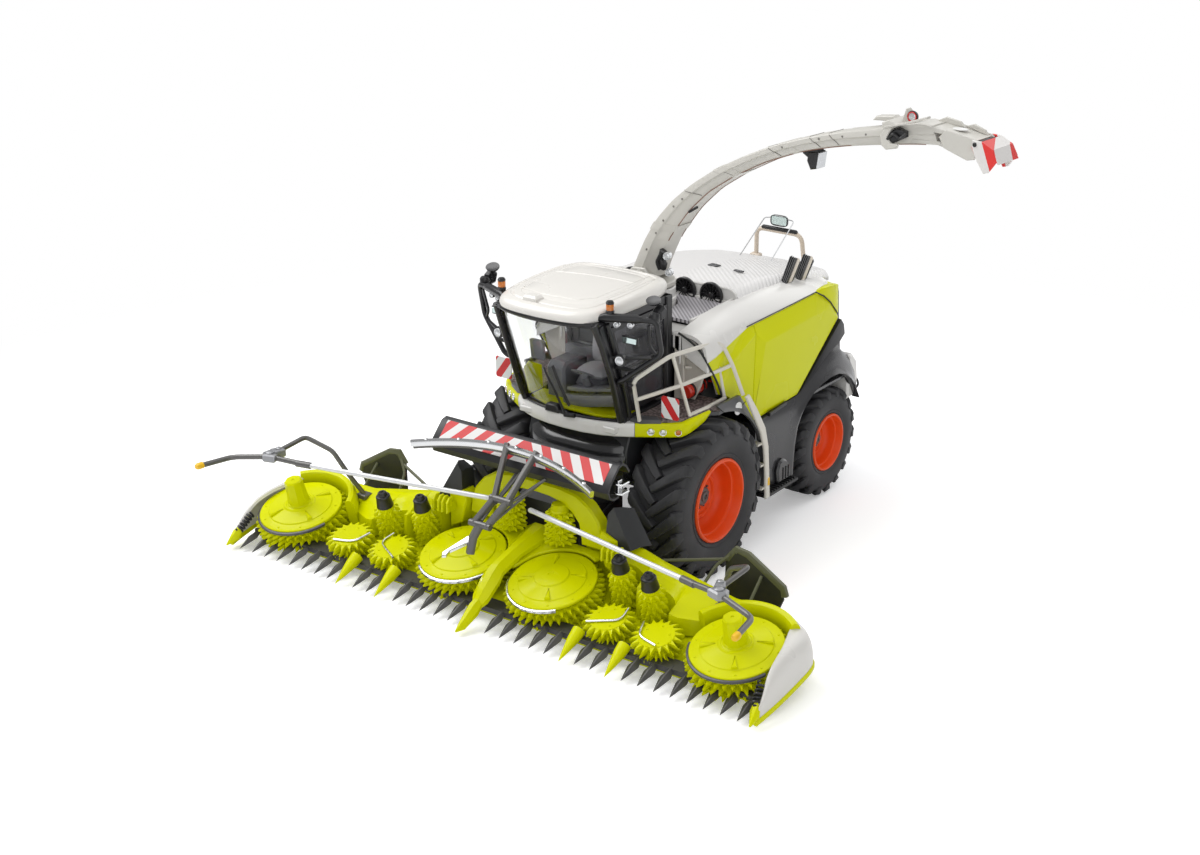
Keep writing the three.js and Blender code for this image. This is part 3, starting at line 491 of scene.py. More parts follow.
def big_rotor(tall):
    """The cover is turned; ribs are tapered wedges on it; three rings of hooked teeth stand below."""
    shared = [(0, -9.2), (14.0, -9.2), (14.2, -8.9), (14.2, -1.4), (16.2, -1.2), (16.35, -0.9), (16.35, -0.3),
              (16.1, 0.0), (13.0, 0.25), (12.7, 0.35), (12.4, 0.75), (11.9, 0.9)]
    low_hub = [(6.9, 1.9), (6.6, 2.0), (6.3, 2.5), (5.9, 2.7), (1.3, 2.85), (1.1, 2.5), (0, 2.5)]
    tall_hub = [(6.6, 1.7), (6.3, 1.85), (5.9, 2.3), (5.3, 2.35), (5.1, 2.1), (4.6, 2.2), (4.3, 2.8), (3.0, 3.0),
                (0, 3.0)]
    made = [turned(shared + (tall_hub if tall else low_hub), 72)]
    if tall:
        made.append(turned([(0, 2.6), (4.4, 2.6), (3.9, 6.0), (3.6, 12.2), (3.1, 12.7), (0.7, 12.75), (0.5, 12.4),
                            (0, 12.4)], 8))
    rib = slab([(6.8, -0.15), (12.4, -1.0), (12.4, 1.0), (6.8, 0.15)], 0.4, 1.9, edge=0.3)
    for index in range(4):
        turn = np.pi / 2 * index + 0.5
        spin = np.array([[np.cos(turn), np.sin(turn), 0], [-np.sin(turn), np.cos(turn), 0], [0, 0, 1]])
        made.append(moved(rib, lambda points: points @ spin))
    made.append(dots(round_places(10, 14.6, 0.1, 0.2), 0.42, 0.3))
    made.append(hooked_ring(36, 15.3, 18.5, -3.5, -2.1, droop=0.4))
    made.append(hooked_ring(36, 15.3, 18.5, -6.3, -4.9, turn=0.08, droop=0.4))
    made.append(hooked_ring(42, 15.3, 18.0, -9.2, -7.8, turn=0.05, droop=0.3))
    return several(made)


def small_rotor():
    """A flat star plate over two more rings of long hooked teeth about a short drum."""
    made = [turned([(0, -6.8), (5.6, -6.8), (5.8, -0.4), (6.6, 0.15), (6.5, 0.4), (0, 0.5)], 32)]
    made.append(hooked_ring(18, 6.4, 9.6, -1.1, 0.35, droop=0.7, hook=0.45))
    made.append(hooked_ring(18, 5.4, 9.3, -3.4, -2.0, turn=0.17, droop=0.7, hook=0.45))
    made.append(hooked_ring(24, 5.4, 8.6, -5.8, -4.4, turn=0.05, droop=0.3))
    made.append(dots(round_places(5, 4.7, 0.45, 0.4), 0.38, 0.28))
    return several(made)


def feed_drum():
    """Five rings of long drooping hooked teeth on a slim core, each ring turned a little from the last."""
    made = [turned([(0, 0), (3.4, 0), (3.2, 14.6), (0, 14.8)], 24)]
    for level in range(5):
        made.append(hooked_ring(11, 3.4, 5.6 - 0.12 * level, 2.9 * level + 0.5, 2.9 * level + 2.1,
                                turn=0.24 * level, droop=0.8))
    return several(made)


def drum_cap():
    """A stepped black cap, a profile turned about the drum's shaft."""
    return turned([(0, 14.8), (3.3, 14.8), (3.1, 16.0), (2.75, 18.6), (2.8, 19.1), (2.5, 19.5), (1.9, 19.6),
                   (1.8, 20.6), (1.4, 21.0), (0.6, 21.0), (0.5, 20.7), (0, 20.7)], 24)


def lip_arc(start, end):
    """A flat strip bent round the disc's rim: a small rectangle carried along an arc."""
    turn = np.linspace(start, end, 40)
    rings = []
    for angle in turn:
        corner = np.array([(16.5, -1.7), (16.9, -1.75), (17.25, -1.5), (17.25, -0.75), (16.9, -0.5), (16.5, -0.5)])
        rings.append(np.stack([corner[:, 0] * np.cos(angle), corner[:, 0] * np.sin(angle), corner[:, 1]], -1))
    return loft(rings)


lime = finish("lime_paint", (0.655, 0.685, 0.0), shade=0.93, rough=(0.2, 0.3), grain=1400, depth=0.015, coat=0.05)
lime.node_tree.nodes["Principled BSDF"].inputs["Specular IOR Level"].default_value = 0.1
cap_black = finish("cap_black", (0.012, 0.012, 0.013), rough=(0.28, 0.4), grain=1600)
bright = finish("bright_steel", (0.78, 0.79, 0.8), shade=0.85, rough=(0.12, 0.25), metal=1.0, grain=2500)
dark_strip = finish("dark_strip", (0.10, 0.10, 0.105), rough=(0.3, 0.45), metal=0.5)
for side, hand in (("left", 1), ("right", -1)):
    turn_over = (lambda points: points) if hand > 0 else mirrored
    for which, x, y in (("outer", 100.9, -69.9), ("inner", 20.9, -66.6)):
        seat = rotor_seat(x, y)
        body = f"big_rotor_{which}_{side}"
        put = lambda points: turn_over(leaned(points) + seat)
        piece(f"cutting_rotor_{which}_{side}", moved(big_rotor(which == "outer"), put), lime, body,
              [body], crease=32)
        strip = lip_arc(np.pi * 1.08, np.pi * 1.86) if which == "outer" else lip_arc(np.pi * 0.98, np.pi * 1.72)
        piece(f"rotor_lip_{which}_{side}", moved(strip, put), dark_strip if which == "outer" else bright, body,
              crease=50)
    for which, x, y in (("outer", 71.1, -73.9), ("inner", 50.4, -73.3)):
        seat = rotor_seat(x, y) - [0, 0, 2.2]
        body = f"small_rotor_{which}_{side}"
        put = lambda points: turn_over(leaned(points) + seat)
        piece(f"star_rotor_{which}_{side}", moved(small_rotor(), put), lime, body, [body], crease=32)
        rod = [(-7.4, 3.6, 1.0), (-5.2, -3.4, 1.0), (3.4, -5.4, 1.0)] if which == "outer" else \
            [(-5.6, -5.4, 1.0), (5.4, 0.2, 1.0), (4.2, 6.6, 1.0)]
        piece(f"star_rod_{which}_{side}", moved(tube(bent(rod, 3.2), 0.42, 8), put), bright, body)
    for which, x, y in (("outer", 61.5, -60.1), ("inner", 46.1, -56.2)):
        seat = rotor_seat(x, y) - [0, 0, 8.7]
        body = f"feed_drum_{which}_{side}"
        put = lambda points: turn_over(leaned(points) + seat)
        piece(f"ridged_drum_{which}_{side}", moved(feed_drum(), put), lime, body, [body], crease=40)
        piece(f"drum_cap_{which}_{side}", moved(drum_cap(), put), cap_black, body, crease=40)

# ---------- header frame ----------
# A pressed and welded lime frame: a floor under the rotors, a rear beam with a hollow round each feed
# drum, a rolled lip round each outer rotor, and in the middle a ridge, two covers and an arch.


def header_floor(x0, x1):
    """A bent plate: a profile of (y, z) along the lean of the rotors, carried along x."""
    front, back = rotor_seat(0, -79)[1:], rotor_seat(0, -46)[1:]
    profile = [(front[0], front[1] - 11.0), (back[0], back[1] - 11.4), (back[0], back[1] - 10.0),
               (front[0], front[1] - 9.9)]
    return slab(profile, x0, x1, axis="x", edge=0.2)


def wing_beam():
    """The rear beam: a plan outline with two round bites, carried upwards while its front edge is drawn
    back towards the rear edge, more and more, to round the top."""
    bite = np.linspace(np.pi * 1.02, -0.02 * np.pi, 13)
    inner = np.stack([46.1 + 6.5 * np.cos(bite), -57.0 + 6.0 * np.sin(bite)], -1)
    outer = np.stack([61.6 + 6.5 * np.cos(bite), -60.4 + 6.5 * np.sin(bite)], -1)
    front = np.vstack([[(39.9, -55.0)], inner, [(53.6, -61.0), (54.4, -61.0)], outer,
                       [(69.2, -64.2), (72.6, -63.6), (80.5, -59.4), (83.4, -57.6), (85.0, -53.0), (96.0, -50.5)]])
    rear = np.stack([front[:, 0], np.full(len(front), -45.4)], -1)[::-1]
    rings = []
    for height, drawn in ((9.0, 0.0), (24.0, 0.0), (27.6, 0.03), (30.0, 0.16), (31.4, 0.34), (32.6, 0.62),
                          (32.9, 0.9)):
        fall = np.interp(front[:, 0], [40, 47.5, 54.7, 66.7, 76, 96],
                         [3.2, 5.0, 7.0, 10.8, 13.0, 13.2]) * (height > 20)
        pulled = front + (rear[::-1] - front) * drawn * 0.9
        edge = np.column_stack([pulled, height - fall - 2.2 * (1 - drawn) * (height > 28)])
        back = np.column_stack([rear, np.minimum(height, 32.4) - fall[::-1]])
        rings.append(np.vstack([edge, back]))
    return loft(rings)


def rotor_lip():
    """The rolled lip round the outer rotor: a profile of (radius, height) carried along an arc about its
    shaft, flattened where the end cover closes it off."""
    turn = np.linspace(np.radians(48), np.radians(158), 36)
    rings = []
    for angle in turn:
        limit = 18.7 / max(np.cos(angle), 0.1)
        radius = np.array([18.8, 18.9, 19.5, 20.5, 21.5, 22.2, 22.4, 22.4, 19.4])
        height = np.array([-6.5, 1.2, 2.5, 2.9, 2.5, 1.2, -1.0, -8.5, -8.5])
        radius = np.minimum(radius, max(limit, 19.1) + (radius - 18.8) * 0.05)
        rings.append(np.stack([radius * np.cos(angle), radius * np.sin(angle), height], -1))
    made = moved(loft(rings), leaned)
    return moved(made, lambda points: points + rotor_seat(100.9, -69.9))


def ridge(stations, flat=0.35):
    """A tapering ridge along y: a six-sided section of given half width and height at each station."""
    rings = []
    for x, y, z, half, height in stations:
        side = np.array([(-1, -0.55), (-1, 0.1), (-flat, 1), (flat, 1), (1, 0.1), (1, -0.55)])
        rings.append(np.stack([x + side[:, 0] * half, np.full(6, y), z + side[:, 1] * height], -1))
    return loft(rings)


def inner_cover():
    """The fixed cover beside the inner rotor: a plate round the disc that runs up to a point in front of
    the arch, on the rotors' plane."""
    turn = np.linspace(np.radians(172), np.radians(62), 22)
    rim = np.stack([20.9 + 17.0 * np.cos(turn), 17.0 * np.sin(turn)], -1)
    outline = np.vstack([[(0.0, 20.6), (0.0, -2.0), (3.2, 0.5)], rim, [(30.0, 17.6), (28.0, 20.6)]])
    plate = slab(outline, -0.9, 0.7, edge=0.5)
    seat = rotor_seat(0, -66.6)
    return moved(plate, lambda points: leaned(points) + seat)


def arch_outline(width):
    """Half of the arch as an outline of (x, z): an outer curve and the same curve drawn in by width."""
    outer = np.array([(31.4, 24.0), (30.6, 30.0), (28.6, 35.0), (24.4, 39.8), (18.9, 43.1), (11.5, 44.3),
                      (0.0, 44.6)])
    inner = np.array([(0.0, 39.9), (6.4, 39.6), (12.0, 38.3), (16.6, 35.6), (19.6, 32.2), (20.6, 27.0), (20.8, 24.0)])
    return np.vstack([outer, inner + (inner - outer[::-1]) * (width - 1)])


def clevis(x, y, z):
    """Two round-ended lugs and the pin through them."""
    lug = [(y - 2.6, z - 3.5), (y + 3.0, z - 3.5), (y + 2.4, z + 0.5), (y + 0.9, z + 2.4), (y - 0.9, z + 2.4),
           (y - 2.4, z + 0.6)]
    pin = tube([(x - 2.3, y, z), (x + 2.3, y, z)], 1.0, 12)
    return several([slab(lug, x - 1.7, x - 0.7, "x", 0.2), slab(lug, x + 0.7, x + 1.7, "x", 0.2), pin])


wall = slab([(-39.6, 8.6), (39.6, 8.6), (39.6, 30.6), (31.0, 31.4), (20.6, 31.4), (20.6, 20.0), (-20.6, 20.0),
             (-20.6, 31.4), (-31.0, 31.4), (-39.6, 30.6)], -46.3, -42.6, "y", 0.4)
spine = ridge([(0, -96.2, 2.3, 0.25, 0.5), (0, -93.0, 3.2, 1.6, 1.8), (0, -86.5, 7.0, 2.6, 2.6),
               (0, -84.0, 8.4, 2.2, 2.0),
               (0, -82.0, 10.2, 3.4, 3.0), (0, -75.5, 15.6, 3.9, 3.2), (0, -72.5, 17.4, 3.2, 2.8),
               (0, -62.0, 20.6, 3.4, 2.6),
               (0, -47.0, 23.6, 6.0, 2.6)])
centre = [header_floor(-39.3, 39.3), wall, spine]
for turn_over in (lambda points: points, mirrored):
    for shape in (inner_cover(), slab(arch_outline(1.0), -49.6, -43.8, "y", 0.7),
                  slab([(33.4, 20.0), (38.9, 17.0), (38.9, 31.0), (32.0, 33.5), (30.4, 30.0)], -52.5, -46.0, "y",
                       0.5),
                  clevis(37.2, -55.2, 28.4)):
        centre.append(moved(shape, turn_over))
piece("header_middle", several(centre), lime, "header", ["header_centre"], crease=30)

for side, turn_over in (("left", lambda points: points), ("right", mirrored)):
    strap = slab([(92.5, -53.0), (92.5, -48.6), (112.4, -49.4), (112.4, -54.0), (108.0, -51.6), (101.0, -50.2)],
                 9.0, 17.0, edge=0.6)
    parts = [header_floor(39.8, 112.0), wing_beam(), rotor_lip(), strap, clevis(41.6, -55.2, 28.4),
             dots([(57.9, -49.5, 24.0), (78.0, -50.0, 18.6), (88.0, -48.6, 18.8)], 0.8, 0.4)]
    piece(f"wing_frame_{side}", moved(several(parts), turn_over), lime, "header", [f"wing_{side}"], crease=30)


def inner_feed_stack():
    """The feed rotor inside the arch: five rings of hooked teeth on a short drum, with a cap on top."""
    made = [turned([(0, -0.6), (3.6, -0.6), (3.6, 12.6), (3.2, 13.2), (2.8, 14.6), (1.6, 15.2), (0, 15.2)], 24)]
    for level in range(5):
        made.append(hooked_ring(13, 3.6, 6.2 - 0.2 * level, 2.6 * level, 2.6 * level + 1.3, turn=0.22 * level,
                                droop=0.5))
    return several(made)


stacks = []
for hand in (1, -1):
    place = np.array([11.4 * hand, -49.6, 23.6])
    stacks.append(moved(inner_feed_stack(), lambda points: points * [hand, 1, 1] + place))
piece("inner_feed_rotors", several(stacks), lime, "header", crease=32)

# ---------- fingers, cones and springs ----------
# Dark leaf-shaped steel fingers guide the stalks under the rotors, lime cones part them between the
# small rotors, and each end carries a lime point held by a black coil spring.


def finger(x):
    """A leaf: a six-sided section whose half width and thickness swell and then run out to a point."""
    rings = []
    for along, half, thick, rise in ((0, 1.0, 0.9, 5.6), (2.4, 1.4, 1.2, 4.9), (4.4, 2.05, 1.3, 4.2),
                                     (5.6, 1.95, 1.25, 3.9),
                                     (9.6, 0.85, 0.7, 2.6), (12.0, 0.08, 0.08, 1.9)):
        side = np.array([(-1, 0), (-0.15, 1), (0.15, 1), (1, 0), (0.15, -0.7), (-0.15, -0.7)])
        rings.append(np.stack([x + side[:, 0] * half, np.full(6, -78.8 - along), rise + side[:, 1] * thick], -1))
    return loft(rings)


def cone(start, end, radius):
    """A bullet: a circle carried from start to end whose radius falls slowly, then to a point."""
    share = np.array([0, 0.02, 0.3, 0.6, 0.85, 1.0])
    path = np.asarray(start) + share[:, None] * (np.asarray(end) - np.asarray(start))
    return tube(path, radius * np.array([0.7, 1.0, 0.86, 0.55, 0.24, 0.03]), 14)


def coil(start, end, radius, wire, turns):
    """A coil spring: a round wire carried along a helix between two points."""
    start, end = np.asarray(start, float), np.asarray(end, float)
    ahead = (end - start) / np.linalg.norm(end - start)
    aside = np.cross(ahead, [1.0, 0, 0])
    aside /= np.linalg.norm(aside)
    share = np.linspace(0, 1, turns * 16)[:, None]
    angle = share * turns * 2 * np.pi
    path = start + share * (end - start) + radius * (np.cos(angle) * aside + np.sin(angle) * np.cross(ahead, aside))
    return tube(path, wire, 6)


finger_steel = finish("finger_steel", (0.085, 0.083, 0.08), shade=0.75, rough=(0.34, 0.5), grain=2600, depth=0.03,
                      metal=0.35)
cone_places = (42.6, 62.0)
finger_places = [8.6 + 6.62 * index for index in range(17)]
finger_places = [x for x in finger_places if min(abs(x - spot) for spot in cone_places) > 2.8]
leaves = several([finger(x) for x in finger_places] + [finger(-x) for x in finger_places])
knife = slab([(-80.6, 4.2), (-74.5, 5.6), (-74.5, 6.6), (-80.6, 6.2)], -116.5, 116.5, "x", 0.2)
piece("fingers", several([leaves, knife]), finger_steel, "header", crease=25)
cones = [cone((x * hand, -79.6, 8.8), (x * hand * 1.004, -92.2, 2.0), 2.5) for x in cone_places for hand in (1, -1)]
piece("parting_cones", several(cones), lime, "header", crease=45)
for side, turn_over in (("left", lambda points: points), ("right", mirrored)):
    spring = coil((117.4, -80.6, 12.4), (118.6, -87.0, 6.8), 1.25, 0.42, 6)
    piece(f"end_spring_{side}", moved(spring, turn_over), cap_black, "header")
    point = ridge([(119.0, -86.4, 6.4, 1.6, 1.9), (119.5, -88.2, 5.2, 1.9, 2.2), (120.2, -92.2, 2.5, 0.3, 0.4)])
    piece(f"end_point_{side}", moved(point, turn_over), lime, "header", crease=30)

# ---------- end covers ----------
# Curved moulded covers in warm light grey close both ends of the header; each stands on a lime edge
# strip and is screwed to the frame at its rear.


def shell(front, back):
    """A closed wall from two equal grids of points, rows x columns x 3, its outer and inner faces."""
    return loft(np.concatenate([front, back[:, ::-1]], 1))


def flat_bar(path, half_width, half_height):
    """A flat bar: an eight-sided section carried along a path, kept upright."""
    path = np.asarray(path, float)
    ahead = np.gradient(path, axis=0)
    ahead /= np.linalg.norm(ahead, axis=1)[:, None]
    aside = np.cross(ahead, [0, 0, 1.0])
    aside /= np.linalg.norm(aside, axis=1)[:, None]
    up = np.cross(aside, ahead)
    side = np.array([(-1, -0.6), (-0.7, -1), (0.7, -1), (1, -0.6), (1, 0.6), (0.7, 1), (-0.7, 1), (-1, 0.6)])
    return loft(path[:, None] + aside[:, None] * side[None, :, :1] * half_width + up[:, None] * side[None, :, 1:]
                * half_height)


def end_lines():
    """The cover's bottom and top edges from the rear corner to the front, evenly resampled and smoothed
    by running means."""
    low = np.array([(112.6, -49.8, 9.2), (118.2, -50.2, 8.8), (121.0, -52.8, 8.6), (122.0, -58.0, 8.0),
                    (122.1, -64.0, 7.2),
                    (122.1, -70.0, 6.3), (122.0, -76.0, 5.4), (121.7, -81.0, 4.6), (121.3, -85.5, 3.9),
                    (120.8, -89.4, 3.2)])
    top = np.array([(112.6, -50.8, 20.8), (112.9, -52.8, 20.8), (113.0, -55.6, 20.5), (114.2, -59.4, 20.0),
                    (116.2, -64.8, 19.3),
                    (117.4, -70.6, 18.4), (118.2, -76.0, 16.9), (118.9, -80.2, 14.4), (119.7, -84.0, 9.6),
                    (120.3, -88.6, 5.4)])
    lines = []
    for line in (low, top):
        share = np.linspace(0, len(line) - 1, 46)
        fine = np.stack([np.interp(share, np.arange(len(line)), line[:, axis]) for axis in range(3)], -1)
        for _ in range(6):
            fine[1:-1] = (fine[:-2] + 2 * fine[1:-1] + fine[2:]) / 4
        lines.append(fine)
    return lines


def end_cover():
    """A shell whose section at each place is a quadratic curve: it rises upright from the bottom edge and
    bends over to the top edge."""
    low, top = end_lines()
    corner = np.column_stack([low[:, :2], top[:, 2] + 0.4])
    share = np.linspace(0, 1, 13)[None, :, None]
    skin = (1 - share) ** 2 * low[:, None] + 2 * share * (1 - share) * corner[:, None] + share ** 2 * top[:, None]
    inward = np.array([108.0, -66.0, 4.0]) - skin
    return shell(skin, skin + inward / np.linalg.norm(inward, axis=2)[..., None] * 1.1)


cover_grey = finish("cover_grey", (0.70, 0.685, 0.65), shade=0.93, rough=(0.24, 0.34), grain=1300, depth=0.015,
                    coat=0.25)
edge_line = end_lines()[0]
for side, turn_over in (("left", lambda points: points), ("right", mirrored)):
    piece(f"end_shell_{side}", moved(end_cover(), turn_over), cover_grey, "header",
          [f"end_cover_{side}"], crease=50)
    strip = moved(flat_bar(edge_line + [-0.3, 0, -0.9], 0.8, 1.0), turn_over)
    piece(f"end_edge_{side}", strip, lime, "header", crease=50)

# ---------- crop bars ----------
# Straight white tubes lead over the header to dark sleeves, grey clamps and bent rods with yellow
# caps; a bent prop carries each clamp from the wing.
bar_white = finish("bar_white", (0.74, 0.75, 0.76), shade=0.92, rough=(0.2, 0.32), metal=0.25, grain=2000)
rod_grey = finish("rod_grey", (0.15, 0.147, 0.142), shade=0.8, rough=(0.3, 0.42), metal=0.45, grain=2000)
clamp_grey = finish("clamp_grey", (0.34, 0.345, 0.36), shade=0.8, rough=(0.3, 0.42), metal=0.5, grain=2000)
cap_yellow = finish("cap_yellow", (0.85, 0.50, 0.01), shade=0.9, rough=(0.3, 0.4))
for side, turn_over in (("left", lambda points: points), ("right", mirrored)):
    white = tube(bent([(5.8, -58.6, 36.8), (8.6, -63.6, 40.0), (87.6, -79.5, 39.9)], 3), 0.95, 12)
    piece(f"crop_tube_{side}", moved(white, turn_over), bar_white, "header", [f"guide_bar_{side}"])
    far = bent([(86.0, -79.2, 39.9), (101.7, -83.2, 41.0), (117.6, -87.7, 38.7), (120.5, -102.6, 39.1)], 3)
    prop = bent([(101.0, -82.0, 42.0), (101.4, -64.4, 43.2), (91.6, -60.0, 38.2), (86.8, -56.6, 28.0),
                 (83.6, -52.0, 19.0)], 2)
    foot = slab([(81.4, -54.0), (86.0, -54.0), (86.0, -49.8), (81.4, -49.8)], 17.4, 19.6, edge=0.4)
    sleeve = tube([(84.6, -78.9, 39.9), (90.6, -80.4, 40.0)], 1.3, 12)
    piece(f"crop_rod_{side}", moved(several([tube(far, 1.05, 12), tube(prop, 0.95, 12), foot, sleeve]), turn_over),
          rod_grey, "header")
    clamp = several([slab([(98.2, -84.4), (99.6, -80.4), (104.4, -81.0), (105.2, -83.8), (103.0, -86.0)], 39.3,
                          42.6, edge=0.6),
                     slab([(99.6, -82.6), (98.0, -78.4), (101.0, -77.8), (103.4, -81.6)], 40.2, 43.6, edge=0.5),
                     dots([(101.8, -83.2, 42.6)], 1.7, 0.8, 16), dots([(100.4, -79.8, 43.6)], 1.1, 0.6, 12)])
    piece(f"crop_clamp_{side}", moved(clamp, turn_over), clamp_grey, "header")
    tip = tube([(120.2, -100.6, 39.1), (120.52, -102.8, 39.1), (120.6, -103.6, 39.1)], [1.3, 1.3, 0.9], 12)
    piece(f"crop_cap_{side}", moved(tip, turn_over), cap_yellow, "header")

# ---------- crop board ----------
# A black rolled board crosses in front of the bumper with red and white warning bands, a bright curved
# rail before it, and a linkage of dark arms that ends in a slotted tongue.


def board_shell():
    """A rolled plate: a centre line of (y, z) with a wall's thickness, carried along x."""
    line = np.array([(-46.8, 56.6), (-48.6, 59.4), (-50.8, 60.7), (-53.0, 60.2), (-55.6, 57.6), (-58.3, 54.8),
                     (-59.3, 52.4),
                     (-58.4, 50.2), (-56.0, 49.0), (-53.0, 49.2)])
    ahead = np.gradient(line, axis=0)
    ahead /= np.linalg.norm(ahead, axis=1)[:, None]
    across = np.stack([-ahead[:, 1], ahead[:, 0]], -1) * 0.5
    outline = np.vstack([line + across, (line - across)[::-1]])
    return slab(outline, -40.6, 40.6, "x", 0.15)


def rail_curve(reach, steps=41):
    """The rail's line: forward and down with the square of the distance from the middle."""
    x = np.linspace(-reach, reach, steps)
    share = (x / 41.2) ** 2
    return np.stack([x, -59.6 - 10.3 * share, 59.4 - 3.2 * share], -1)


def warning_bands(name, pitch, slope, mid=0.0):
    """Red and white slanting bands: the fraction of (distance from the middle + slope x height) / pitch
    picks one colour or the other; reflective sheet under a clear coat."""
    material = finish(name, (0.74, 0.73, 0.72), shade=0.95, rough=(0.35, 0.45), grain=3000, depth=0.01)
    nodes, links = material.node_tree.nodes, material.node_tree.links
    place = nodes.new("ShaderNodeTexCoord")
    parts = nodes.new("ShaderNodeSeparateXYZ")
    links.new(place.outputs["Object"], parts.inputs[0])

    def sum_of(operation, *inputs):
        """One math node on sockets or plain numbers."""
        node = nodes.new("ShaderNodeMath")
        node.operation = operation
        for socket, value in zip(node.inputs, inputs):
            if isinstance(value, float):
                socket.default_value = value
            else:
                links.new(value, socket)
        return node.outputs[0]

    away = sum_of("ABSOLUTE", sum_of("SUBTRACT", parts.outputs["X"], float(mid)))
    drawn = sum_of("ADD", away, sum_of("MULTIPLY", parts.outputs["Z"], float(slope)))
    band = sum_of("GREATER_THAN", sum_of("FRACT", sum_of("DIVIDE", drawn, pitch / 1000)), 0.5)
    white = nodes["Principled BSDF"].inputs["Base Color"].links[0].from_socket
    choose = nodes.new("ShaderNodeMix")
    choose.data_type = "RGBA"
    choose.inputs["B"].default_value = (0.60, 0.012, 0.014, 1)
    links.new(band, choose.inputs["Factor"])
    links.new(white, choose.inputs["A"])
    links.new(choose.outputs["Result"], nodes["Principled BSDF"].inputs["Base Color"])
    return material


board_black = finish("board_black", (0.014, 0.014, 0.016), rough=(0.34, 0.48), grain=1800, depth=0.03)
piece("crop_board", board_shell(), board_black, "header", ["guard_board"], crease=35)
bands = slab([(-53.15, 60.9), (-58.95, 55.0), (-58.7, 54.75), (-52.9, 60.65)], -37.6, 37.6, "x", 0.05)
piece("board_bands", bands, warning_bands("board_stripes", 8.6, 1.1, FOOT[0]), "header")
rail = flat_bar(rail_curve(41.2), 0.75, 1.25)
rivets = dots([spot + [0, 0, 1.2] for spot in rail_curve(36.0, 7)], 0.7, 0.5, 12)
piece("crop_rail", several([rail, rivets]), bright, "header", crease=40)
under = flat_bar(rail_curve(40.6) + [0, 0.4, -1.7], 0.7, 0.5)
clips = [slab([(40.2, -56.0), (43.6, -55.4), (43.6, -51.0), (40.2, -51.6)], z, z + 0.8, edge=0.2)
         for z in (51.0, 54.4)]
clips.append(slab([(-54.6, 50.4), (-52.2, 50.4), (-52.2, 55.8), (-54.6, 55.8)], 40.0, 41.4, "x", 0.2))
piece("board_clips", several(clips), bright, "header")
arms = [under]
for high, mid, low in ((-5.0, -0.1, -4.3), (8.6, 5.8, 1.6)):
    arms.append(flat_bar([(high, -58.6, 60.6), ((high + mid) / 2, -65.6, 53.0), (mid, -72.6, 45.2)], 1.0, 1.15))
    arms.append(flat_bar([(mid, -72.0, 45.6), (low, -79.6, 36.8)], 1.0, 1.2))
for x, far in ((1.5, 0.9), (15.0, 5.4)):
    arms.append(tube([(x, -54.0, 53.6), (far, -73.4, 43.8)], 0.6, 8))
    arms.append(tube([(x - 3.0, -55.0, 51.6), (far - 2.2, -78.4, 38.4)], 0.5, 8))
for y, z, x0, x1 in ((-72.4, 45.4, -1.8, 7.5), (-79.2, 37.2, -6.0, 3.3)):
    arms.append(tube([(x0, y, z), (x1, y, z)], 1.3, 12))
arms.append(flat_bar([(-1.6, -79.2, 37.0), (-3.0, -81.4, 32.6), (-3.8, -82.4, 26.6)], 1.2, 1.4))
piece("board_linkage", several(arms), rod_grey, "header", crease=35)
prong = slab([(-3.4, -80.0), (-6.2, -80.6), (-10.4, -90.0), (-9.4, -91.2), (-8.0, -90.6), (-8.0, -88.4),
              (-4.0, -83.0)],
             29.4, 30.8, edge=0.3)
piece("board_tongue", moved(prong, lambda p: p + np.stack([0 * p[:, 0], 0 * p[:, 0], (p[:, 1] + 84) * 0.42], -1)),
      bright, "header")

# ---------- guards and mud plates ----------
# Folded dark plates fill the corners beside the arch, and mud plates in olive frames stand behind the
# wings on thin rods.


def corner_guard():
    """A folded wedge: three sections of (x, z) at three depths."""
    front = np.array([(33.0, 27.0), (44.6, 28.8), (36.2, 43.0), (34.0, 40.0)])
    back = np.array([(34.0, 27.0), (47.4, 28.4), (39.6, 41.0), (35.0, 39.0)])
    rings = [np.stack([front[:, 0], np.array([-51.6, -51.9, -50.4, -50.8]), front[:, 1]], -1),
             np.stack([front[:, 0] * 0.4 + back[:, 0] * 0.6, np.full(4, -47.4),
                       (front[:, 1] + back[:, 1]) / 2 + 0.7], -1),
             np.stack([back[:, 0], np.full(4, -42.6), back[:, 1]], -1)]
    return loft(rings)


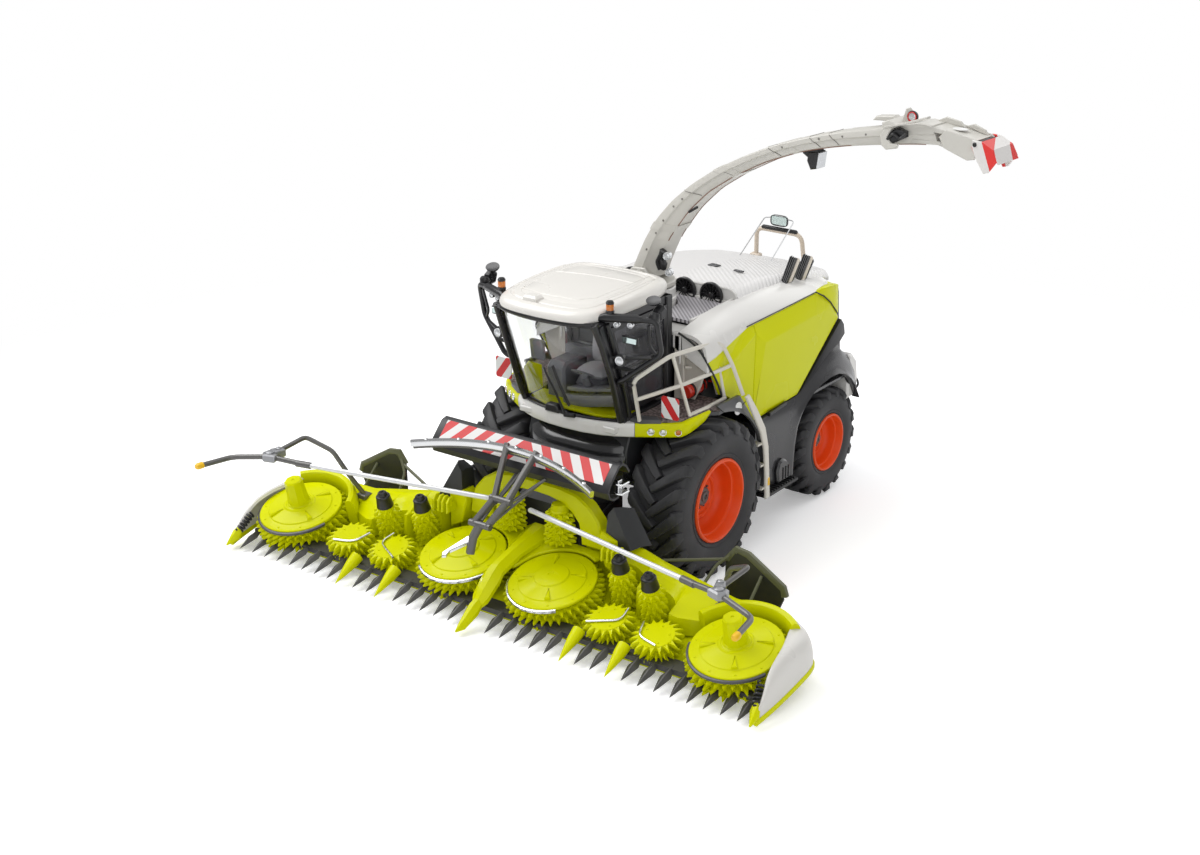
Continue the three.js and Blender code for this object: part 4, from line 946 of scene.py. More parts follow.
plate_dark = finish("plate_dark", (0.028, 0.029, 0.032), rough=(0.36, 0.5), grain=1500, depth=0.03)
olive = finish("olive_frame", (0.10, 0.105, 0.05), shade=0.8, rough=(0.35, 0.5), grain=1800)
for side, turn_over in (("left", lambda points: points), ("right", mirrored)):
    piece(f"corner_guard_{side}", moved(corner_guard(), turn_over), plate_dark, "header", crease=20)
    mud = slab([(74.6, 12.0), (75.0, 29.4), (78.6, 32.4), (83.4, 31.4), (97.8, 23.0), (99.0, 19.0), (95.6, 11.0)],
               -37.0, -36.0, "y", 0.2)
    piece(f"mud_plate_{side}", moved(mud, turn_over), board_black, "header")
    frame_bar = flat_bar([(75.6, -36.2, 28.4), (79.0, -36.0, 32.7), (83.8, -36.0, 31.9), (98.4, -36.2, 23.2),
                          (99.2, -36.2, 20.2)],
                         1.0, 1.3)
    rods = [tube(bent([(71.0, -46.4, 19.6), (73.0, -39.6, 26.6), (77.0, -37.0, 30.4)], 2), 0.6, 8),
            tube([(52.0, -46.0, 25.0), (76.4, -37.0, 28.8)], 0.6, 8),
            tube([(90.0, -46.0, 17.4), (90.0, -37.0, 25.8)], 0.6, 8)]
    heads = dots([(0, 0, 0)], 0.5, 0.3)
    rivet = [moved(heads, lambda p: p[:, [0, 2, 1]] * [1, -1, 1] + spot)
             for spot in ((79.4, -36.9, 32.0), (91.0, -36.9, 27.5), (97.6, -36.9, 23.4))]
    piece(f"mud_frame_{side}", moved(several([frame_bar, *rods, *rivet]), turn_over), olive, "header")


# ---------- chassis, axles and feeder house ----------
# A welded ladder frame in satin black carries both axles. The rear beam holds a knuckle on each kingpin;
# the feeder house is a folded steel trunk hung from the lift pin. Axle housings, ribs and hoses are added.
chassis_black = finish("chassis_black", (0.030, 0.030, 0.032), shade=0.7, rough=(0.42, 0.58), grain=1400, depth=0.05)
for name in ("chassis_frame", "front_axle", "rear_axle", "knuckle_left", "knuckle_right", "core_block",
             "feeder_house"):
    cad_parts[name].data.materials.clear()
    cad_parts[name].data.materials.append(chassis_black)
hubs = [moved(turned([(0, -3.2), (4.4, -3.2), (5.2, -1.0), (5.2, 1.0), (4.4, 3.2), (0, 3.2)], 24),
              lambda p: axis_to_x(p) + [x, 0, 31.0]) for x in (-22.0, 0.0, 22.0)]
piece("axle_housings", several(hubs), chassis_black, "machine")
ribs = [slab([(-33.0, 17.4), (-18.0, 21.0), (-18.0, 28.8), (-33.0, 32.6)], x, x + 1.2, "x", 0.2)
        for x in (-14.7, 13.5)]
ribs += [tube(bent([(x, -44.0, 20.0), (x, -36.0, 26.0), (x, -20.0, 32.0), (x, -14.5, 33.0)], 4), 0.6, 8)
         for x in (-16.0, 16.0)]
piece("feeder_ribs", several(ribs), cap_black, "header")

# ---------- front body and intake cover ----------
# A rounded glossy black moulding closes the front under the cab, above the feeder house.


def intake_cover():
    """A skin bent round in plan and drawn in at the bottom: y follows a fourth-power curve of x, z rises
    in steps with the profile's own setback; an inner skin follows behind."""
    across = np.linspace(-1, 1, 33)
    profile = np.array([(39.6, -25.6), (41.0, -27.6), (44.0, -28.6), (50.0, -28.8), (53.6, -27.4), (56.0, -23.6),
                        (59.3, -20.4), (60.3, -20.0)])
    half = 22.6
    rings = []
    for z, y in profile:
        front = np.stack([half * across, y + 5.0 * across ** 4, np.full(33, z)], -1)
        rings.append(np.vstack([front, (front + [0, 1.4, 0])[::-1]]))
    return loft(rings)


gloss_black = finish("gloss_black", (0.016, 0.016, 0.018), shade=0.8, rough=(0.14, 0.24), grain=1200, depth=0.01,
                     coat=0.5)
body_side = [(34, 44.5), (34, 61.6), (-18.5, 61.6), (-21.5, 58), (-24.0, 52), (-24.0, 44), (-21.5, 40.5),
             (-12, 39.2), (-12, 44.5)]
front_shapes = [slab(body_side, -22.8, 22.8, "x", 0.5)]
for hand in (1, -1):
    ear = slab([(-22.6, 32.4), (-17.4, 32.4), (-17.0, 39.8), (-23.0, 39.8)], 14.4, 16.8, "x", 0.3)
    front_shapes.append(moved(ear, (lambda p: p) if hand > 0 else mirrored))
    front_shapes.append(moved(dots([(0, 0, 0)], 1.7, 0.7, 16),
                              lambda p: p[:, [2, 1, 0]] * [hand, 1, 1] + [16.8 * hand, -20, 35]))
piece("front_box", several(front_shapes), plate_dark, "machine", ["front_body"])
piece("intake_cover", intake_cover(), gloss_black, "machine", crease=60)

# ---------- engine hood ----------
# A large moulded hood in warm grey: a patterned deck with a rounded front wall, and a broad curved panel
# down each side. Black rubber seals its front edge, and it is painted lime round the rear corners.


def deck_height(y):
    """The deck's height along its centre, a smooth line through a few stations."""
    return np.interp(y, [40, 52, 62, 72, 82, 92, 102, 112, 122],
                     [99.7, 99.75, 99.4, 98.4, 97.0, 95.1, 93.0, 90.7, 88.0])


def shoulder_height(y):
    """The height of the line where the deck meets the side panels."""
    return np.interp(y, [3, 9, 15, 22, 30, 40, 52, 63, 75, 82, 89.6, 99, 107.7, 113, 122],
                     [92.4, 93.8, 94.8, 95.7, 96.3, 96.5, 96.4, 96.0, 94.8, 94.0, 93.0, 90.9, 88.6, 87.9, 87.4])


def deck_top():
    """z falls from the deck's height to the shoulder's with the square of the way across the last 4.4 mm;
    rows run from the front wall to a parabola in plan."""
    across = np.concatenate([np.linspace(-30, -25, 11), np.linspace(-22, 22, 15), np.linspace(25, 30, 11)])
    share = np.linspace(0, 1, 41)[:, None]
    end = 121.6 - 22 * (across / 41) ** 2
    y = 40 + share * (end - 40)
    fall = np.clip((np.abs(across) - 25.4) / 4.6, 0, 1) ** 2
    high = deck_height(y) - 0.5 * (across / 25) ** 2
    z = high + (shoulder_height(y) - high) * fall
    top = np.stack([across + 0 * y, y, z], -1)
    return shell(top, top - [0, 0, 1.5])


def side_top():
    """Each station's section runs from the shoulder to the outer edge; its fall follows a power of the
    way across, rounder at the front, and the outer edge moves inwards behind y = 80."""
    y = np.array([3.0, 5, 8, 12, 17, 23, 30, 40, 50, 60, 70, 80, 84, 88, 92, 96, 100, 104])
    inner = np.interp(y, [3, 38, 40], [27.6, 27.6, 30.0])
    outer = np.interp(y, [3, 8, 80, 88, 94, 99, 104], [40.4, 40.9, 40.9, 38.9, 37.2, 35.4, 33.2])
    low = np.interp(y, [3, 8, 15, 22, 28.9, 40, 60, 80, 88, 94, 99, 104],
                    [82.9, 84.2, 86.0, 87.9, 89.9, 90.1, 90.4, 90.9, 90.7, 89.9, 88.7, 87.7])
    power = np.interp(y, [3, 12, 30, 60, 104], [3.4, 3.0, 2.3, 1.7, 1.3])[:, None]
    share = np.linspace(0, 1, 15)[None, :]
    bend = 1 - (1 - share ** power) ** (1 / np.maximum(power * 0.62, 1))
    high = shoulder_height(y)[:, None]
    z = high + (low[:, None] - high) * bend
    top = np.stack([inner[:, None] + (outer - inner)[:, None] * share, y[:, None] + 0 * share, z], -1)
    inside = top - np.stack([0.9 * share ** 2 + 0 * y[:, None], 0 * z, 1.4 + 0 * z], -1)
    return shell(top, inside)


def rear_corner():
    """The lime corner: a skin wrapped round the rear corner in plan, its top edge following the hood, its
    bottom edge rising to meet the side panel's seam."""
    plan = np.array([(41.1, 80.6), (41.7, 85.0), (41.9, 90.0), (41.7, 94.6), (41.0, 98.4), (39.2, 101.4),
                     (36.4, 103.6), (33.0, 105.4), (29.0, 107.6)])
    top = np.array([90.6, 91.3, 91.2, 90.4, 89.6, 88.6, 87.7, 87.2, 86.9])
    low = np.array([90.2, 88.6, 85.0, 80.6, 77.4, 76.6, 76.4, 76.4, 76.4])
    share = np.linspace(0, 1, 9)[None, :, None]
    lid_plan = np.array([(40.9, 80.2), (39.6, 85.0), (38.2, 89.4), (37.0, 93.4), (35.8, 97.0), (34.6, 99.8),
                         (33.4, 102.0), (31.0, 104.4), (28.6, 106.6)])
    lid = np.column_stack([lid_plan, [90.9, 90.9, 90.6, 90.0, 89.1, 88.4, 87.9, 87.6, 87.2]])[:, None]
    edge_top = np.column_stack([plan, top])[:, None]
    edge_low = np.column_stack([plan + [0.2, 0.4], low])[:, None]
    over = lid + (edge_top - lid) * share + [0, 0, 0.5] * np.sin(np.pi * share)
    down = edge_top + (edge_low - edge_top) * share[:, 1:]
    skin = np.concatenate([over, down], 1)
    middle = np.array([20.0, 60.0, 80.0])
    inward = (middle - skin) / np.linalg.norm(middle - skin, axis=2)[..., None]
    return shell(skin, skin + inward * 1.1)


def deck_pattern():
    """Pale hood grey whose bump is a chevron: a triangle wave of (distance rearward + distance from the
    middle), so that the pressed ribs meet on the centre line."""
    material = finish("patterned_deck", (0.72, 0.71, 0.70), shade=0.95, rough=(0.3, 0.42), grain=900, depth=0.02)
    nodes, links = material.node_tree.nodes, material.node_tree.links
    place = nodes.new("ShaderNodeTexCoord")
    parts = nodes.new("ShaderNodeSeparateXYZ")
    links.new(place.outputs["Object"], parts.inputs[0])
    middle = nodes.new("ShaderNodeMath")
    middle.operation = "SUBTRACT"
    middle.inputs[1].default_value = float(FOOT[0])
    links.new(parts.outputs["X"], middle.inputs[0])
    away = nodes.new("ShaderNodeMath")
    away.operation = "ABSOLUTE"
    links.new(middle.outputs[0], away.inputs[0])
    slant = nodes.new("ShaderNodeMath")
    slant.operation = "ADD"
    links.new(away.outputs[0], slant.inputs[0])
    links.new(parts.outputs["Y"], slant.inputs[1])
    wave = nodes.new("ShaderNodeMath")
    wave.operation = "PINGPONG"
    wave.inputs[1].default_value = 0.0013
    links.new(slant.outputs[0], wave.inputs[0])
    bump = nodes.new("ShaderNodeBump")
    bump.inputs["Strength"].default_value = 0.75
    bump.inputs["Distance"].default_value = 0.22
    links.new(wave.outputs[0], bump.inputs["Height"])
    links.new(nodes["Bump"].outputs["Normal"], bump.inputs["Normal"])
    links.new(bump.outputs["Normal"], nodes["Principled BSDF"].inputs["Normal"])
    return material


hood_grey = finish("hood_grey", (0.735, 0.725, 0.70), shade=0.95, rough=(0.2, 0.3), grain=1300, depth=0.012, coat=0.3)
inner_beige = finish("inner_beige", (0.56, 0.53, 0.47), shade=0.88, rough=(0.34, 0.46), grain=1500)
seal_black = finish("seal_black", (0.02, 0.02, 0.02), rough=(0.5, 0.6), grain=2500, depth=0.04)
wall = slab([(-29.6, 86.4), (29.6, 86.4), (29.7, 95.6), (28.9, 98.0), (27.2, 99.4), (25.0, 99.6), (-25.0, 99.6),
             (-27.2, 99.4), (-28.9, 98.0), (-29.7, 95.6)], 39.4, 41.2, "y", 0.35)
piece("hood_deck", deck_top(), deck_pattern(), "machine", crease=40)
rim = tube([(-29.4, 39.7, 95.4), (-28.7, 39.7, 97.9), (-27.1, 39.7, 99.2), (-25, 39.7, 99.6), (25, 39.7, 99.6),
            (27.1, 39.7, 99.2),
            (28.7, 39.7, 97.9), (29.4, 39.7, 95.4)], 0.55, 8)
parts = [wall, rim]
for turn_over in (lambda points: points, mirrored):
    parts.append(moved(side_top(), turn_over))
    bay = slab([(3.2, 80.0), (39.6, 84.0), (39.6, 96.4), (30, 96.0), (15, 94.4), (3.2, 92.0)], 27.2, 28.3, "x", 0.3)
    parts.append(moved(bay, turn_over))
    parts.append(moved(slab([(24.4, 86.0), (40.2, 78.0), (40.2, 82.6), (37.6, 86.4), (33.4, 89.6), (28.0, 91.8),
                             (24.4, 91.8)],
                            3.4, 5.0, "y", 0.3), turn_over))
parts.append(slab([(-27.3, 4.0), (27.3, 4.0), (27.3, 13.6), (-27.3, 13.6)], 90.2, 91.8, edge=0.4))
piece("hood_shell", several(parts), hood_grey, "machine", ["hood"], crease=38)
corners = []
for turn_over in (lambda points: points, mirrored):
    corners.append(moved(rear_corner(), turn_over))
piece("hood_corners", several(corners), lime, "machine", crease=34)
seals = []
for turn_over in (lambda points: points, mirrored):
    line = bent([(27.6, 2.8, 92.2), (33.2, 2.8, 89.8), (37.6, 2.8, 86.6), (40.4, 3.0, 82.6), (40.9, 9.0, 73.8),
                 (40.6, 12.6, 67.6)], 2.5)
    seals.append(moved(tube(line, 0.42, 8), turn_over))
    seam = np.array([(41.0, 80.2, 90.9), (42.0, 85.0, 88.3), (42.3, 90.0, 84.6), (42.2, 94.6, 80.2),
                     (41.9, 97.0, 78.0)])
    seals.append(moved(tube(seam, 0.28, 6), turn_over))
    edge = np.array([(40.9, 29.0, 90.1), (41.0, 45.0, 90.4), (41.0, 62.0, 90.6), (41.0, 80.2, 90.95)])
    seals.append(moved(tube(edge, 0.25, 6), turn_over))
piece("hood_seals", several(seals), seal_black, "machine")

# ---------- engine side panels ----------
# Pressed lime panels with a bevel along the top and a large flat facet in front. The rear part of each
# is the hinged door of the engine bay; the front part is fixed to the hood.


def faceted(points, faces, rim, inward):
    """A wall whose outer face is a few flat facets; the inner face is the same moved by inward, and a
    strip round the outline joins the two."""
    points = np.asarray(points, float)
    count = len(points)
    back = [[corner + count for corner in face[::-1]] for face in faces]
    sides = [[a, a + count, b + count, b] for a, b in zip(rim, rim[1:] + rim[:1])]
    return np.vstack([points, points + inward]), faces + back + sides


def door_skin():
    """The hinged part: twelve corners (x, y, z), the crease lines standing proud of the outline."""
    corner = [(41.0, 34.3, 50.2), (42.4, 65.8, 52.3), (41.9, 98.0, 76.0), (41.8, 96.3, 78.6), (41.7, 91.8, 85.0),
              (41.2, 85.0, 88.8), (40.7, 80.2, 90.4), (40.8, 34.3, 89.7), (42.0, 34.3, 85.8), (43.1, 39.5, 81.4),
              (42.7, 88.5, 82.6), (42.9, 63.0, 54.2)]
    faces = [[0, 8, 9], [0, 9, 11], [0, 11, 1], [8, 7, 9], [7, 6, 9], [9, 6, 10], [6, 5, 10], [5, 4, 10],
             [4, 3, 10], [3, 2, 10], [10, 2, 11], [2, 1, 11], [9, 10, 11]]
    rim = [0, 1, 2, 3, 4, 5, 6, 7, 8]
    return faceted(corner, faces, rim, (-1.5, 0, 0))


def cheek_skin():
    """The fixed part in front of the hinged one, with the same two facets carried on."""
    corner = [(41.0, 33.8, 50.6), (40.6, 28.4, 56.2), (40.4, 17.4, 65.4), (40.3, 12.4, 67.6), (40.3, 8.9, 73.9),
              (40.3, 3.2, 82.5), (40.6, 28.9, 89.9), (40.8, 33.8, 89.7), (42.0, 33.8, 85.9)]
    faces = [[0, 1, 8], [1, 2, 8], [2, 3, 4], [2, 4, 8], [4, 5, 6], [4, 6, 8], [6, 7, 8]]
    return faceted(corner, faces, [0, 1, 2, 3, 4, 5, 6, 7, 8], (-1.4, 0, 0))


for side, turn_over in (("left", lambda points: points), ("right", mirrored)):
    skin = piece(f"engine_door_{side}", moved(door_skin(), turn_over), lime, f"engine_panel_{side}",
                 [f"engine_panel_{side}"], crease=8, bevel=0.35)
    piece(f"engine_cheek_{side}", moved(cheek_skin(), turn_over), lime, "machine", crease=8, bevel=0.3)
    latch = slab([(43.6, 50.0), (56.4, 51.0), (56.4, 52.5), (43.6, 51.5)], 42.3, 43.5, "x", 0.2)
    piece(f"door_latch_{side}", moved(latch, turn_over), cap_black, f"engine_panel_{side}")

# ---------- rear cover ----------
# Dark moulded covers close the rear: a grille over the cooling air, a light grey corner with a red lamp
# on each side, and the tow hitch.


def rear_wall():
    """A skin curved in plan, set back above its middle: y falls with the square of x, and with height."""
    across = np.linspace(-1, 1, 25)
    rings = []
    for z, back in ((46.0, 0.4), (47.0, 0.9), (55.0, 0.8), (64.0, 0.0), (74.0, -1.6), (84.0, -2.4), (86.4, -3.2)):
        outer = np.stack([37.2 * across, 119.4 + back - 11.0 * across ** 2, np.full(25, z)], -1)
        rings.append(np.vstack([outer, (outer - [0, 3.0, 0])[::-1]]))
    return loft(rings)


def louvre(z):
    """A bent slat: a small profile carried across the rear wall's own curve."""
    across = np.linspace(-0.62, 0.62, 17)
    line = np.stack([37.2 * across, 119.9 - 11.0 * across ** 2 - (z - 60) * 0.09, np.full(17, z)], -1)
    return flat_bar(line, 0.6, 0.55)


dark_moulding = finish("dark_moulding", (0.034, 0.034, 0.037), shade=0.8, rough=(0.2, 0.32), grain=1300, depth=0.02,
                       coat=0.3)
piece("rear_wall", rear_wall(), dark_moulding, "machine", ["rear_cover"], crease=50)
piece("rear_louvres", several([louvre(z) for z in np.arange(56.0, 82.0, 2.6)]), cap_black, "machine")
hitch = [slab([(106.0, 26.0), (113.4, 26.0), (114.6, 30.0), (112.4, 36.0), (106.0, 36.0)], -4.0, 4.0, "x", 0.5),
         tube([(0, 112.2, 24.4), (0, 112.2, 34.0)], 1.1, 16)]
piece("tow_hitch", several(hitch), chassis_black, "machine")
lamp_red = finish("lamp_red", (0.62, 0.012, 0.012), shade=0.9, rough=(0.1, 0.16), grain=2500, coat=0.6)
for side, turn_over in (("left", lambda points: points), ("right", mirrored)):
    corner = slab([(106.4, 38.0), (113.6, 38.6), (114.4, 46.0), (113.2, 53.6), (109.6, 57.4), (106.4, 57.8)], 34.2,
                  43.2, "x", 0.9)
    piece(f"rear_corner_{side}", moved(corner, turn_over), hood_grey, "machine", crease=30)
    lamp = slab([(112.6, 46.2), (114.8, 46.2), (114.8, 51.4), (112.6, 51.6)], 37.6, 41.8, "x", 0.4)
    piece(f"tail_lamp_{side}", moved(lamp, turn_over), lamp_red, "machine")
    bracket = several([slab([(112.8, 39.6), (115.0, 39.6), (115.0, 46.0), (112.8, 46.0)], 37.0, 38.4, "x", 0.3),
                       tube(bent([(38.0, 113.6, 45.4), (42.0, 115.0, 45.4), (43.6, 114.8, 42.6),
                                  (42.0, 114.6, 40.2)], 2), 0.5, 8)])
    piece(f"lamp_bracket_{side}", moved(bracket, turn_over), cap_black, "machine")

# ---------- lower body and rear fenders ----------
# A glossy dark grey moulding on each side swells out to a rolled lip round the rear wheel. A ribbed
# step and a latch box stand at its foot, and a dark wedge fills in behind the engine panel.


def side_skirt():
    """Rows run from the outline to the wheel arch. The skin swells outwards with a sine of the way
    across and turns in at the arch to make the lip."""
    arch = np.array([(60.4, 20.4), (60.6, 26.0), (61.2, 33.0), (62.8, 39.5), (65.4, 44.4), (69.2, 48.3),
                     (74.4, 51.2), (80.4, 52.9),
                     (87.0, 53.7), (93.8, 53.4), (99.6, 51.6), (104.2, 48.2), (107.6, 44.2), (109.8, 40.6),
                     (111.4, 38.0)])
    edge = np.array([(34.6, 20.4), (34.6, 30.0), (34.6, 40.0), (34.8, 49.6), (50.0, 50.8), (66.6, 52.0),
                     (74.2, 57.0), (81.8, 61.2),
                     (89.6, 64.2), (96.0, 65.6), (100.4, 61.4), (107.6, 56.6), (111.8, 50.4), (113.4, 44.4),
                     (113.8, 38.0)])
    share = np.array([0, 0.12, 0.3, 0.5, 0.7, 0.84, 0.93, 0.97, 1.0, 1.0])[None, :, None]
    flat = edge[:, None] + (arch - edge)[:, None] * share
    swell = np.array([0.0, 0.7, 1.4, 2.0, 2.5, 3.0, 3.6, 3.8, 3.3, 1.6])
    x = 42.3 + swell[None, :] * np.linspace(0.72, 1.0, 15)[:, None]
    skin = np.concatenate([x[..., None], flat], -1)
    behind = skin.copy()
    behind[..., 0] = np.minimum(skin[..., 0] - 1.2, 43.6) - 0.2
    return shell(skin, behind)


def dark_wedge():
    """A long wedge between the engine panel and the fender, widest at the rear."""
    corner = [(42.6, 67.6, 52.6), (42.9, 98.6, 75.2), (42.6, 101.6, 72.2), (42.6, 102.6, 68.0), (43.6, 96.2, 65.8),
              (43.6, 88.6, 63.8),
              (43.4, 80.0, 59.6), (43.0, 72.0, 55.2)]
    return faceted(corner, [[0, 1, 7], [7, 1, 6], [6, 1, 5], [5, 1, 4], [4, 1, 2], [4, 2, 3]], list(range(8)),
                   (-1.6, 0, 0))


for side, turn_over in (("left", lambda points: points), ("right", mirrored)):
    parts = [side_skirt(), slab([(34.8, 20.2), (60.2, 20.2), (60.2, 49.0), (34.8, 49.0)], 18.4, 42.2, "x", 0.6),
             slab([(62, 48.8), (62, 50.2), (105, 50.2), (105, 48.8)], 33.6, 43.0, "x", 0.2)]
    piece(f"side_skirt_{side}", moved(several(parts), turn_over), dark_moulding, "machine",
          [f"lower_body_{side}"], crease=40)
    piece(f"side_wedge_{side}", moved(dark_wedge(), turn_over), board_black, "machine", crease=20)
    tread = [slab([(40.6, 36.2), (47.4, 36.2), (47.4, 60.0), (40.6, 60.0)], 18.6, 19.8, edge=0.2)]
    tread += [slab([(41.2, y), (47.0, y), (47.0, y + 0.8), (41.2, y + 0.8)], 19.7, 20.4, edge=0.15)
              for y in np.arange(37.0, 59.6, 1.9)]
    piece(f"ribbed_step_{side}", moved(several(tread), turn_over), cap_black, "machine")
    box = slab([(48.0, 20.4), (57.0, 20.4), (57.0, 25.0), (55.4, 28.4), (51.4, 30.2), (48.6, 29.4), (47.2, 26.0)],
               42.0, 45.6, "x", 0.8)
    slots = [slab([(y, 21.4), (y + 1.0, 21.4), (y + 1.0, 26.0), (y, 26.6)], 45.4, 46.0, "x", 0.15)
             for y in (51.0, 53.0, 55.0)]
    piece(f"latch_box_{side}", moved(several([box, *slots]), turn_over), gloss_black, "machine")

# ---------- bumper ----------
# One moulded band runs round the cab's foot: warm grey in the middle, lime at the ends, where two round
# lamps and an amber one are let in. It is screwed to the cab floor.
BUMPER_PLAN = np.array([(0, -31.9), (8, -31.5), (15.7, -29.9), (20.5, -28.0), (24.9, -25.6), (33.0, -20.3),
                        (38.4, -16.7), (41.2, -14.2),
                        (42.5, -11.4), (43.0, -8.0), (43.1, -3.0), (42.9, 1.4)])


def band(first, last, steps=24):
    """The band between two shares of its length: a rounded section of (outset, z) carried along the plan
    curve; towards the end the lower edge rises over the tyre."""
    length = np.concatenate([[0], np.cumsum(np.linalg.norm(np.diff(BUMPER_PLAN, axis=0), axis=1))])
    here = np.linspace(first, last, steps) * length[-1]
    plan = np.stack([np.interp(here, length, BUMPER_PLAN[:, 0]), np.interp(here, length, BUMPER_PLAN[:, 1])], -1)
    ahead = np.gradient(plan, axis=0)
    ahead /= np.linalg.norm(ahead, axis=1)[:, None]
    out = np.stack([ahead[:, 1], -ahead[:, 0]], -1)
    out *= np.sign(out[:, 1:] * -1 + out[:, :1] * 0.5)
    share = here / length[-1]
    rise = np.interp(share, [0, 0.74, 0.80, 0.95, 1.0], [0, 0, 0.9, 3.0, 4.6])
    lift = np.interp(share, [0, 0.72, 0.84, 1.0], [0, 0, 0.9, 0.8])
    section = [(-2.2, 59.6, 1), (-0.5, 59.2, 1), (0.1, 59.7, 1), (0.3, 60.8, 0.85), (0.35, 62.4, 0.5),
               (0.2, 63.9, 0.1), (-0.2, 64.6, 0),
               (-2.4, 65.0, 0), (-2.6, 64.4, 0)]
    rings = []
    for spot, away, up, top in zip(plan, out, rise, lift):
        rings.append([(*(spot + away * outset), z + up * low + top * (1 - low)) for outset, z, low in section])
    return loft(rings)


def round_lamp(place, facing, radius, depth):
    """A bezel, a rounded ring turned about the lamp's own axis, and the lens, a low dome inside it."""
    facing = np.asarray(facing, float) / np.linalg.norm(facing)
    aside = np.cross(facing, [0, 0, 1.0])
    aside /= np.linalg.norm(aside)
    basis = np.stack([aside, np.cross(aside, facing), facing])
    ring = turned(np.array([(0.98, -depth), (1.0, 0.1), (0.93, 0.34), (0.8, 0.3), (0.74, 0.05), (0.7, -depth)]) *
                  [radius, 1.0], 24, closed=True)
    lens = turned(np.array([(0, -depth), (0.75, -depth), (0.75, 0.06), (0.5, 0.26), (0.22, 0.34), (0, 0.36)])
                  * [radius, 1.0], 24)
    put = lambda points: points @ basis + place
    return moved(ring, put), moved(lens, put)


lens_clear = finish("lens_clear", (0.80, 0.82, 0.84), shade=0.7, rough=(0.05, 0.1), grain=2600, depth=0.03,
                    metal=0.6, patch=600)
lens_amber = finish("lens_amber", (0.72, 0.20, 0.01), shade=0.6, rough=(0.08, 0.16), grain=2600, depth=0.03,
                    patch=500, coat=0.6)
middle_band = several([band(0.0, 0.458, 30), moved(band(0.0, 0.458, 30), mirrored)])
floor = slab([(-22, -30.0), (22, -30.0), (22, -22.5), (-22, -22.5)], 60.8, 63.2, edge=0.4)
piece("bumper_middle", several([middle_band, floor]), hood_grey, "machine", ["bumper_band"], crease=32)
for side, turn_over in (("left", lambda points: points), ("right", mirrored)):
    piece(f"bumper_end_{side}", moved(band(0.461, 1.0, 40), turn_over), lime, "machine", crease=32)
    lamps = [round_lamp((31.9, -21.3, 61.7), (0.57, -0.82, 0.0), 1.45, 1.2),
             round_lamp((35.6, -18.8, 61.5), (0.57, -0.82, 0.0), 1.45, 1.2)]
    amber = round_lamp((40.1, -15.5, 61.3), (0.62, -0.78, 0.0), 1.35, 1.2)
    piece(f"head_lamp_rings_{side}", moved(several([ring for ring, lens in lamps] + [amber[0]]), turn_over), bright,
          "machine")
    piece(f"head_lamp_lenses_{side}", moved(several([lens for ring, lens in lamps]), turn_over), lens_clear,
          "machine")
    piece(f"turn_lamp_{side}", moved(amber[1], turn_over), lens_amber, "machine")

# ---------- platform and front mudguard ----------
# A tread plate in rough brown-grey stands beside the cab on each side, and dark moulded mudguards
# follow the front tyre down to the ladder.


def tread_brown():
    """Brown-grey grit: a coarse cell pattern lightens the colour and lifts the surface."""
    material = finish("tread_brown", (0.085, 0.062, 0.058), shade=0.6, rough=(0.6, 0.8), grain=1500, depth=0.1)
    nodes, links = material.node_tree.nodes, material.node_tree.links
    place = nodes.new("ShaderNodeTexCoord")
    cells = nodes.new("ShaderNodeTexVoronoi")
    cells.inputs["Scale"].default_value = 900
    links.new(place.outputs["Object"], cells.inputs["Vector"])
    under = nodes["Principled BSDF"].inputs["Base Color"].links[0].from_socket
    choose = nodes.new("ShaderNodeMix")
    choose.data_type = "RGBA"
    choose.inputs["B"].default_value = (0.26, 0.21, 0.20, 1)
    spread = nodes.new("ShaderNodeMapRange")
    spread.inputs["From Min"].default_value = 0.35
    spread.inputs["From Max"].default_value = 0.9
    links.new(cells.outputs["Distance"], spread.inputs["Value"])
    links.new(spread.outputs["Result"], choose.inputs["Factor"])
    links.new(under, choose.inputs["A"])
    links.new(choose.outputs["Result"], nodes["Principled BSDF"].inputs["Base Color"])
    bump = nodes.new("ShaderNodeBump")
    bump.inputs["Strength"].default_value = 0.8
    bump.inputs["Distance"].default_value = 0.0003
    links.new(cells.outputs["Distance"], bump.inputs["Height"])
    links.new(nodes["Bump"].outputs["Normal"], bump.inputs["Normal"])
    links.new(bump.outputs["Normal"], nodes["Principled BSDF"].inputs["Normal"])
    return material


def mudguard():
    """A plate whose lower edge is an arc about the front axle and whose upper edge follows the platform
    and the ladder; its rim turns outwards."""
    turn = np.radians(np.linspace(82, -14, 26))
    arc = np.stack([33.9 * np.cos(turn), 31 + 33.9 * np.sin(turn)], -1)
    edge = np.array([(2.0, 67.4), (17.6, 67.0), (23.0, 60.2), (29.2, 52.2), (32.0, 46.0), (33.8, 38.0),
                     (34.8, 30.0), (34.9, 22.4)])
    length = np.concatenate([[0], np.cumsum(np.linalg.norm(np.diff(edge, axis=0), axis=1))])
    here = np.linspace(0, length[-1], 26)
    upper = np.stack([np.interp(here, length, edge[:, 0]), np.interp(here, length, edge[:, 1])], -1)
    share = np.array([0, 0.25, 0.5, 0.75, 0.92, 1.0])[None, :, None]
    flat = upper[:, None] + (arc - upper)[:, None] * share
    x = np.array([45.6, 46.0, 46.3, 46.6, 47.2, 47.3])[None, :] + 0 * flat[..., 0]
    skin = np.concatenate([x[..., None], flat], -1)
    return shell(skin, skin - [1.2, 0, 0])


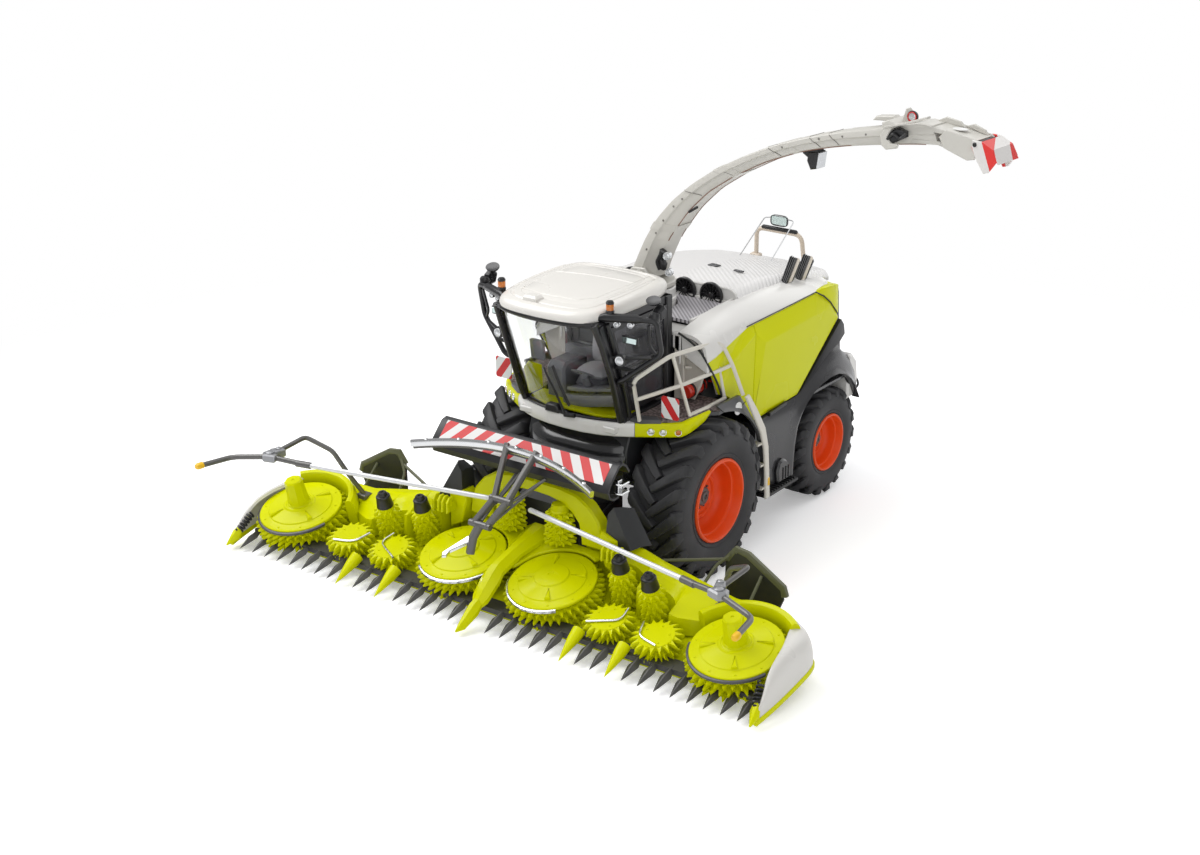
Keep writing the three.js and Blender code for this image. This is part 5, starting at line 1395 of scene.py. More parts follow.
tread = tread_brown()
grey_moulding = finish("grey_moulding", (0.085, 0.086, 0.09), shade=0.85, rough=(0.3, 0.42), grain=1500, depth=0.02)
plate_white = finish("plate_white", (0.78, 0.78, 0.77), shade=0.95, rough=(0.3, 0.4))
for side, turn_over in (("left", lambda points: points), ("right", mirrored)):
    walk = slab([(24.5, -22.4), (28.0, -22.8), (36.0, -17.2), (40.4, -13.2), (42.0, -8.0), (42.4, 2.0), (45.0, 4.6),
                 (45.4, 12.0), (24.5, 12.0)],
                64.4, 66.0, edge=0.35)
    piece(f"platform_tread_{side}", moved(walk, turn_over), tread, "machine", [f"platform_{side}"])
    lower = slab([(24.6, -23.6), (28.6, -22.4), (36.6, -16.8), (40.6, -12.6), (41.4, -3.0), (42.4, 2.6),
                  (44.6, 5.0), (44.6, 11.6), (24.6, 11.6)],
                 62.6, 64.5, edge=0.3)
    parts = [lower, mudguard(), slab([(24.6, -23.8), (28.4, -23.4), (34.8, -18.9), (32.0, -16.8), (24.6, -19.8)],
                                     64.4, 66.2, edge=0.3)]
    seam = tube([(46.3, 13.6, 61.6), (46.5, 20.2, 64.0)], 0.16, 6)
    piece(f"mudguard_{side}", moved(several([*parts]), turn_over), grey_moulding, "machine", crease=40)
    plate = moved(turned([(0, 0), (2.5, 0), (2.5, 0.25), (2.2, 0.35), (0, 0.35)], 32),
                  lambda p: p[:, [2, 0, 1]] + [46.2, 15.4, 62.6])
    piece(f"bare_round_plate_{side}", moved(plate, turn_over), plate_white, "machine")
    piece(f"guard_seam_{side}", moved(seam, turn_over), cap_black, "machine")

# ---------- hand rails and ladder ----------
# Bent flat bars in pale warm grey, welded together, guard the platform; the outer rail runs on down as
# the ladder's side.
rail_pale = finish("rail_pale", (0.70, 0.67, 0.60), shade=0.9, rough=(0.28, 0.4), grain=1600)
top_rail = bent([(28.4, -23.4, 65.8), (28.3, -27.3, 82.4), (36.1, -15.5, 89.9), (38.7, 8.0, 88.8),
                 (40.2, 12.8, 87.8), (43.0, 15.8, 79.4),
                 (46.2, 18.8, 67.0)], 2.4)
bars = [flat_bar(top_rail, 0.55, 0.7),
        flat_bar(bent([(28.5, -25.3, 74.6), (38.4, -12.7, 78.2), (40.9, 12.2, 78.0), (42.9, 15.8, 79.2)], 1.8), 0.5,
                 0.65),
        tube([(36.4, -14.1, 89.8), (40.8, -9.1, 66.0)], 0.7, 8),
        tube([(38.5, 10.1, 88.4), (41.4, 13.4, 66.0)], 0.7, 8),
        flat_bar([(40.8, -9.3, 66.4), (41.6, 2.0, 66.4), (41.6, 13.6, 66.4)], 0.6, 0.55)]
inner = [tube(bent([(30.0, 3.5, 83.4), (33.9, 5.1, 84.4), (34.9, 10.1, 83.2), (36.7, 15.7, 66.4)], 2), 0.6, 8),
         tube([(30.0, 3.5, 79.0), (35.3, 11.5, 78.2)], 0.5, 8)]
piece("hand_rails", several(bars + inner), rail_pale, "machine", ["handrail"], crease=50)
stringer = [(17.2, 67.0), (19.6, 67.4), (25.6, 59.6), (31.6, 50.6), (34.2, 42.0), (35.4, 30.0), (36.2, 19.8),
            (33.4, 19.8), (32.6, 32.0),
            (31.2, 42.0), (28.4, 49.4), (22.8, 58.0)]
steps = [slab([(y, z), (y + 3.0, z), (y + 3.0, z + 0.9), (y, z + 0.9)], 43.8, 48.0, "x", 0.15) for y,
         z in ((31.4, 24.0), (30.2, 34.0), (27.8, 43.4))]
piece("ladder_side", several([slab(stringer, 47.6, 48.9, "x", 0.35), *steps]), rail_pale, "machine",
      ["ladder"], crease=40)
mark = slab([(34.0, 25.4), (35.4, 25.4), (35.2, 28.6), (34.0, 28.6)], 48.8, 49.1, "x", 0.1)
piece("ladder_mark", mark, cap_yellow, "machine")

# ---------- warning plates and extinguisher ----------
# Thin square plates with one broad red stripe face forward by the rails, and a red extinguisher lies on
# the left platform.


def warning_plate(hand):
    """A thin square sheet with cut corners, facing forward and turned a little outwards."""
    sheet = slab([(-3.8, -3.6), (-3.2, -4.2), (3.2, -4.2), (3.8, -3.6), (3.8, 3.6), (3.2, 4.2), (-3.2, 4.2),
                  (-3.8, 3.6)],
                 -0.25, 0.25, "y", 0.1)
    return moved(sheet, lambda p: (p + [38.6, -18.6, 71.4]) * [hand, 1, 1])


for side, hand in (("left", 1), ("right", -1)):
    material = finish(f"plate_stripes_{side}", (0.80, 0.81, 0.82), shade=0.95, rough=(0.3, 0.4), grain=3000,
                      depth=0.01)
    nodes, links = material.node_tree.nodes, material.node_tree.links
    place = nodes.new("ShaderNodeTexCoord")
    turn = nodes.new("ShaderNodeMapping")
    turn.inputs["Location"].default_value = (-(FOOT[0] + 0.0386 * hand), 0, -0.0714 - FOOT[2])
    parts = nodes.new("ShaderNodeSeparateXYZ")
    links.new(place.outputs["Object"], turn.inputs["Vector"])
    links.new(turn.outputs["Vector"], parts.inputs[0])
    along = nodes.new("ShaderNodeMath")
    along.operation = "MULTIPLY_ADD"
    along.inputs[1].default_value = 1.35 * hand
    links.new(parts.outputs["X"], along.inputs[0])
    links.new(parts.outputs["Z"], along.inputs[2])
    shift = nodes.new("ShaderNodeMath")
    shift.operation = "ADD"
    shift.inputs[1].default_value = 0.0048
    links.new(along.outputs[0], shift.inputs[0])
    share = nodes.new("ShaderNodeMath")
    share.operation = "PINGPONG"
    share.inputs[1].default_value = 0.0048
    links.new(shift.outputs[0], share.inputs[0])
    band_of = nodes.new("ShaderNodeMath")
    band_of.operation = "GREATER_THAN"
    band_of.inputs[1].default_value = 0.0024
    links.new(share.outputs[0], band_of.inputs[0])
    white = nodes["Principled BSDF"].inputs["Base Color"].links[0].from_socket
    choose = nodes.new("ShaderNodeMix")
    choose.data_type = "RGBA"
    choose.inputs["B"].default_value = (0.60, 0.012, 0.014, 1)
    links.new(band_of.outputs[0], choose.inputs["Factor"])
    links.new(white, choose.inputs["A"])
    links.new(choose.outputs["Result"], nodes["Principled BSDF"].inputs["Base Color"])
    piece(f"warning_plate_{side}", warning_plate(hand), material, "machine")
red_paint = finish("extinguisher_red", (0.66, 0.028, 0.012), shade=0.85, rough=(0.16, 0.26), grain=1500, coat=0.4)
bottle = turned([(0, -6.4), (2.2, -6.4), (2.7, -5.9), (2.8, -5.2), (2.8, 3.6), (2.6, 4.6), (1.8, 5.4), (0.9, 5.8),
                 (0.9, 7.0), (0, 7.0)], 24)
bottle = moved(bottle, lambda p: p[:, [0, 2, 1]] + [31.4, 8.4, 70.0])
valve = several([slab([(14.6, 69.4), (18.6, 69.0), (18.9, 70.0), (16.4, 71.4), (14.6, 71.2)], 30.8, 32.0, "x", 0.2),
                 tube(bent([(31.4, 14.8, 70.4), (33.4, 17.0, 70.6), (34.4, 19.0, 68.6)], 1.4), 0.42, 8)])
piece("extinguisher", several([bottle, valve]), red_paint, "machine")
straps = [moved(turned([(2.75, -0.5), (3.0, -0.5), (3.0, 0.5), (2.75, 0.5)], 24, closed=True),
                lambda p: p[:, [0, 2, 1]] + [31.4, y, 70.0])
          for y in (4.6, 10.8)]
piece("extinguisher_straps", several(straps), cap_black, "machine")

# ---------- cab frame, door and glass ----------
# A black moulded frame with thick front posts carries the roof. The windscreen is a clear curved sheet;
# the door and side windows are smoked glass in black frames.


def smoked(name, tint, thin=0.9, rough=0.03):
    """Clear or smoked plastic sheet: light passes tinted by the colour; gloss comes from a thin fresnel."""
    material = bpy.data.materials.new(name)
    nodes, links = nodes_of(material)
    shader = nodes["Principled BSDF"]
    shader.inputs["Roughness"].default_value = rough
    shader.inputs["Transmission Weight"].default_value = thin
    shader.inputs["IOR"].default_value = 1.25
    place = nodes.new("ShaderNodeTexCoord")
    cloud = nodes.new("ShaderNodeTexNoise")
    cloud.inputs["Scale"].default_value = 60
    links.new(place.outputs["Object"], cloud.inputs["Vector"])
    mix = nodes.new("ShaderNodeMix")
    mix.data_type = "RGBA"
    mix.inputs["A"].default_value = (*tint, 1)
    mix.inputs["B"].default_value = (*[c * 0.92 for c in tint], 1)
    links.new(cloud.outputs["Fac"], mix.inputs["Factor"])
    links.new(mix.outputs["Result"], shader.inputs["Base Color"])
    return material


def screen_line(x, z, front=0.0):
    """The windscreen's place: it leans forward with height and bows forward with the square of x."""
    return -25.0 - (z - 64.0) * 0.385 - 5.2 * (1 - (x / 22.8) ** 2) - front


def windscreen_sheet():
    """A grid in (x, z) laid on the windscreen's own curve, 0.6 mm thick."""
    x = np.linspace(-22.4, 22.4, 25)[None, :]
    z = np.linspace(64.6, 105.2, 17)[:, None]
    skin = np.stack([x + 0 * z, screen_line(x, z) + 0 * x * z, z + 0 * x], -1)
    return shell(skin, skin + [0, 0.6, 0])


def cross_bar(z, half, thick, tall, front=0.0):
    """A bar that follows the windscreen's curve across the cab."""
    x = np.linspace(-half, half, 25)
    return flat_bar(np.stack([x, screen_line(x, np.full(25, z), front), np.full(25, z)], -1), thick, tall)


frame_black = finish("frame_black", (0.013, 0.013, 0.015), shade=0.8, rough=(0.24, 0.36), grain=1600, depth=0.02)
clear_sheet = smoked("clear_sheet", (0.95, 0.96, 0.965), 1.0)
dark_sheet = smoked("smoked_sheet", (0.30, 0.30, 0.32), 0.85, 0.05)
posts = []
for turn_over in (lambda points: points, mirrored):
    front = tube([(22.0, -26.2, 65.2), (22.6, -28.2, 70.0), (22.9, -33.0, 84.0), (22.6, -38.2, 97.0),
                  (21.9, -42.2, 106.0)], 1.35, 12)
    thin = tube([(23.6, -22.4, 64.0), (24.3, -26.0, 75.0), (24.6, -31.8, 92.0), (24.3, -37.4, 105.6)], 0.95, 10)
    web = flat_bar([(23.3, -24.4, 64.4), (23.6, -29.6, 80.0), (23.4, -39.6, 105.2)], 0.35, 1.6)
    rear = slab([(0.8, 64.4), (3.8, 64.4), (3.8, 106.2), (0.2, 106.2)], 21.6, 24.2, "x", 0.4)
    sill = slab([(-24.6, 63.4), (3.8, 63.4), (3.8, 66.2), (-24.4, 66.2)], 21.8, 24.0, "x", 0.3)
    head = slab([(-40.0, 103.2), (3.8, 103.2), (3.8, 106.2), (-41.6, 106.2)], 20.4, 23.4, "x", 0.3)
    posts += [moved(shape, turn_over) for shape in (front, thin, web, rear, sill, head)]
back_wall = slab([(-23.6, 64.2), (23.6, 64.2), (23.6, 106.2), (18.4, 106.2), (18.4, 80.4), (-18.4, 80.4),
                  (-18.4, 106.2), (-23.6, 106.2)],
                 2.2, 4.0, "y", 0.3)
floor_plate = slab([(-23.0, -24.0), (-12.0, -27.6), (12.0, -27.6), (23.0, -24.0), (23.4, 3.8), (-23.4, 3.8)], 63.2,
                   64.4, edge=0.3)
low_bar, high_bar = cross_bar(64.9, 22.2, 0.8, 0.6), cross_bar(105.6, 21.6, 1.1, 0.9)
piece("cab_frame", several([*posts, back_wall, floor_plate, low_bar, high_bar]), frame_black, "machine",
      ["cab_shell"], crease=40)
piece("windscreen_sheet", windscreen_sheet(), clear_sheet, "machine", ["windscreen"], crease=60)
rear_glass = slab([(-18.2, 80.6), (18.2, 80.6), (18.2, 103.4), (-18.2, 103.4)], 2.8, 3.3, "y", 0.1)
far_glass = moved(slab([(-22.6, 66.6), (0.6, 66.6), (0.2, 103.0), (-36.4, 103.0)], 22.9, 23.4, "x", 0.1), mirrored)
piece("cab_side_glass", several([rear_glass, far_glass]), clear_sheet, "machine")
door_edge = np.array([(-23.8, 68.4), (-36.2, 103.2), (0.2, 103.2), (0.3, 68.4)])
hole = np.array([(-21.4, 71.0), (-32.6, 101.4), (-1.6, 101.4), (-1.5, 71.0)])


def ring_frame(outer, inner, low, high):
    """A flat frame: a four-sided section between an outer and an inner outline of (y, z), carried round."""
    rings = [[(low, *a), (high, *a), (high, *b), (low, *b)] for a, b in zip([*outer, outer[0]], [*inner, inner[0]])]
    return loft(rings, capped=False)


door_bar = slab([(-26.6, 84.6), (-1.4, 85.6), (-1.4, 86.6), (-27.0, 85.6)], 22.8, 23.9, "x", 0.2)
grip = tube(bent([(24.3, -22.6, 76.0), (25.2, -22.6, 77.0), (25.2, -24.0, 83.0), (24.3, -24.2, 84.0)], 0.6), 0.45, 8)
piece("door_frame", several([ring_frame(door_edge, hole, 22.6, 24.0), door_bar, grip]), frame_black, "cab_door",
      ["cab_door"], crease=40)
piece("door_glass", slab([(-22.2, 70.6), (-33.2, 102.0), (-1.0, 102.0), (-1.0, 70.6)], 23.1, 23.5, "x", 0.1),
      dark_sheet, "cab_door")

# ---------- cab inside ----------
# Seat, console and steering column are grey mouldings; the floor in front of the seat is lime.


def cushion(width, length, thick, crown):
    """A pad: its outline is a rounded rectangle of (x, y); top and bottom bulge with the product of two
    cosines across it and draw in at the rim."""
    u = np.linspace(-1, 1, 17)[None, :]
    v = np.linspace(-1, 1, 17)[:, None]
    x, y = u * np.sqrt(1 - v ** 2 * 0.28) * width / 2, v * np.sqrt(1 - u ** 2 * 0.28) * length / 2
    bulge = (1 - np.abs(u) ** 6) * (1 - np.abs(v) ** 6)
    channel = 0.25 * np.exp(-((np.abs(u) - 0.55) / 0.06) ** 2)
    top = thick * 0.5 * bulge + crown * np.cos(u * np.pi / 2) * np.cos(v * np.pi / 2) - channel * bulge
    upper = np.stack([x, y, top], -1)
    lower = np.stack([x, y, -thick * 0.5 * bulge], -1)
    return shell(upper, lower)


seat_grey = finish("seat_grey", (0.40, 0.39, 0.41), shade=0.85, rough=(0.45, 0.6), grain=2400, depth=0.06)
trim_grey = finish("trim_grey", (0.20, 0.20, 0.215), shade=0.8, rough=(0.34, 0.48), grain=1600)
inside = [slab([(-16.5, 65.4), (-3, 65.4), (-3, 73.6), (-5, 74.4), (-14, 74.4), (-16.5, 72)], -6.0, 6.0, "x", 0.8),
          slab([(-19.6, 65.0), (-5, 65.0), (-5, 78.0), (-8, 79.4), (-18.0, 79.4), (-20.2, 77.0)], -16.8, -8.4, "x",
               0.9),
          flat_bar([(x, -22.4 + 0.012 * x ** 2, 67.6 + 0.16 * x) for x in np.linspace(-6, 21, 15)], 1.6, 2.2),
          flat_bar([(x, -19.4 + 0.012 * x ** 2, 71.4 + 0.16 * x) for x in np.linspace(-6, 21, 15)], 2.2, 0.9),
          slab([(-1.0, 65.4), (2.0, 65.4), (2.0, 79.6), (-1.0, 79.6)], -22.6, 22.6, "x", 0.5),
          tube([(2.0, -15.0, 65.4), (2.0, -21.4, 77.0)], [2.2, 1.3], 12),
          slab([(-27.0, 82.0), (-25.6, 82.0), (-26.4, 89.6), (-28.0, 89.6)], -18.6, -12.0, "x", 0.5)]
wheel = moved(turned([(4.2, -0.4), (4.7, 0.0), (4.2, 0.4), (3.8, 0.0)], 28, closed=True),
              lambda p: np.stack([p[:, 0], p[:, 1] * 0.86 + p[:, 2] * 0.5, p[:, 2] * 0.86 - p[:, 1] * 0.5], -1)
              + [2.0, -22.2, 78.4])
piece("cab_console", several([*inside, wheel]), trim_grey, "machine", ["cab_interior"], crease=35)
pads = [moved(cushion(14.5, 14.0, 3.6, 0.9), lambda p: p + [1.0, -11.6, 76.4]),
        moved(cushion(15.0, 20.0, 4.2, 1.2), lambda p: np.stack([p[:, 0], -p[:, 2] * 0.96 + p[:, 1] * 0.22,
                p[:, 1] * 0.97], -1) + [1.0, -4.2, 86.6]),
        moved(cushion(9.6, 6.2, 3.2, 0.8), lambda p: p[:, [0, 2, 1]] * [1, -1, 1] + [1.0, -3.2, 98.2]),
        moved(cushion(3.4, 11.0, 2.4, 0.4), lambda p: p + [10.0, -11.4, 81.0])]
piece("seat_pads", several(pads), seat_grey, "machine", crease=60)
lime_floor = slab([(-21.6, -23.0), (-12.0, -26.8), (12.0, -26.8), (21.6, -23.0), (22.0, -15.4), (-22.0, -15.4)],
                  64.6, 65.8, edge=0.3)
lime_side = moved(slab([(-25.0, 66.6), (-17.0, 66.6), (-17.6, 76.0), (-24.6, 79.4), (-27.6, 78.0)], 20.6, 21.6, "x",
                       0.3), mirrored)
piece("cab_foot_well", several([lime_floor, lime_side]), lime, "machine")

# ---------- wiper ----------
# A black wiper hangs in front of the windscreen, with its motor box on the sill.
motor = slab([(-8.4, 64.6), (-2.2, 64.6), (-2.2, 66.8), (-3.4, 67.8), (-7.4, 67.8), (-8.4, 66.8)], -32.4, -29.0,
             "y", 0.5)
arm_path = [(1.0, -32.2, 65.4), (-0.4, -34.4, 72.0), (-2.8, -38.2, 82.0), (-3.2, -39.0, 84.6)]
blade = [(4.2, -33.6, 69.6), (2.2, -36.6, 78.0), (1.2, -39.4, 86.0)]
linkage = several([tube(bent([(-3.0, -31.6, 65.6), (2.2, -31.8, 64.8), (5.0, -31.8, 65.4)], 1.0), 0.5, 8),
                   tube([(1.0, -32.4, 65.0), (5.4, -32.0, 65.4)], 0.85, 8)])
piece("wiper", several([motor, flat_bar(arm_path, 0.55, 0.4), flat_bar(blade, 0.3, 0.55), linkage]), cap_black,
      "machine")

# ---------- roof ----------
# A moulded roof in pale warm grey with rolled edges; its top has a raised border round a sunk panel, a
# small bump in front and fine seams. Work lamps hang under its front edge.


def roof_plan(count=96):
    """The plan: a closed curve through the roof's side, its bowed front edge and its rear edge, smoothed
    by a short running mean."""
    half = np.array([(0, -47.4), (6, -47.3), (12, -46.7), (16.6, -45.6), (20.2, -43.4), (22.0, -39.8),
                     (23.2, -33.0), (23.9, -24.0),
                     (24.0, -14.0), (23.4, -4.0), (22.2, 3.0), (20.2, 6.8), (16.0, 8.6), (8.0, 9.4), (0, 9.6)])
    plan = np.vstack([half, (half * [-1, 1])[-2:0:-1]])
    wrapped = np.vstack([plan, plan[:1]])
    length = np.concatenate([[0], np.cumsum(np.linalg.norm(np.diff(wrapped, axis=0), axis=1))])
    here = np.linspace(0, length[-1], count, endpoint=False)
    fine = np.stack([np.interp(here, length, wrapped[:, 0]), np.interp(here, length, wrapped[:, 1])], -1)
    for _ in range(3):
        fine = (np.roll(fine, 1, 0) + fine * 2 + np.roll(fine, -1, 0)) / 4
    return fine


ROOF_MIDDLE = np.array([0.0, -19.0])
ROOF_STEPS = np.array([(0.90, 105.7), (0.965, 105.9), (0.99, 106.6), (1.0, 107.8), (0.997, 109.2), (0.98, 110.3),
                       (0.95, 111.0),
                       (0.91, 111.4), (0.868, 111.55), (0.856, 111.3), (0.842, 111.3), (0.828, 111.65),
                       (0.745, 111.9), (0.733, 111.7),
                       (0.722, 111.7), (0.708, 111.95), (0.5, 112.3), (0.25, 112.5), (0.08, 112.55), (0.0, 112.55)])


def dip(y, height):
    """How far the roof drops towards its front edge, for heights above its lower edge."""
    return -1.5 * np.clip((-14 - y) / 33, 0, 1) ** 1.5 * np.clip((height - 106) / 4, 0, 1)


def roof_shape():
    """Rings of the plan drawn in towards the middle: each ring has a share of the plan and a height."""
    plan = roof_plan()
    rings = []
    for share, height in ROOF_STEPS:
        flat = ROOF_MIDDLE + (plan - ROOF_MIDDLE) * share
        rings.append(np.column_stack([flat, height + dip(flat[:, 1], height)]))
    return loft(rings)


def on_roof(flat):
    """Lays a line of (x, y) on the roof: the share of the plan it reaches gives its height."""
    flat = np.asarray(flat, float)
    fine = np.concatenate([flat[:1], *[np.linspace(a, b, 9)[1:] for a, b in zip(flat[:-1], flat[1:])]])
    plan = roof_plan(240) - ROOF_MIDDLE
    turn, reach = np.arctan2(plan[:, 1], plan[:, 0]), np.linalg.norm(plan, axis=1)
    order = np.argsort(turn)
    away = fine - ROOF_MIDDLE
    share = np.linalg.norm(away, axis=1) / np.interp(np.arctan2(away[:, 1], away[:, 0]), turn[order], reach[order],
                                                     period=2 * np.pi)
    upper = ROOF_STEPS[3:][::-1]
    height = np.interp(share, upper[:, 0], upper[:, 1])
    return np.column_stack([fine, height + dip(fine[:, 1], height)])


rib_lines = [[(-20.6, -33.6), (-21.6, -16.0), (-21.2, -1.2)], [(-16.6, -33.0), (-17.0, -18.0), (-16.6, 0.6)],
             [(-16.6, 0.6), (-6.0, 5.2), (4.0, 5.6), (14.6, 2.2)],
             [(17.6, 2.2), (18.6, -14.0), (17.8, -29.0)], [(14.6, 2.2), (15.2, -12.0), (14.2, -30.0)],
             [(-16.8, -34.2), (-4.0, -36.4), (9.6, -35.4), (14.2, -30.0)],
             [(0.4, 5.6), (0.8, -10.0)], [(-17.0, -13.0), (0.8, -10.0), (15.0, -9.0)]]
bump_box = slab([(-8.4, -43.6), (-2.6, -43.6), (-2.2, -39.6), (-3.4, -38.6), (-7.6, -38.6), (-8.8, -39.6)], 108.6,
                112.2, edge=0.8)
roof_grey = finish("roof_grey", (0.74, 0.72, 0.68), shade=0.96, rough=(0.24, 0.34), grain=1300, depth=0.012,
                   coat=0.15)
ribs = [tube(on_roof(line) - [0, 0, 0.12], 0.3, 6) for line in rib_lines]
piece("roof_skin", several([roof_shape(), bump_box, *ribs]), roof_grey, "machine", ["cab_roof"],
      crease=32)
edge = roof_plan(120)
edge = edge[np.argsort(edge[:, 0])]
edge = edge[edge[:, 1] < -28]
piece("roof_trim", tube(np.column_stack([edge * [0.975, 0.985], np.full(len(edge), 105.7)]), 0.8, 8), cap_black,
      "machine")
rings, lenses, cases = [], [], []
for x, y, z in ((9.1, -44.9, 105.2), (13.8, -43.4, 105.2), (17.6, -41.2, 105.2), (26.9, -35.4, 105.3),
                (31.4, -33.4, 105.4)):
    for hand in (1, -1):
        ring, lens = round_lamp((x * hand, y, z), (0.2 * hand, -1, -0.05), 1.15, 1.6)
        rings.append(ring)
        lenses.append(lens)
        cases.append(slab([(x * hand - 0.9, y + 1.2), (x * hand + 0.9, y + 1.2), (x * hand + 0.9, y + 2.4),
                           (x * hand - 0.9, y + 2.4)],
                          z - 0.6, z + 2.0, edge=0.25))
piece("roof_lamp_cases", several(cases), cap_black, "machine")
piece("roof_lamp_rings", several(rings), bright, "machine")
piece("roof_lamp_lenses", several(lenses), lens_clear, "machine")

# ---------- mirror frames and beacons ----------
# Bent black tubes stand out from the roof's front corners down to the front posts. They carry a round
# lamp, a small mirror and a tilted head on top; amber beacons stand on the roof's corners.
mirror_glass = finish("mirror_glass", (0.62, 0.74, 0.72), shade=0.8, rough=(0.04, 0.09), metal=0.9, grain=2600,
                      depth=0.005)
for side, turn_over in (("left", lambda points: points), ("right", mirrored)):
    thick = tube([(20.8, -38.6, 107.4), (23.0, -37.2, 107.9), (33.6, -32.6, 107.9), (35.2, -31.8, 107.7)],
                 [1.2, 1.6, 1.6, 1.1], 12)
    loop = bent([(34.0, -32.2, 107.7), (40.0, -29.8, 107.4), (40.4, -26.8, 94.6), (32.4, -30.0, 88.2),
                 (26.4, -32.2, 83.0), (23.4, -30.0, 81.8)], 2.2)
    cross = tube([(24.0, -31.6, 88.0), (31.4, -30.4, 87.6)], 0.75, 8)
    stem = tube([(24.6, -34.6, 92.6), (29.4, -33.0, 92.8), (37.0, -28.4, 93.0)], 0.6, 8)
    rod = tube(bent([(37.6, -30.8, 106.0), (36.6, -29.0, 97.4), (38.6, -27.8, 94.4)], 1.6), 0.55, 8)
    knuckle = several([moved(turned([(0, -2.0), (1.4, -1.9), (1.9, -1.2), (1.9, 1.2), (1.4, 1.9), (0, 2.0)], 14),
                             lambda p: p + [38.4, -28.6, 108.2]),
                       slab([(-27.4, 106.6), (-24.0, 107.0), (-22.8, 110.4), (-24.6, 112.2), (-27.6, 110.6)], 36.4,
                            40.2, "x", 0.8),
                       tube([(38.4, -29.6, 107.8), (38.2, -25.6, 109.0)], 1.0, 8)])
    dish = moved(turned([(0, -0.9), (1.6, -0.7), (2.3, 0.2), (2.4, 0.7), (1.9, 0.6), (0, 0.3)], 24),
                 lambda p: np.stack([p[:, 0] * 1.25, p[:, 1] * 0.8 - p[:, 2] * 0.5, p[:, 2] * 0.8 + p[:, 1] * 0.5],
                                    -1) + [36.4, -26.0, 113.2])
    cup = moved(turned([(0, -2.4), (1.5, -2.2), (2.2, -0.7), (2.35, 0.3), (1.95, 0.4), (0, 0.1)], 24),
                lambda p: p[:, [0, 2, 1]] * [1, -1, 1] + [27.7, -34.2, 91.9])
    base = moved(turned([(0, 108.4), (1.5, 108.4), (1.6, 110.1), (1.35, 110.5), (0, 110.5)], 20),
                 lambda p: p + [24.4, -35.8, 0])
    cap = moved(turned([(0, 112.7), (1.45, 112.7), (1.5, 113.2), (1.1, 113.8), (0, 113.9)], 20),
                lambda p: p + [24.4, -35.8, 0])
    case = slab([(26.4, 97.4), (33.2, 97.4), (33.4, 100.4), (26.2, 100.4)], -31.4, -30.4, "y", 0.3)
    tubes = [thick, tube(loop, 1.0, 12), cross, stem, rod, knuckle, dish, cup, base, cap, case]
    piece(f"mirror_tubes_{side}", moved(several(tubes), turn_over), frame_black, "machine",
          [f"mirror_frame_{side}"])
    lamp_ring, lamp_lens = round_lamp((27.7, -34.8, 91.9), (0.1, -1, 0.05), 1.75, 0.8)
    piece(f"frame_lamp_{side}", moved(lamp_lens, turn_over), lens_clear, "machine")
    piece(f"frame_lamp_ring_{side}", moved(lamp_ring, turn_over), bright, "machine")
    glass = slab([(26.8, 97.9), (32.6, 97.9), (32.8, 100.0), (26.6, 100.0)], -31.75, -31.5, "y", 0.1)
    piece(f"mirror_glass_{side}", moved(glass, turn_over), mirror_glass, "machine")
    dome = turned([(0, 110.5), (1.35, 110.5), (1.45, 110.9), (1.45, 112.4), (1.35, 112.7), (0, 112.7)], 24)
    piece(f"beacon_{side}", moved(moved(dome, lambda p: p + [24.4, -35.8, 0]), turn_over), lens_amber, "machine")

# ---------- column and wall behind the cab ----------
# A beige moulded wall with a rounded outer edge closes the body behind the cab; a flat column stands in
# front of it beside the door.
wall_outline = [(24.6, 66.2), (33.0, 66.2), (35.8, 72.0), (38.4, 81.6), (37.6, 85.4), (35.4, 88.0), (32.0, 89.8),
                (27.5, 91.4), (24.6, 91.4)]
for side, turn_over in (("left", lambda points: points), ("right", mirrored)):
    wall = slab(wall_outline, 5.4, 6.6, "y", 0.3)
    post = slab([(25.2, 66.0), (29.8, 66.0), (29.4, 80.0), (28.8, 91.0), (25.2, 91.0)], 3.4, 5.2, "y", 0.35)
    piece(f"side_wall_{side}", moved(several([wall, post]), turn_over), inner_beige, "machine",
          crease=30)

# ---------- radiator bay ----------
# The dark box below is closed by a screen of punched grey sheet; the spout's turning ring comes up
# through it. Two pairs of black fans stand in the wall behind.


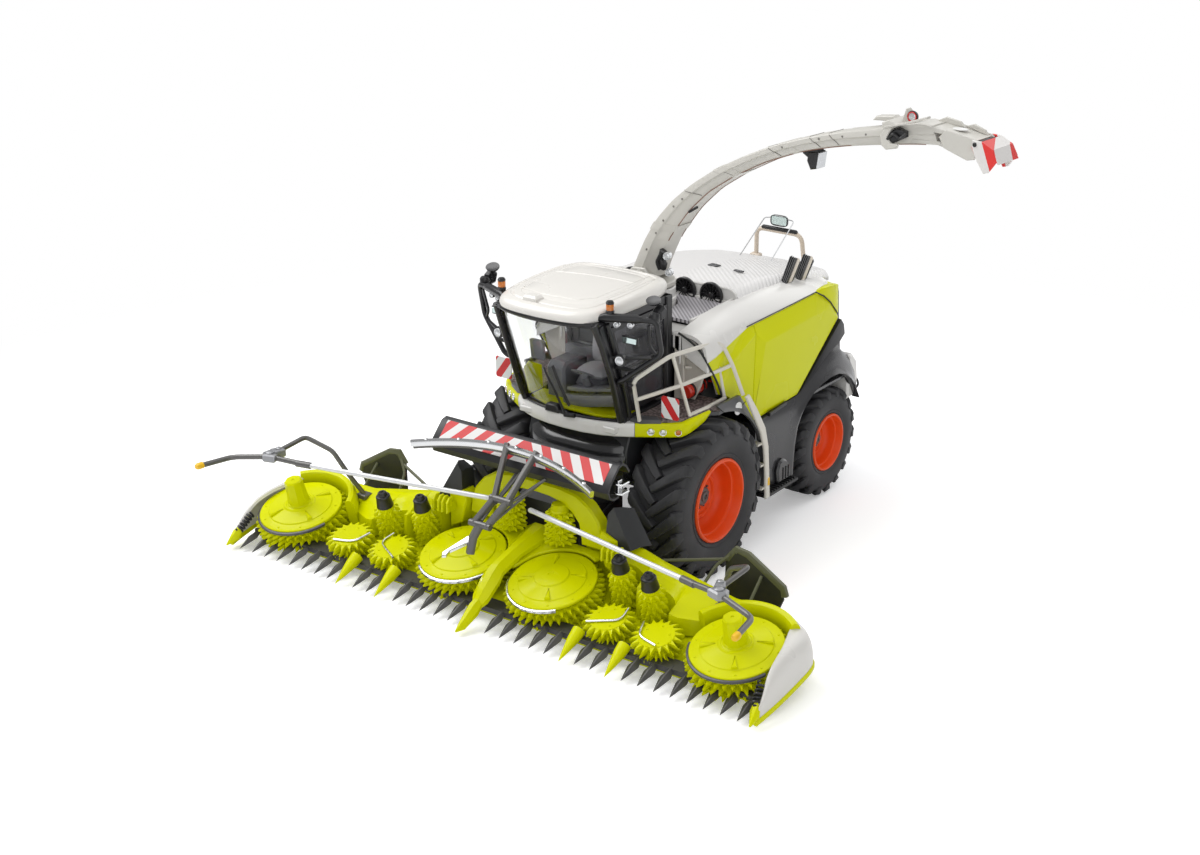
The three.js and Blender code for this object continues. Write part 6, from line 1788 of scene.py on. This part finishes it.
def punched_grey():
    """Grey sheet with rows of small holes: the product of two sine waves of place, cut at a level."""
    material = finish("punched_grey", (0.56, 0.54, 0.57), shade=0.92, rough=(0.35, 0.45), grain=2500, depth=0.01)
    nodes, links = material.node_tree.nodes, material.node_tree.links
    place = nodes.new("ShaderNodeTexCoord")
    parts = nodes.new("ShaderNodeSeparateXYZ")
    links.new(place.outputs["Object"], parts.inputs[0])
    waves = []
    for axis in ("X", "Y"):
        scaled = nodes.new("ShaderNodeMath")
        scaled.operation = "MULTIPLY"
        scaled.inputs[1].default_value = 2 * np.pi / 0.0019
        wave = nodes.new("ShaderNodeMath")
        wave.operation = "SINE"
        links.new(parts.outputs[axis], scaled.inputs[0])
        links.new(scaled.outputs[0], wave.inputs[0])
        waves.append(wave)
    product = nodes.new("ShaderNodeMath")
    product.operation = "MULTIPLY"
    links.new(waves[0].outputs[0], product.inputs[0])
    links.new(waves[1].outputs[0], product.inputs[1])
    hole = nodes.new("ShaderNodeMapRange")
    hole.inputs["From Min"].default_value = 0.0
    hole.inputs["From Max"].default_value = 0.35
    links.new(product.outputs[0], hole.inputs["Value"])
    shader = nodes["Principled BSDF"]
    under = shader.inputs["Base Color"].links[0].from_socket
    choose = nodes.new("ShaderNodeMix")
    choose.data_type = "RGBA"
    choose.inputs["B"].default_value = (0.10, 0.095, 0.105, 1)
    links.new(hole.outputs["Result"], choose.inputs["Factor"])
    links.new(under, choose.inputs["A"])
    links.new(choose.outputs["Result"], shader.inputs["Base Color"])
    return material


def screen_plate(low, high):
    """A flat plate between a circle and a rectangle: for each angle the inner point lies on the circle
    and the outer one on the rectangle."""
    corners = np.array([(-26.4, 12.4), (26.4, 12.4), (26.4, 39.4), (-26.4, 39.4), (-26.4, 12.4)])
    border = np.concatenate([np.linspace(a, b, 13)[:-1] for a, b in zip(corners[:-1], corners[1:])] + [corners[:1]])
    away = border - [0, 24]
    inner = [0, 24] + away / np.linalg.norm(away, axis=1)[:, None] * 10.8
    return loft([[(*a, low), (*b, low), (*b, high), (*a, high)] for a, b in zip(inner, border)], capped=False)


def fan(x, z):
    """A shroud, fourteen leaning blades and a hub, all about the fan's own axis, facing forward."""
    ring = turned([(4.3, -0.7), (5.1, -0.7), (5.2, 0.2), (4.9, 0.6), (4.4, 0.5)], 32, closed=True)
    back = turned([(0, -0.9), (4.5, -0.9), (4.5, -0.5), (0, -0.5)], 24)
    hub = turned([(0, -0.5), (1.2, -0.5), (1.2, 0.4), (0.9, 0.7), (0, 0.8)], 20)
    blades = []
    for turn in np.arange(14) * 2 * np.pi / 14:
        line = [(r * np.cos(turn + 0.09 * r), r * np.sin(turn + 0.09 * r), 0.1) for r in (1.1, 2.2, 3.3, 4.4)]
        blades.append(flat_bar(line, 0.16, 0.4))
    return moved(several([ring, back, hub, *blades]), lambda p: p[:, [0, 2, 1]] * [1, -1, 1] + [x, 38.5, z])


punched = punched_grey()
low_box = slab([(-32.6, 62.4), (32.6, 62.4), (32.6, 85.6), (27.0, 86.6), (27.0, 91.4), (-27.0, 91.4), (-27.0, 86.6),
                (-32.6, 85.6)],
               12.0, 39.2, "y", 0.4)
piece("radiator_case", low_box, chassis_black, "machine", ["radiator_box"])
ring = turned([(7.0, 91.0), (10.0, 91.0), (10.0, 95.4), (10.3, 95.8), (10.3, 96.8), (9.9, 97.2), (9.9, 100.4),
               (9.5, 100.9), (7.0, 100.9)],
              64, closed=True)
piece("turning_ring", moved(ring, lambda p: p + [0, 24, 0]), hood_grey, "machine")
piece("radiator_screen", screen_plate(92.8, 94.0), punched, "machine", ["radiator_grille"])
rails = [slab([(-27.0, 38.4), (27.0, 38.4), (27.0, 39.5), (-27.0, 39.5)], 92.8, 95.0, edge=0.2),
         slab([(26.3, 11.8), (27.4, 11.8), (27.4, 39.5), (26.3, 39.5)], 92.8, 95.0, edge=0.2),
         slab([(-27.4, 11.8), (-26.3, 11.8), (-26.3, 39.5), (-27.4, 39.5)], 92.8, 95.0, edge=0.2)]
piece("screen_rails", several(rails), hood_grey, "machine")
piece("fans", several([fan(x, 96.2) for x in (-18.5, -6.2, 6.2, 18.5)]), cap_black, "machine",
      crease=30)

# ---------- deck fittings ----------
# Two sunk handles, and on the left a pair of leaning louvred stacks in black and pale moulding.
pale_trim = finish("pale_trim", (0.74, 0.67, 0.58), shade=0.92, rough=(0.3, 0.42), grain=1500)
handle = slab([(-2.4, -1.3), (2.0, -1.5), (2.5, 1.1), (-1.8, 1.5)], 0, 0.5, edge=0.15)
grip = slab([(-2.2, -0.5), (2.0, -0.7), (2.3, 0.3), (-1.8, 0.6)], 0, 0.7, edge=0.15)
fittings = [moved(handle, lambda p: p + [3.2, 64.2, deck_height(64.2) + 0.1]),
            moved(grip, lambda p: p + [16.2, 62.0, deck_height(62.0) + 0.1])]
stacks, trims = [], []
for y, low, top in ((71.8, 94.6, 104.0), (82.2, 93.0, 102.4)):
    for index in range(4):
        across = 29.3 + 0.75 * index
        stacks.append(slab([(y, low), (y + 1.3, low), (y + 8.6, top - 0.25 * index), (y + 7.0, top - 0.25 * index)],
                           across, across + 0.5, "x", 0.12))
    stacks.append(slab([(y + 0.9, low), (y + 2.2, low), (y + 9.2, top - 0.8), (y + 7.9, top - 0.4)], 29.4, 31.9,
                       "x", 0.2))
    trims.append(slab([(y + 2.2, low), (y + 4.6, low), (y + 10.8, top - 2.0), (y + 10.0, top - 1.0),
                       (y + 9.0, top - 0.7)], 29.2, 32.2, "x", 0.3))
    stacks.append(slab([(y + 4.6, low), (y + 5.8, low), (y + 11.6, top - 3.4), (y + 10.8, top - 2.2)], 29.3, 32.1,
                       "x", 0.2))
piece("louvre_stacks", several(stacks), cap_black, "machine")
piece("stack_trims", several(trims), pale_trim, "machine")
piece("deck_handles", several(fittings), dark_moulding, "machine")

# ---------- hoop and rear mirror ----------
# A bent tube with a black pad bridges the rear of the deck, and a framed mirror stands over it on two
# thin bright wires.
hoop_grey = finish("hoop_beige", (0.62, 0.53, 0.43), shade=0.9, rough=(0.32, 0.45), grain=1500)
hoop_path = bent([(-9.9, 117.5, 88.4), (-9.9, 117.5, 101.4), (12.0, 117.5, 101.2), (13.6, 117.5, 89.6)], 3.4)
feet = [slab([(-12.2, 116.0), (-7.8, 116.0), (-7.8, 118.8), (-12.2, 118.8)], 88.0, 90.2, edge=0.4),
        slab([(11.6, 116.0), (15.4, 116.0), (15.4, 118.8), (11.6, 118.8)], 88.0, 90.0, edge=0.4)]
piece("rear_hoop", several([tube(hoop_path, 0.95, 10), *feet]), hoop_grey, "machine", ["spout_hoop"])
pad = tube([(-7.0, 117.2, 102.0), (-6.4, 117.2, 102.3), (9.4, 117.2, 102.2), (10.0, 117.2, 101.9)],
           [0.7, 0.95, 0.95, 0.7], 10)
mirror_rim = moved(turned([(3.3, -0.6), (3.9, -0.5), (4.0, 0.3), (3.5, 0.5), (3.2, 0.1)], 40, closed=True),
                   lambda p: np.stack([np.sign(p[:, 0]) * np.abs(p[:, 0] / 4) ** 0.55 * 4.2, p[:, 2],
                                       np.sign(p[:, 1]) * np.abs(p[:, 1] / 4) ** 0.55 * 2.4], -1) *
                   [1, -1, 1] + [1.9, 116.0, 106.3])
piece("hoop_pad", several([pad, mirror_rim]), cap_black, "machine")
piece("rear_mirror", slab([(-1.9, 104.4), (5.7, 104.4), (5.7, 108.2), (-1.9, 108.2)], 115.8, 116.3, "y", 0.15),
      mirror_glass, "machine")
wires = [tube(bent([(-8.4, 101.6, 92.6), (-4.8, 115.2, 106.9), (-2.0, 116.0, 107.2)], 1), 0.24, 6),
         tube(bent([(6.8, 101.6, 92.6), (9.4, 115.6, 107.2), (5.8, 116.0, 107.4)], 1), 0.24, 6)]
piece("mirror_wires", several(wires), bright, "machine")

# ---------- spout turret ----------
# The spout is drawn in its own plane: s runs outwards from the turning axis, w across and z up; it is
# then swung about the ring's axis to its stored side. The turret is a low collar with two ears.
SPOUT_OUTER = np.array([(-6.6, 104.2), (-3.6, 110.5), (0.8, 119.6), (6.6, 128.8), (14.2, 137.2), (23.4, 144.8),
                        (33.6, 151.6),
                        (46.0, 158.2), (58.4, 163.9), (71.4, 168.5), (83.0, 171.9), (96.0, 174.7), (111.0, 177.8),
                        (124.0, 180.2)])
SPOUT_INNER = np.array([(5.6, 105.6), (7.0, 110.5), (12.8, 122.6), (21.8, 134.4), (31.2, 143.2), (43.2, 151.0),
                        (56.6, 158.0),
                        (71.6, 163.8), (83.0, 166.9), (92.0, 168.9), (101.0, 170.5), (110.0, 171.9), (118.0, 173.1),
                        (126.0, 174.0)])


def in_spout(points):
    """(s, w, z) in the spout's plane to the model's own (x, y, z), swung to the stored side."""
    points = np.asarray(points, float)
    s, w, z = points[..., 0], points[..., 1], points[..., 2]
    return np.stack([s * 0.99619 + w * 0.08716, 24 - s * 0.08716 + w * 0.99619, z], -1)


def cheek(outline, low, high, edge=0.25):
    """A flat plate whose outline is given in (s, z), between two places across the spout."""
    return moved(slab(outline, low, high, "y", edge), in_spout)


def along(line, count):
    """A smooth line of (s, z) through the given points: a running mean over an even resampling."""
    length = np.concatenate([[0], np.cumsum(np.linalg.norm(np.diff(line, axis=0), axis=1))])
    fine = np.linspace(0, length[-1], 400)
    path = np.stack([np.interp(fine, length, line[:, 0]), np.interp(fine, length, line[:, 1])], -1)
    for _ in range(60):
        path[1:-1] = (path[:-2] + path[2:] + 2 * path[1:-1]) / 4
    return path[np.linspace(0, 399, count).astype(int)]


def spout_side(share, t, w):
    """The point of the arm at a share of its length, t of the way from the outer to the inner edge."""
    row = np.clip(np.asarray(share) * 95, 0, 95).astype(int)
    flat = SPOUT_ROWS[0][row] * (1 - t) + SPOUT_ROWS[1][row] * t
    return np.stack([flat[..., 0], np.zeros_like(flat[..., 0]) + w, flat[..., 1]], -1)


SPOUT_ROWS = along(SPOUT_OUTER, 96), along(SPOUT_INNER, 96)
spout_grey = finish("spout_grey", (0.60, 0.585, 0.54), shade=0.93, rough=(0.3, 0.42), grain=1300, depth=0.015)
collar = moved(turned([(0, 101.3), (9.4, 101.3), (9.9, 101.7), (9.9, 103.0), (9.4, 103.5), (0, 103.6)], 64),
               lambda p: p + [0, 24, 0])
ears = [cheek([(-6.4, 102.6), (-5.4, 106.8), (-3.6, 108.6), (2.4, 109.2), (4.2, 107.4), (5.2, 102.6)], w, w + 1.2,
              0.4) for w in (-6.7, 5.4)]
pins = [cheek([(0.9 * np.cos(a), 107.4 + 0.9 * np.sin(a)) for a in np.arange(16) * np.pi / 8], -7.1, 7.1, 0.2)]
piece("spout_turret_collar", several([collar, *ears, *pins]), spout_grey, "spout_turret", ["spout_base"])

# ---------- spout arm ----------
# The arm is welded from sheet: its upper channel is wider than its lower one, which leaves a long crease
# on each side. Plates, bolts, lamps and a collar are fixed on it.


def spout_tube(first, last, steps, grow=0.0):
    """Rings of one section of (w, t), t running from the outer to the inner edge, set along the arm."""
    section = [(-4.2, 0.0), (4.2, 0.0), (4.9, 0.03), (5.1, 0.10), (5.1, 0.42), (4.6, 0.50), (4.3, 0.90), (3.9, 1.0),
               (-3.9, 1.0), (-4.3, 0.90),
               (-4.6, 0.50), (-5.1, 0.42), (-5.1, 0.10), (-4.9, 0.03)]
    rings = []
    for share in np.linspace(first, last, steps):
        ring = []
        for w, t in section:
            ring.append(spout_side(share, 0.5 + (t - 0.5) * (1 + grow * 0.12), w * (1 + grow * 0.05)))
        rings.append(in_spout(np.array(ring)))
    return loft(rings)


arm = spout_tube(0, 1, 96)
strips = [spout_tube(a, a + 0.022, 3, 0.7) for a in (0.155, 0.41, 0.60)] + [spout_tube(0.775, 0.905, 12, 0.6)]
lump_line = np.linspace(0.235, 0.335, 13)
outer_edge = spout_side(lump_line, 0, 0)[:, [0, 2]]
away = np.gradient(outer_edge, axis=0)
away = np.stack([-away[:, 1], away[:, 0]], -1) / np.linalg.norm(away, axis=1)[:, None]
hump = outer_edge + away * (1.9 * np.sin(np.linspace(0, np.pi, 13)) ** 0.6)[:, None]
lump = cheek([*hump, *(outer_edge - away * 0.5)[::-1]], -2.6, 2.6, 0.4)
head_outline = [(112, 180.4), (119.0, 181.4), (129.7, 179.8), (140.6, 178.0), (142.2, 176.4), (140.6, 171.4),
                (137.8, 170.8), (129.0, 173.6), (118.0, 173.4)]
head = [cheek(head_outline[2:8] + [(127.0, 177.0)], -5.8, -4.9, 0.25),
        cheek(head_outline[2:8] + [(127.0, 177.0)], 4.9, 5.8, 0.25),
        cheek([(110, 178.4), (119.0, 180.4), (129.7, 179.2), (140.6, 177.6), (140.4, 176.6), (129, 177.8),
               (118, 178.4), (110, 176.8)], -5.0, 5.0, 0.2),
        cheek([(116, 173.2), (126, 174.0), (137.6, 171.6), (137.8, 172.4), (126.4, 175.2), (116, 174.8)], -4.6, 4.6,
              0.2),
        cheek([(120.4, 180.0), (124.0, 181.8), (129.4, 181.0), (131.4, 179.2)], 3.4, 4.4, 0.2),
        cheek([(131.6, 179.8), (134.4, 180.8), (138.6, 179.4), (140.0, 177.6)], 3.6, 4.6, 0.2)]
collar_side = [(107.2, 177.6), (105.6, 174.6), (106.4, 171.6), (108.2, 170.4), (112.4, 171.4), (112.8, 172.8),
               (110.0, 172.8), (108.6, 174.8), (110.0, 177.6),
               (112.4, 178.8)]
collar_plates = [cheek(collar_side, -8.0, -6.6, 0.3), cheek([(106.6, 177.0), (109.6, 177.8), (112.4, 179.2),
                                                             (109.0, 180.6), (106.2, 179.4)], -8.0, 5.8, 0.3),
                 moved(flat_bar([(107.4, -7.2, 178.0), (114.4, -6.9, 179.8), (123.4, -6.5, 183.0)], 1.1, 0.4),
                       in_spout),
                 cheek([(109.8, 178.6), (111.4, 183.6), (112.8, 184.2), (114.2, 183.0), (116.4, 179.6)], -1.6, -0.8,
                       0.2),
                 cheek([(96.8, 177.4), (98.2, 179.0), (104.8, 179.8), (107.0, 178.2)], 1.0, 5.0, 0.3)]
piece("spout_arm_sheet", several([arm, *strips, lump, *head, *collar_plates]), spout_grey, "spout",
      ["spout_arm"], crease=30)


def seam_line(share):
    """A thin line that follows the section round the near side, the outer face and the far side."""
    path = [spout_side(share, t, w) for t, w in ((0.9, -4.4), (0.52, -4.66), (0.42, -5.15), (0.1, -5.15),
                                                 (0.0, -4.2), (-0.005, 4.2), (0.1, 5.15), (0.42, 5.15), (0.9, 4.4))]
    return tube(in_spout(np.array(path)), 0.14, 6)


line_grey = finish("line_grey", (0.20, 0.19, 0.17), shade=0.8, rough=(0.4, 0.55), grain=1500)
seams = [seam_line(share) for share in (0.30, 0.418, 0.57, 0.69, 0.742)]
bolt_spots = [(0.09, 0.3), (0.14, 0.36), (0.185, 0.34), (0.235, 0.3), (0.27, 0.34), (0.6, 0.3), (0.71, 0.26),
              (0.77, 0.3), (0.84, 0.28)]
bolts = []
for share, t in bolt_spots:
    for w in (-5.1, 5.1):
        centre = spout_side(share, t, w)
        knob = turned([(0, -0.2), (0.42, -0.2), (0.42, 0.15), (0.25, 0.3), (0, 0.32)], 10)
        bolts.append(moved(moved(knob, lambda p: p[:, [0, 2, 1]] * [1, np.sign(w), 1] + centre), in_spout))
piece("spout_seams", several(seams + bolts), line_grey, "spout")
# A thin brown line runs along each inner edge of the arm.
brown_edge = finish("edge_brown", (0.24, 0.12, 0.08), shade=0.8, rough=(0.5, 0.65), grain=1500)
edges = [tube(in_spout(spout_side(np.linspace(0.12, 0.97, 60), 1.0, w)), 0.2, 6) for w in (-3.9, 3.9)]
piece("spout_inner_edges", several(edges), brown_edge, "spout")
black_parts = [moved(tube([(22.0, -4.2, 133.9), (25.9, -4.2, 136.4)], 0.5, 8), in_spout),
               cheek([(69.6, 164.6), (76.4, 166.4), (77.0, 163.6), (73.2, 161.2), (70.6, 162.6)], -2.2, 2.2, 0.4),
               cheek([(73.2, 163.8), (77.4, 164.2), (76.6, 158.0), (74.2, 157.4), (72.6, 160.4)], -2.6, 2.6, 0.5),
               cheek([(108.0, 173.0), (110.6, 172.8), (115.4, 175.4), (115.2, 177.4), (112.0, 178.2),
                      (108.6, 176.2)], -7.4, -5.0, 0.5),
               moved(tube(bent([(108.6, -7.7, 174.0), (111.0, -8.1, 176.4), (113.6, -7.7, 174.8),
                                (115.6, -7.5, 176.8)], 1), 0.5, 8), in_spout),
               cheek([(9.0, 110.2), (11.4, 109.8), (12.0, 112.4), (10.6, 114.0), (12.2, 117.0), (9.8, 118.0),
                      (8.2, 113.0)], -6.6, -3.8, 0.5),
               moved(tube(bent([(10.0, -6.6, 110.0), (8.8, -7.0, 113.0), (11.0, -7.0, 116.8)], 1), 0.6, 8), in_spout)]
lamp_case = moved(turned([(0, -1.4), (1.6, -1.2), (2.0, -0.4), (2.0, 0.3), (0, 0.3)], 24),
                  lambda p: in_spout(p[:, [0, 2, 1]] * [1, -1, 1] + [114.4, -2.0, 181.4]))
piece("spout_fittings", several([*black_parts, lamp_case]), cap_black, "spout")
lamp_facing = np.array([0.45, -1, 0.1])
silver = []
for s, z in ((13.0, 115.7), (14.0, 109.5)):
    ring, lens = round_lamp((s, -6.0, z), lamp_facing, 1.5, 2.4)
    silver += [moved(ring, in_spout), moved(lens, in_spout)]
silver.append(cheek([(77.4, 163.8), (78.1, 163.8), (77.3, 158.2), (76.6, 158.2)], -2.3, 2.3, 0.15))
piece("spout_lamps", several(silver), lens_clear, "spout")
ring, lens = round_lamp((114.4, -2.4, 181.4), (0.1, -1, 0.0), 1.75, 0.4)
piece("side_lamp_ring", moved(ring, in_spout), lamp_red, "spout")
piece("side_lamp_lens", moved(lens, in_spout), lens_clear, "spout")
oval = moved(turned([(0, 0), (2.2, 0), (2.2, 0.25), (1.9, 0.4), (0, 0.4)], 28),
             lambda p: in_spout(p * [1.3, 0.8, 1] + [131.6, 0, 179.2]))
piece("bare_oval_plate", oval, plate_white, "spout")
pin_spot = [(141.0 + 0.75 * np.cos(a), 176.6 + 0.75 * np.sin(a)) for a in np.arange(16) * np.pi / 8]
piece("flap_pins", cheek(pin_spot, -7.0, 7.0, 0.2), cap_black, "spout")

# ---------- spout flap ----------
# The flap is a short hood of bent sheet with red stripes, pinned to the arm's end plates.


def flap_stripes():
    """White sheet with red bands that slant with place along and across the flap."""
    material = finish("flap_stripes", (0.74, 0.72, 0.70), shade=0.95, rough=(0.3, 0.4), grain=2500, depth=0.01)
    nodes, links = material.node_tree.nodes, material.node_tree.links
    place = nodes.new("ShaderNodeTexCoord")
    across = nodes.new("ShaderNodeVectorMath")
    across.operation = "DOT_PRODUCT"
    across.inputs[1].default_value = (0.93, 0.30, 0.36)
    links.new(place.outputs["Object"], across.inputs[0])
    shift = nodes.new("ShaderNodeMath")
    shift.operation = "ADD"
    shift.inputs[1].default_value = 0.0012
    links.new(across.outputs["Value"], shift.inputs[0])
    wave = nodes.new("ShaderNodeMath")
    wave.operation = "PINGPONG"
    wave.inputs[1].default_value = 0.0036
    links.new(shift.outputs[0], wave.inputs[0])
    red = nodes.new("ShaderNodeMath")
    red.operation = "GREATER_THAN"
    red.inputs[1].default_value = 0.0019
    links.new(wave.outputs[0], red.inputs[0])
    shader = nodes["Principled BSDF"]
    under = shader.inputs["Base Color"].links[0].from_socket
    choose = nodes.new("ShaderNodeMix")
    choose.data_type = "RGBA"
    choose.inputs["B"].default_value = (0.72, 0.03, 0.025, 1)
    links.new(red.outputs[0], choose.inputs["Factor"])
    links.new(under, choose.inputs["A"])
    links.new(choose.outputs["Result"], shader.inputs["Base Color"])
    return material


flap_side = [(140.0, 178.0), (143.4, 177.9), (147.6, 175.8), (149.6, 172.4), (146.6, 168.2), (144.6, 167.6),
             (141.8, 171.6), (139.8, 175.6)]
flap = [cheek(flap_side, -6.6, -5.95, 0.2), cheek(flap_side, 5.95, 6.6, 0.2),
        cheek([(143.4, 177.9), (147.6, 175.8), (150.2, 171.4), (149.6, 171.2), (147.2, 175.2), (143.2, 177.2)],
              -6.3, 6.3, 0.15)]
piece("spout_flap_sheet", several(flap), flap_stripes(), "spout_flap", ["spout_flap"], crease=30)
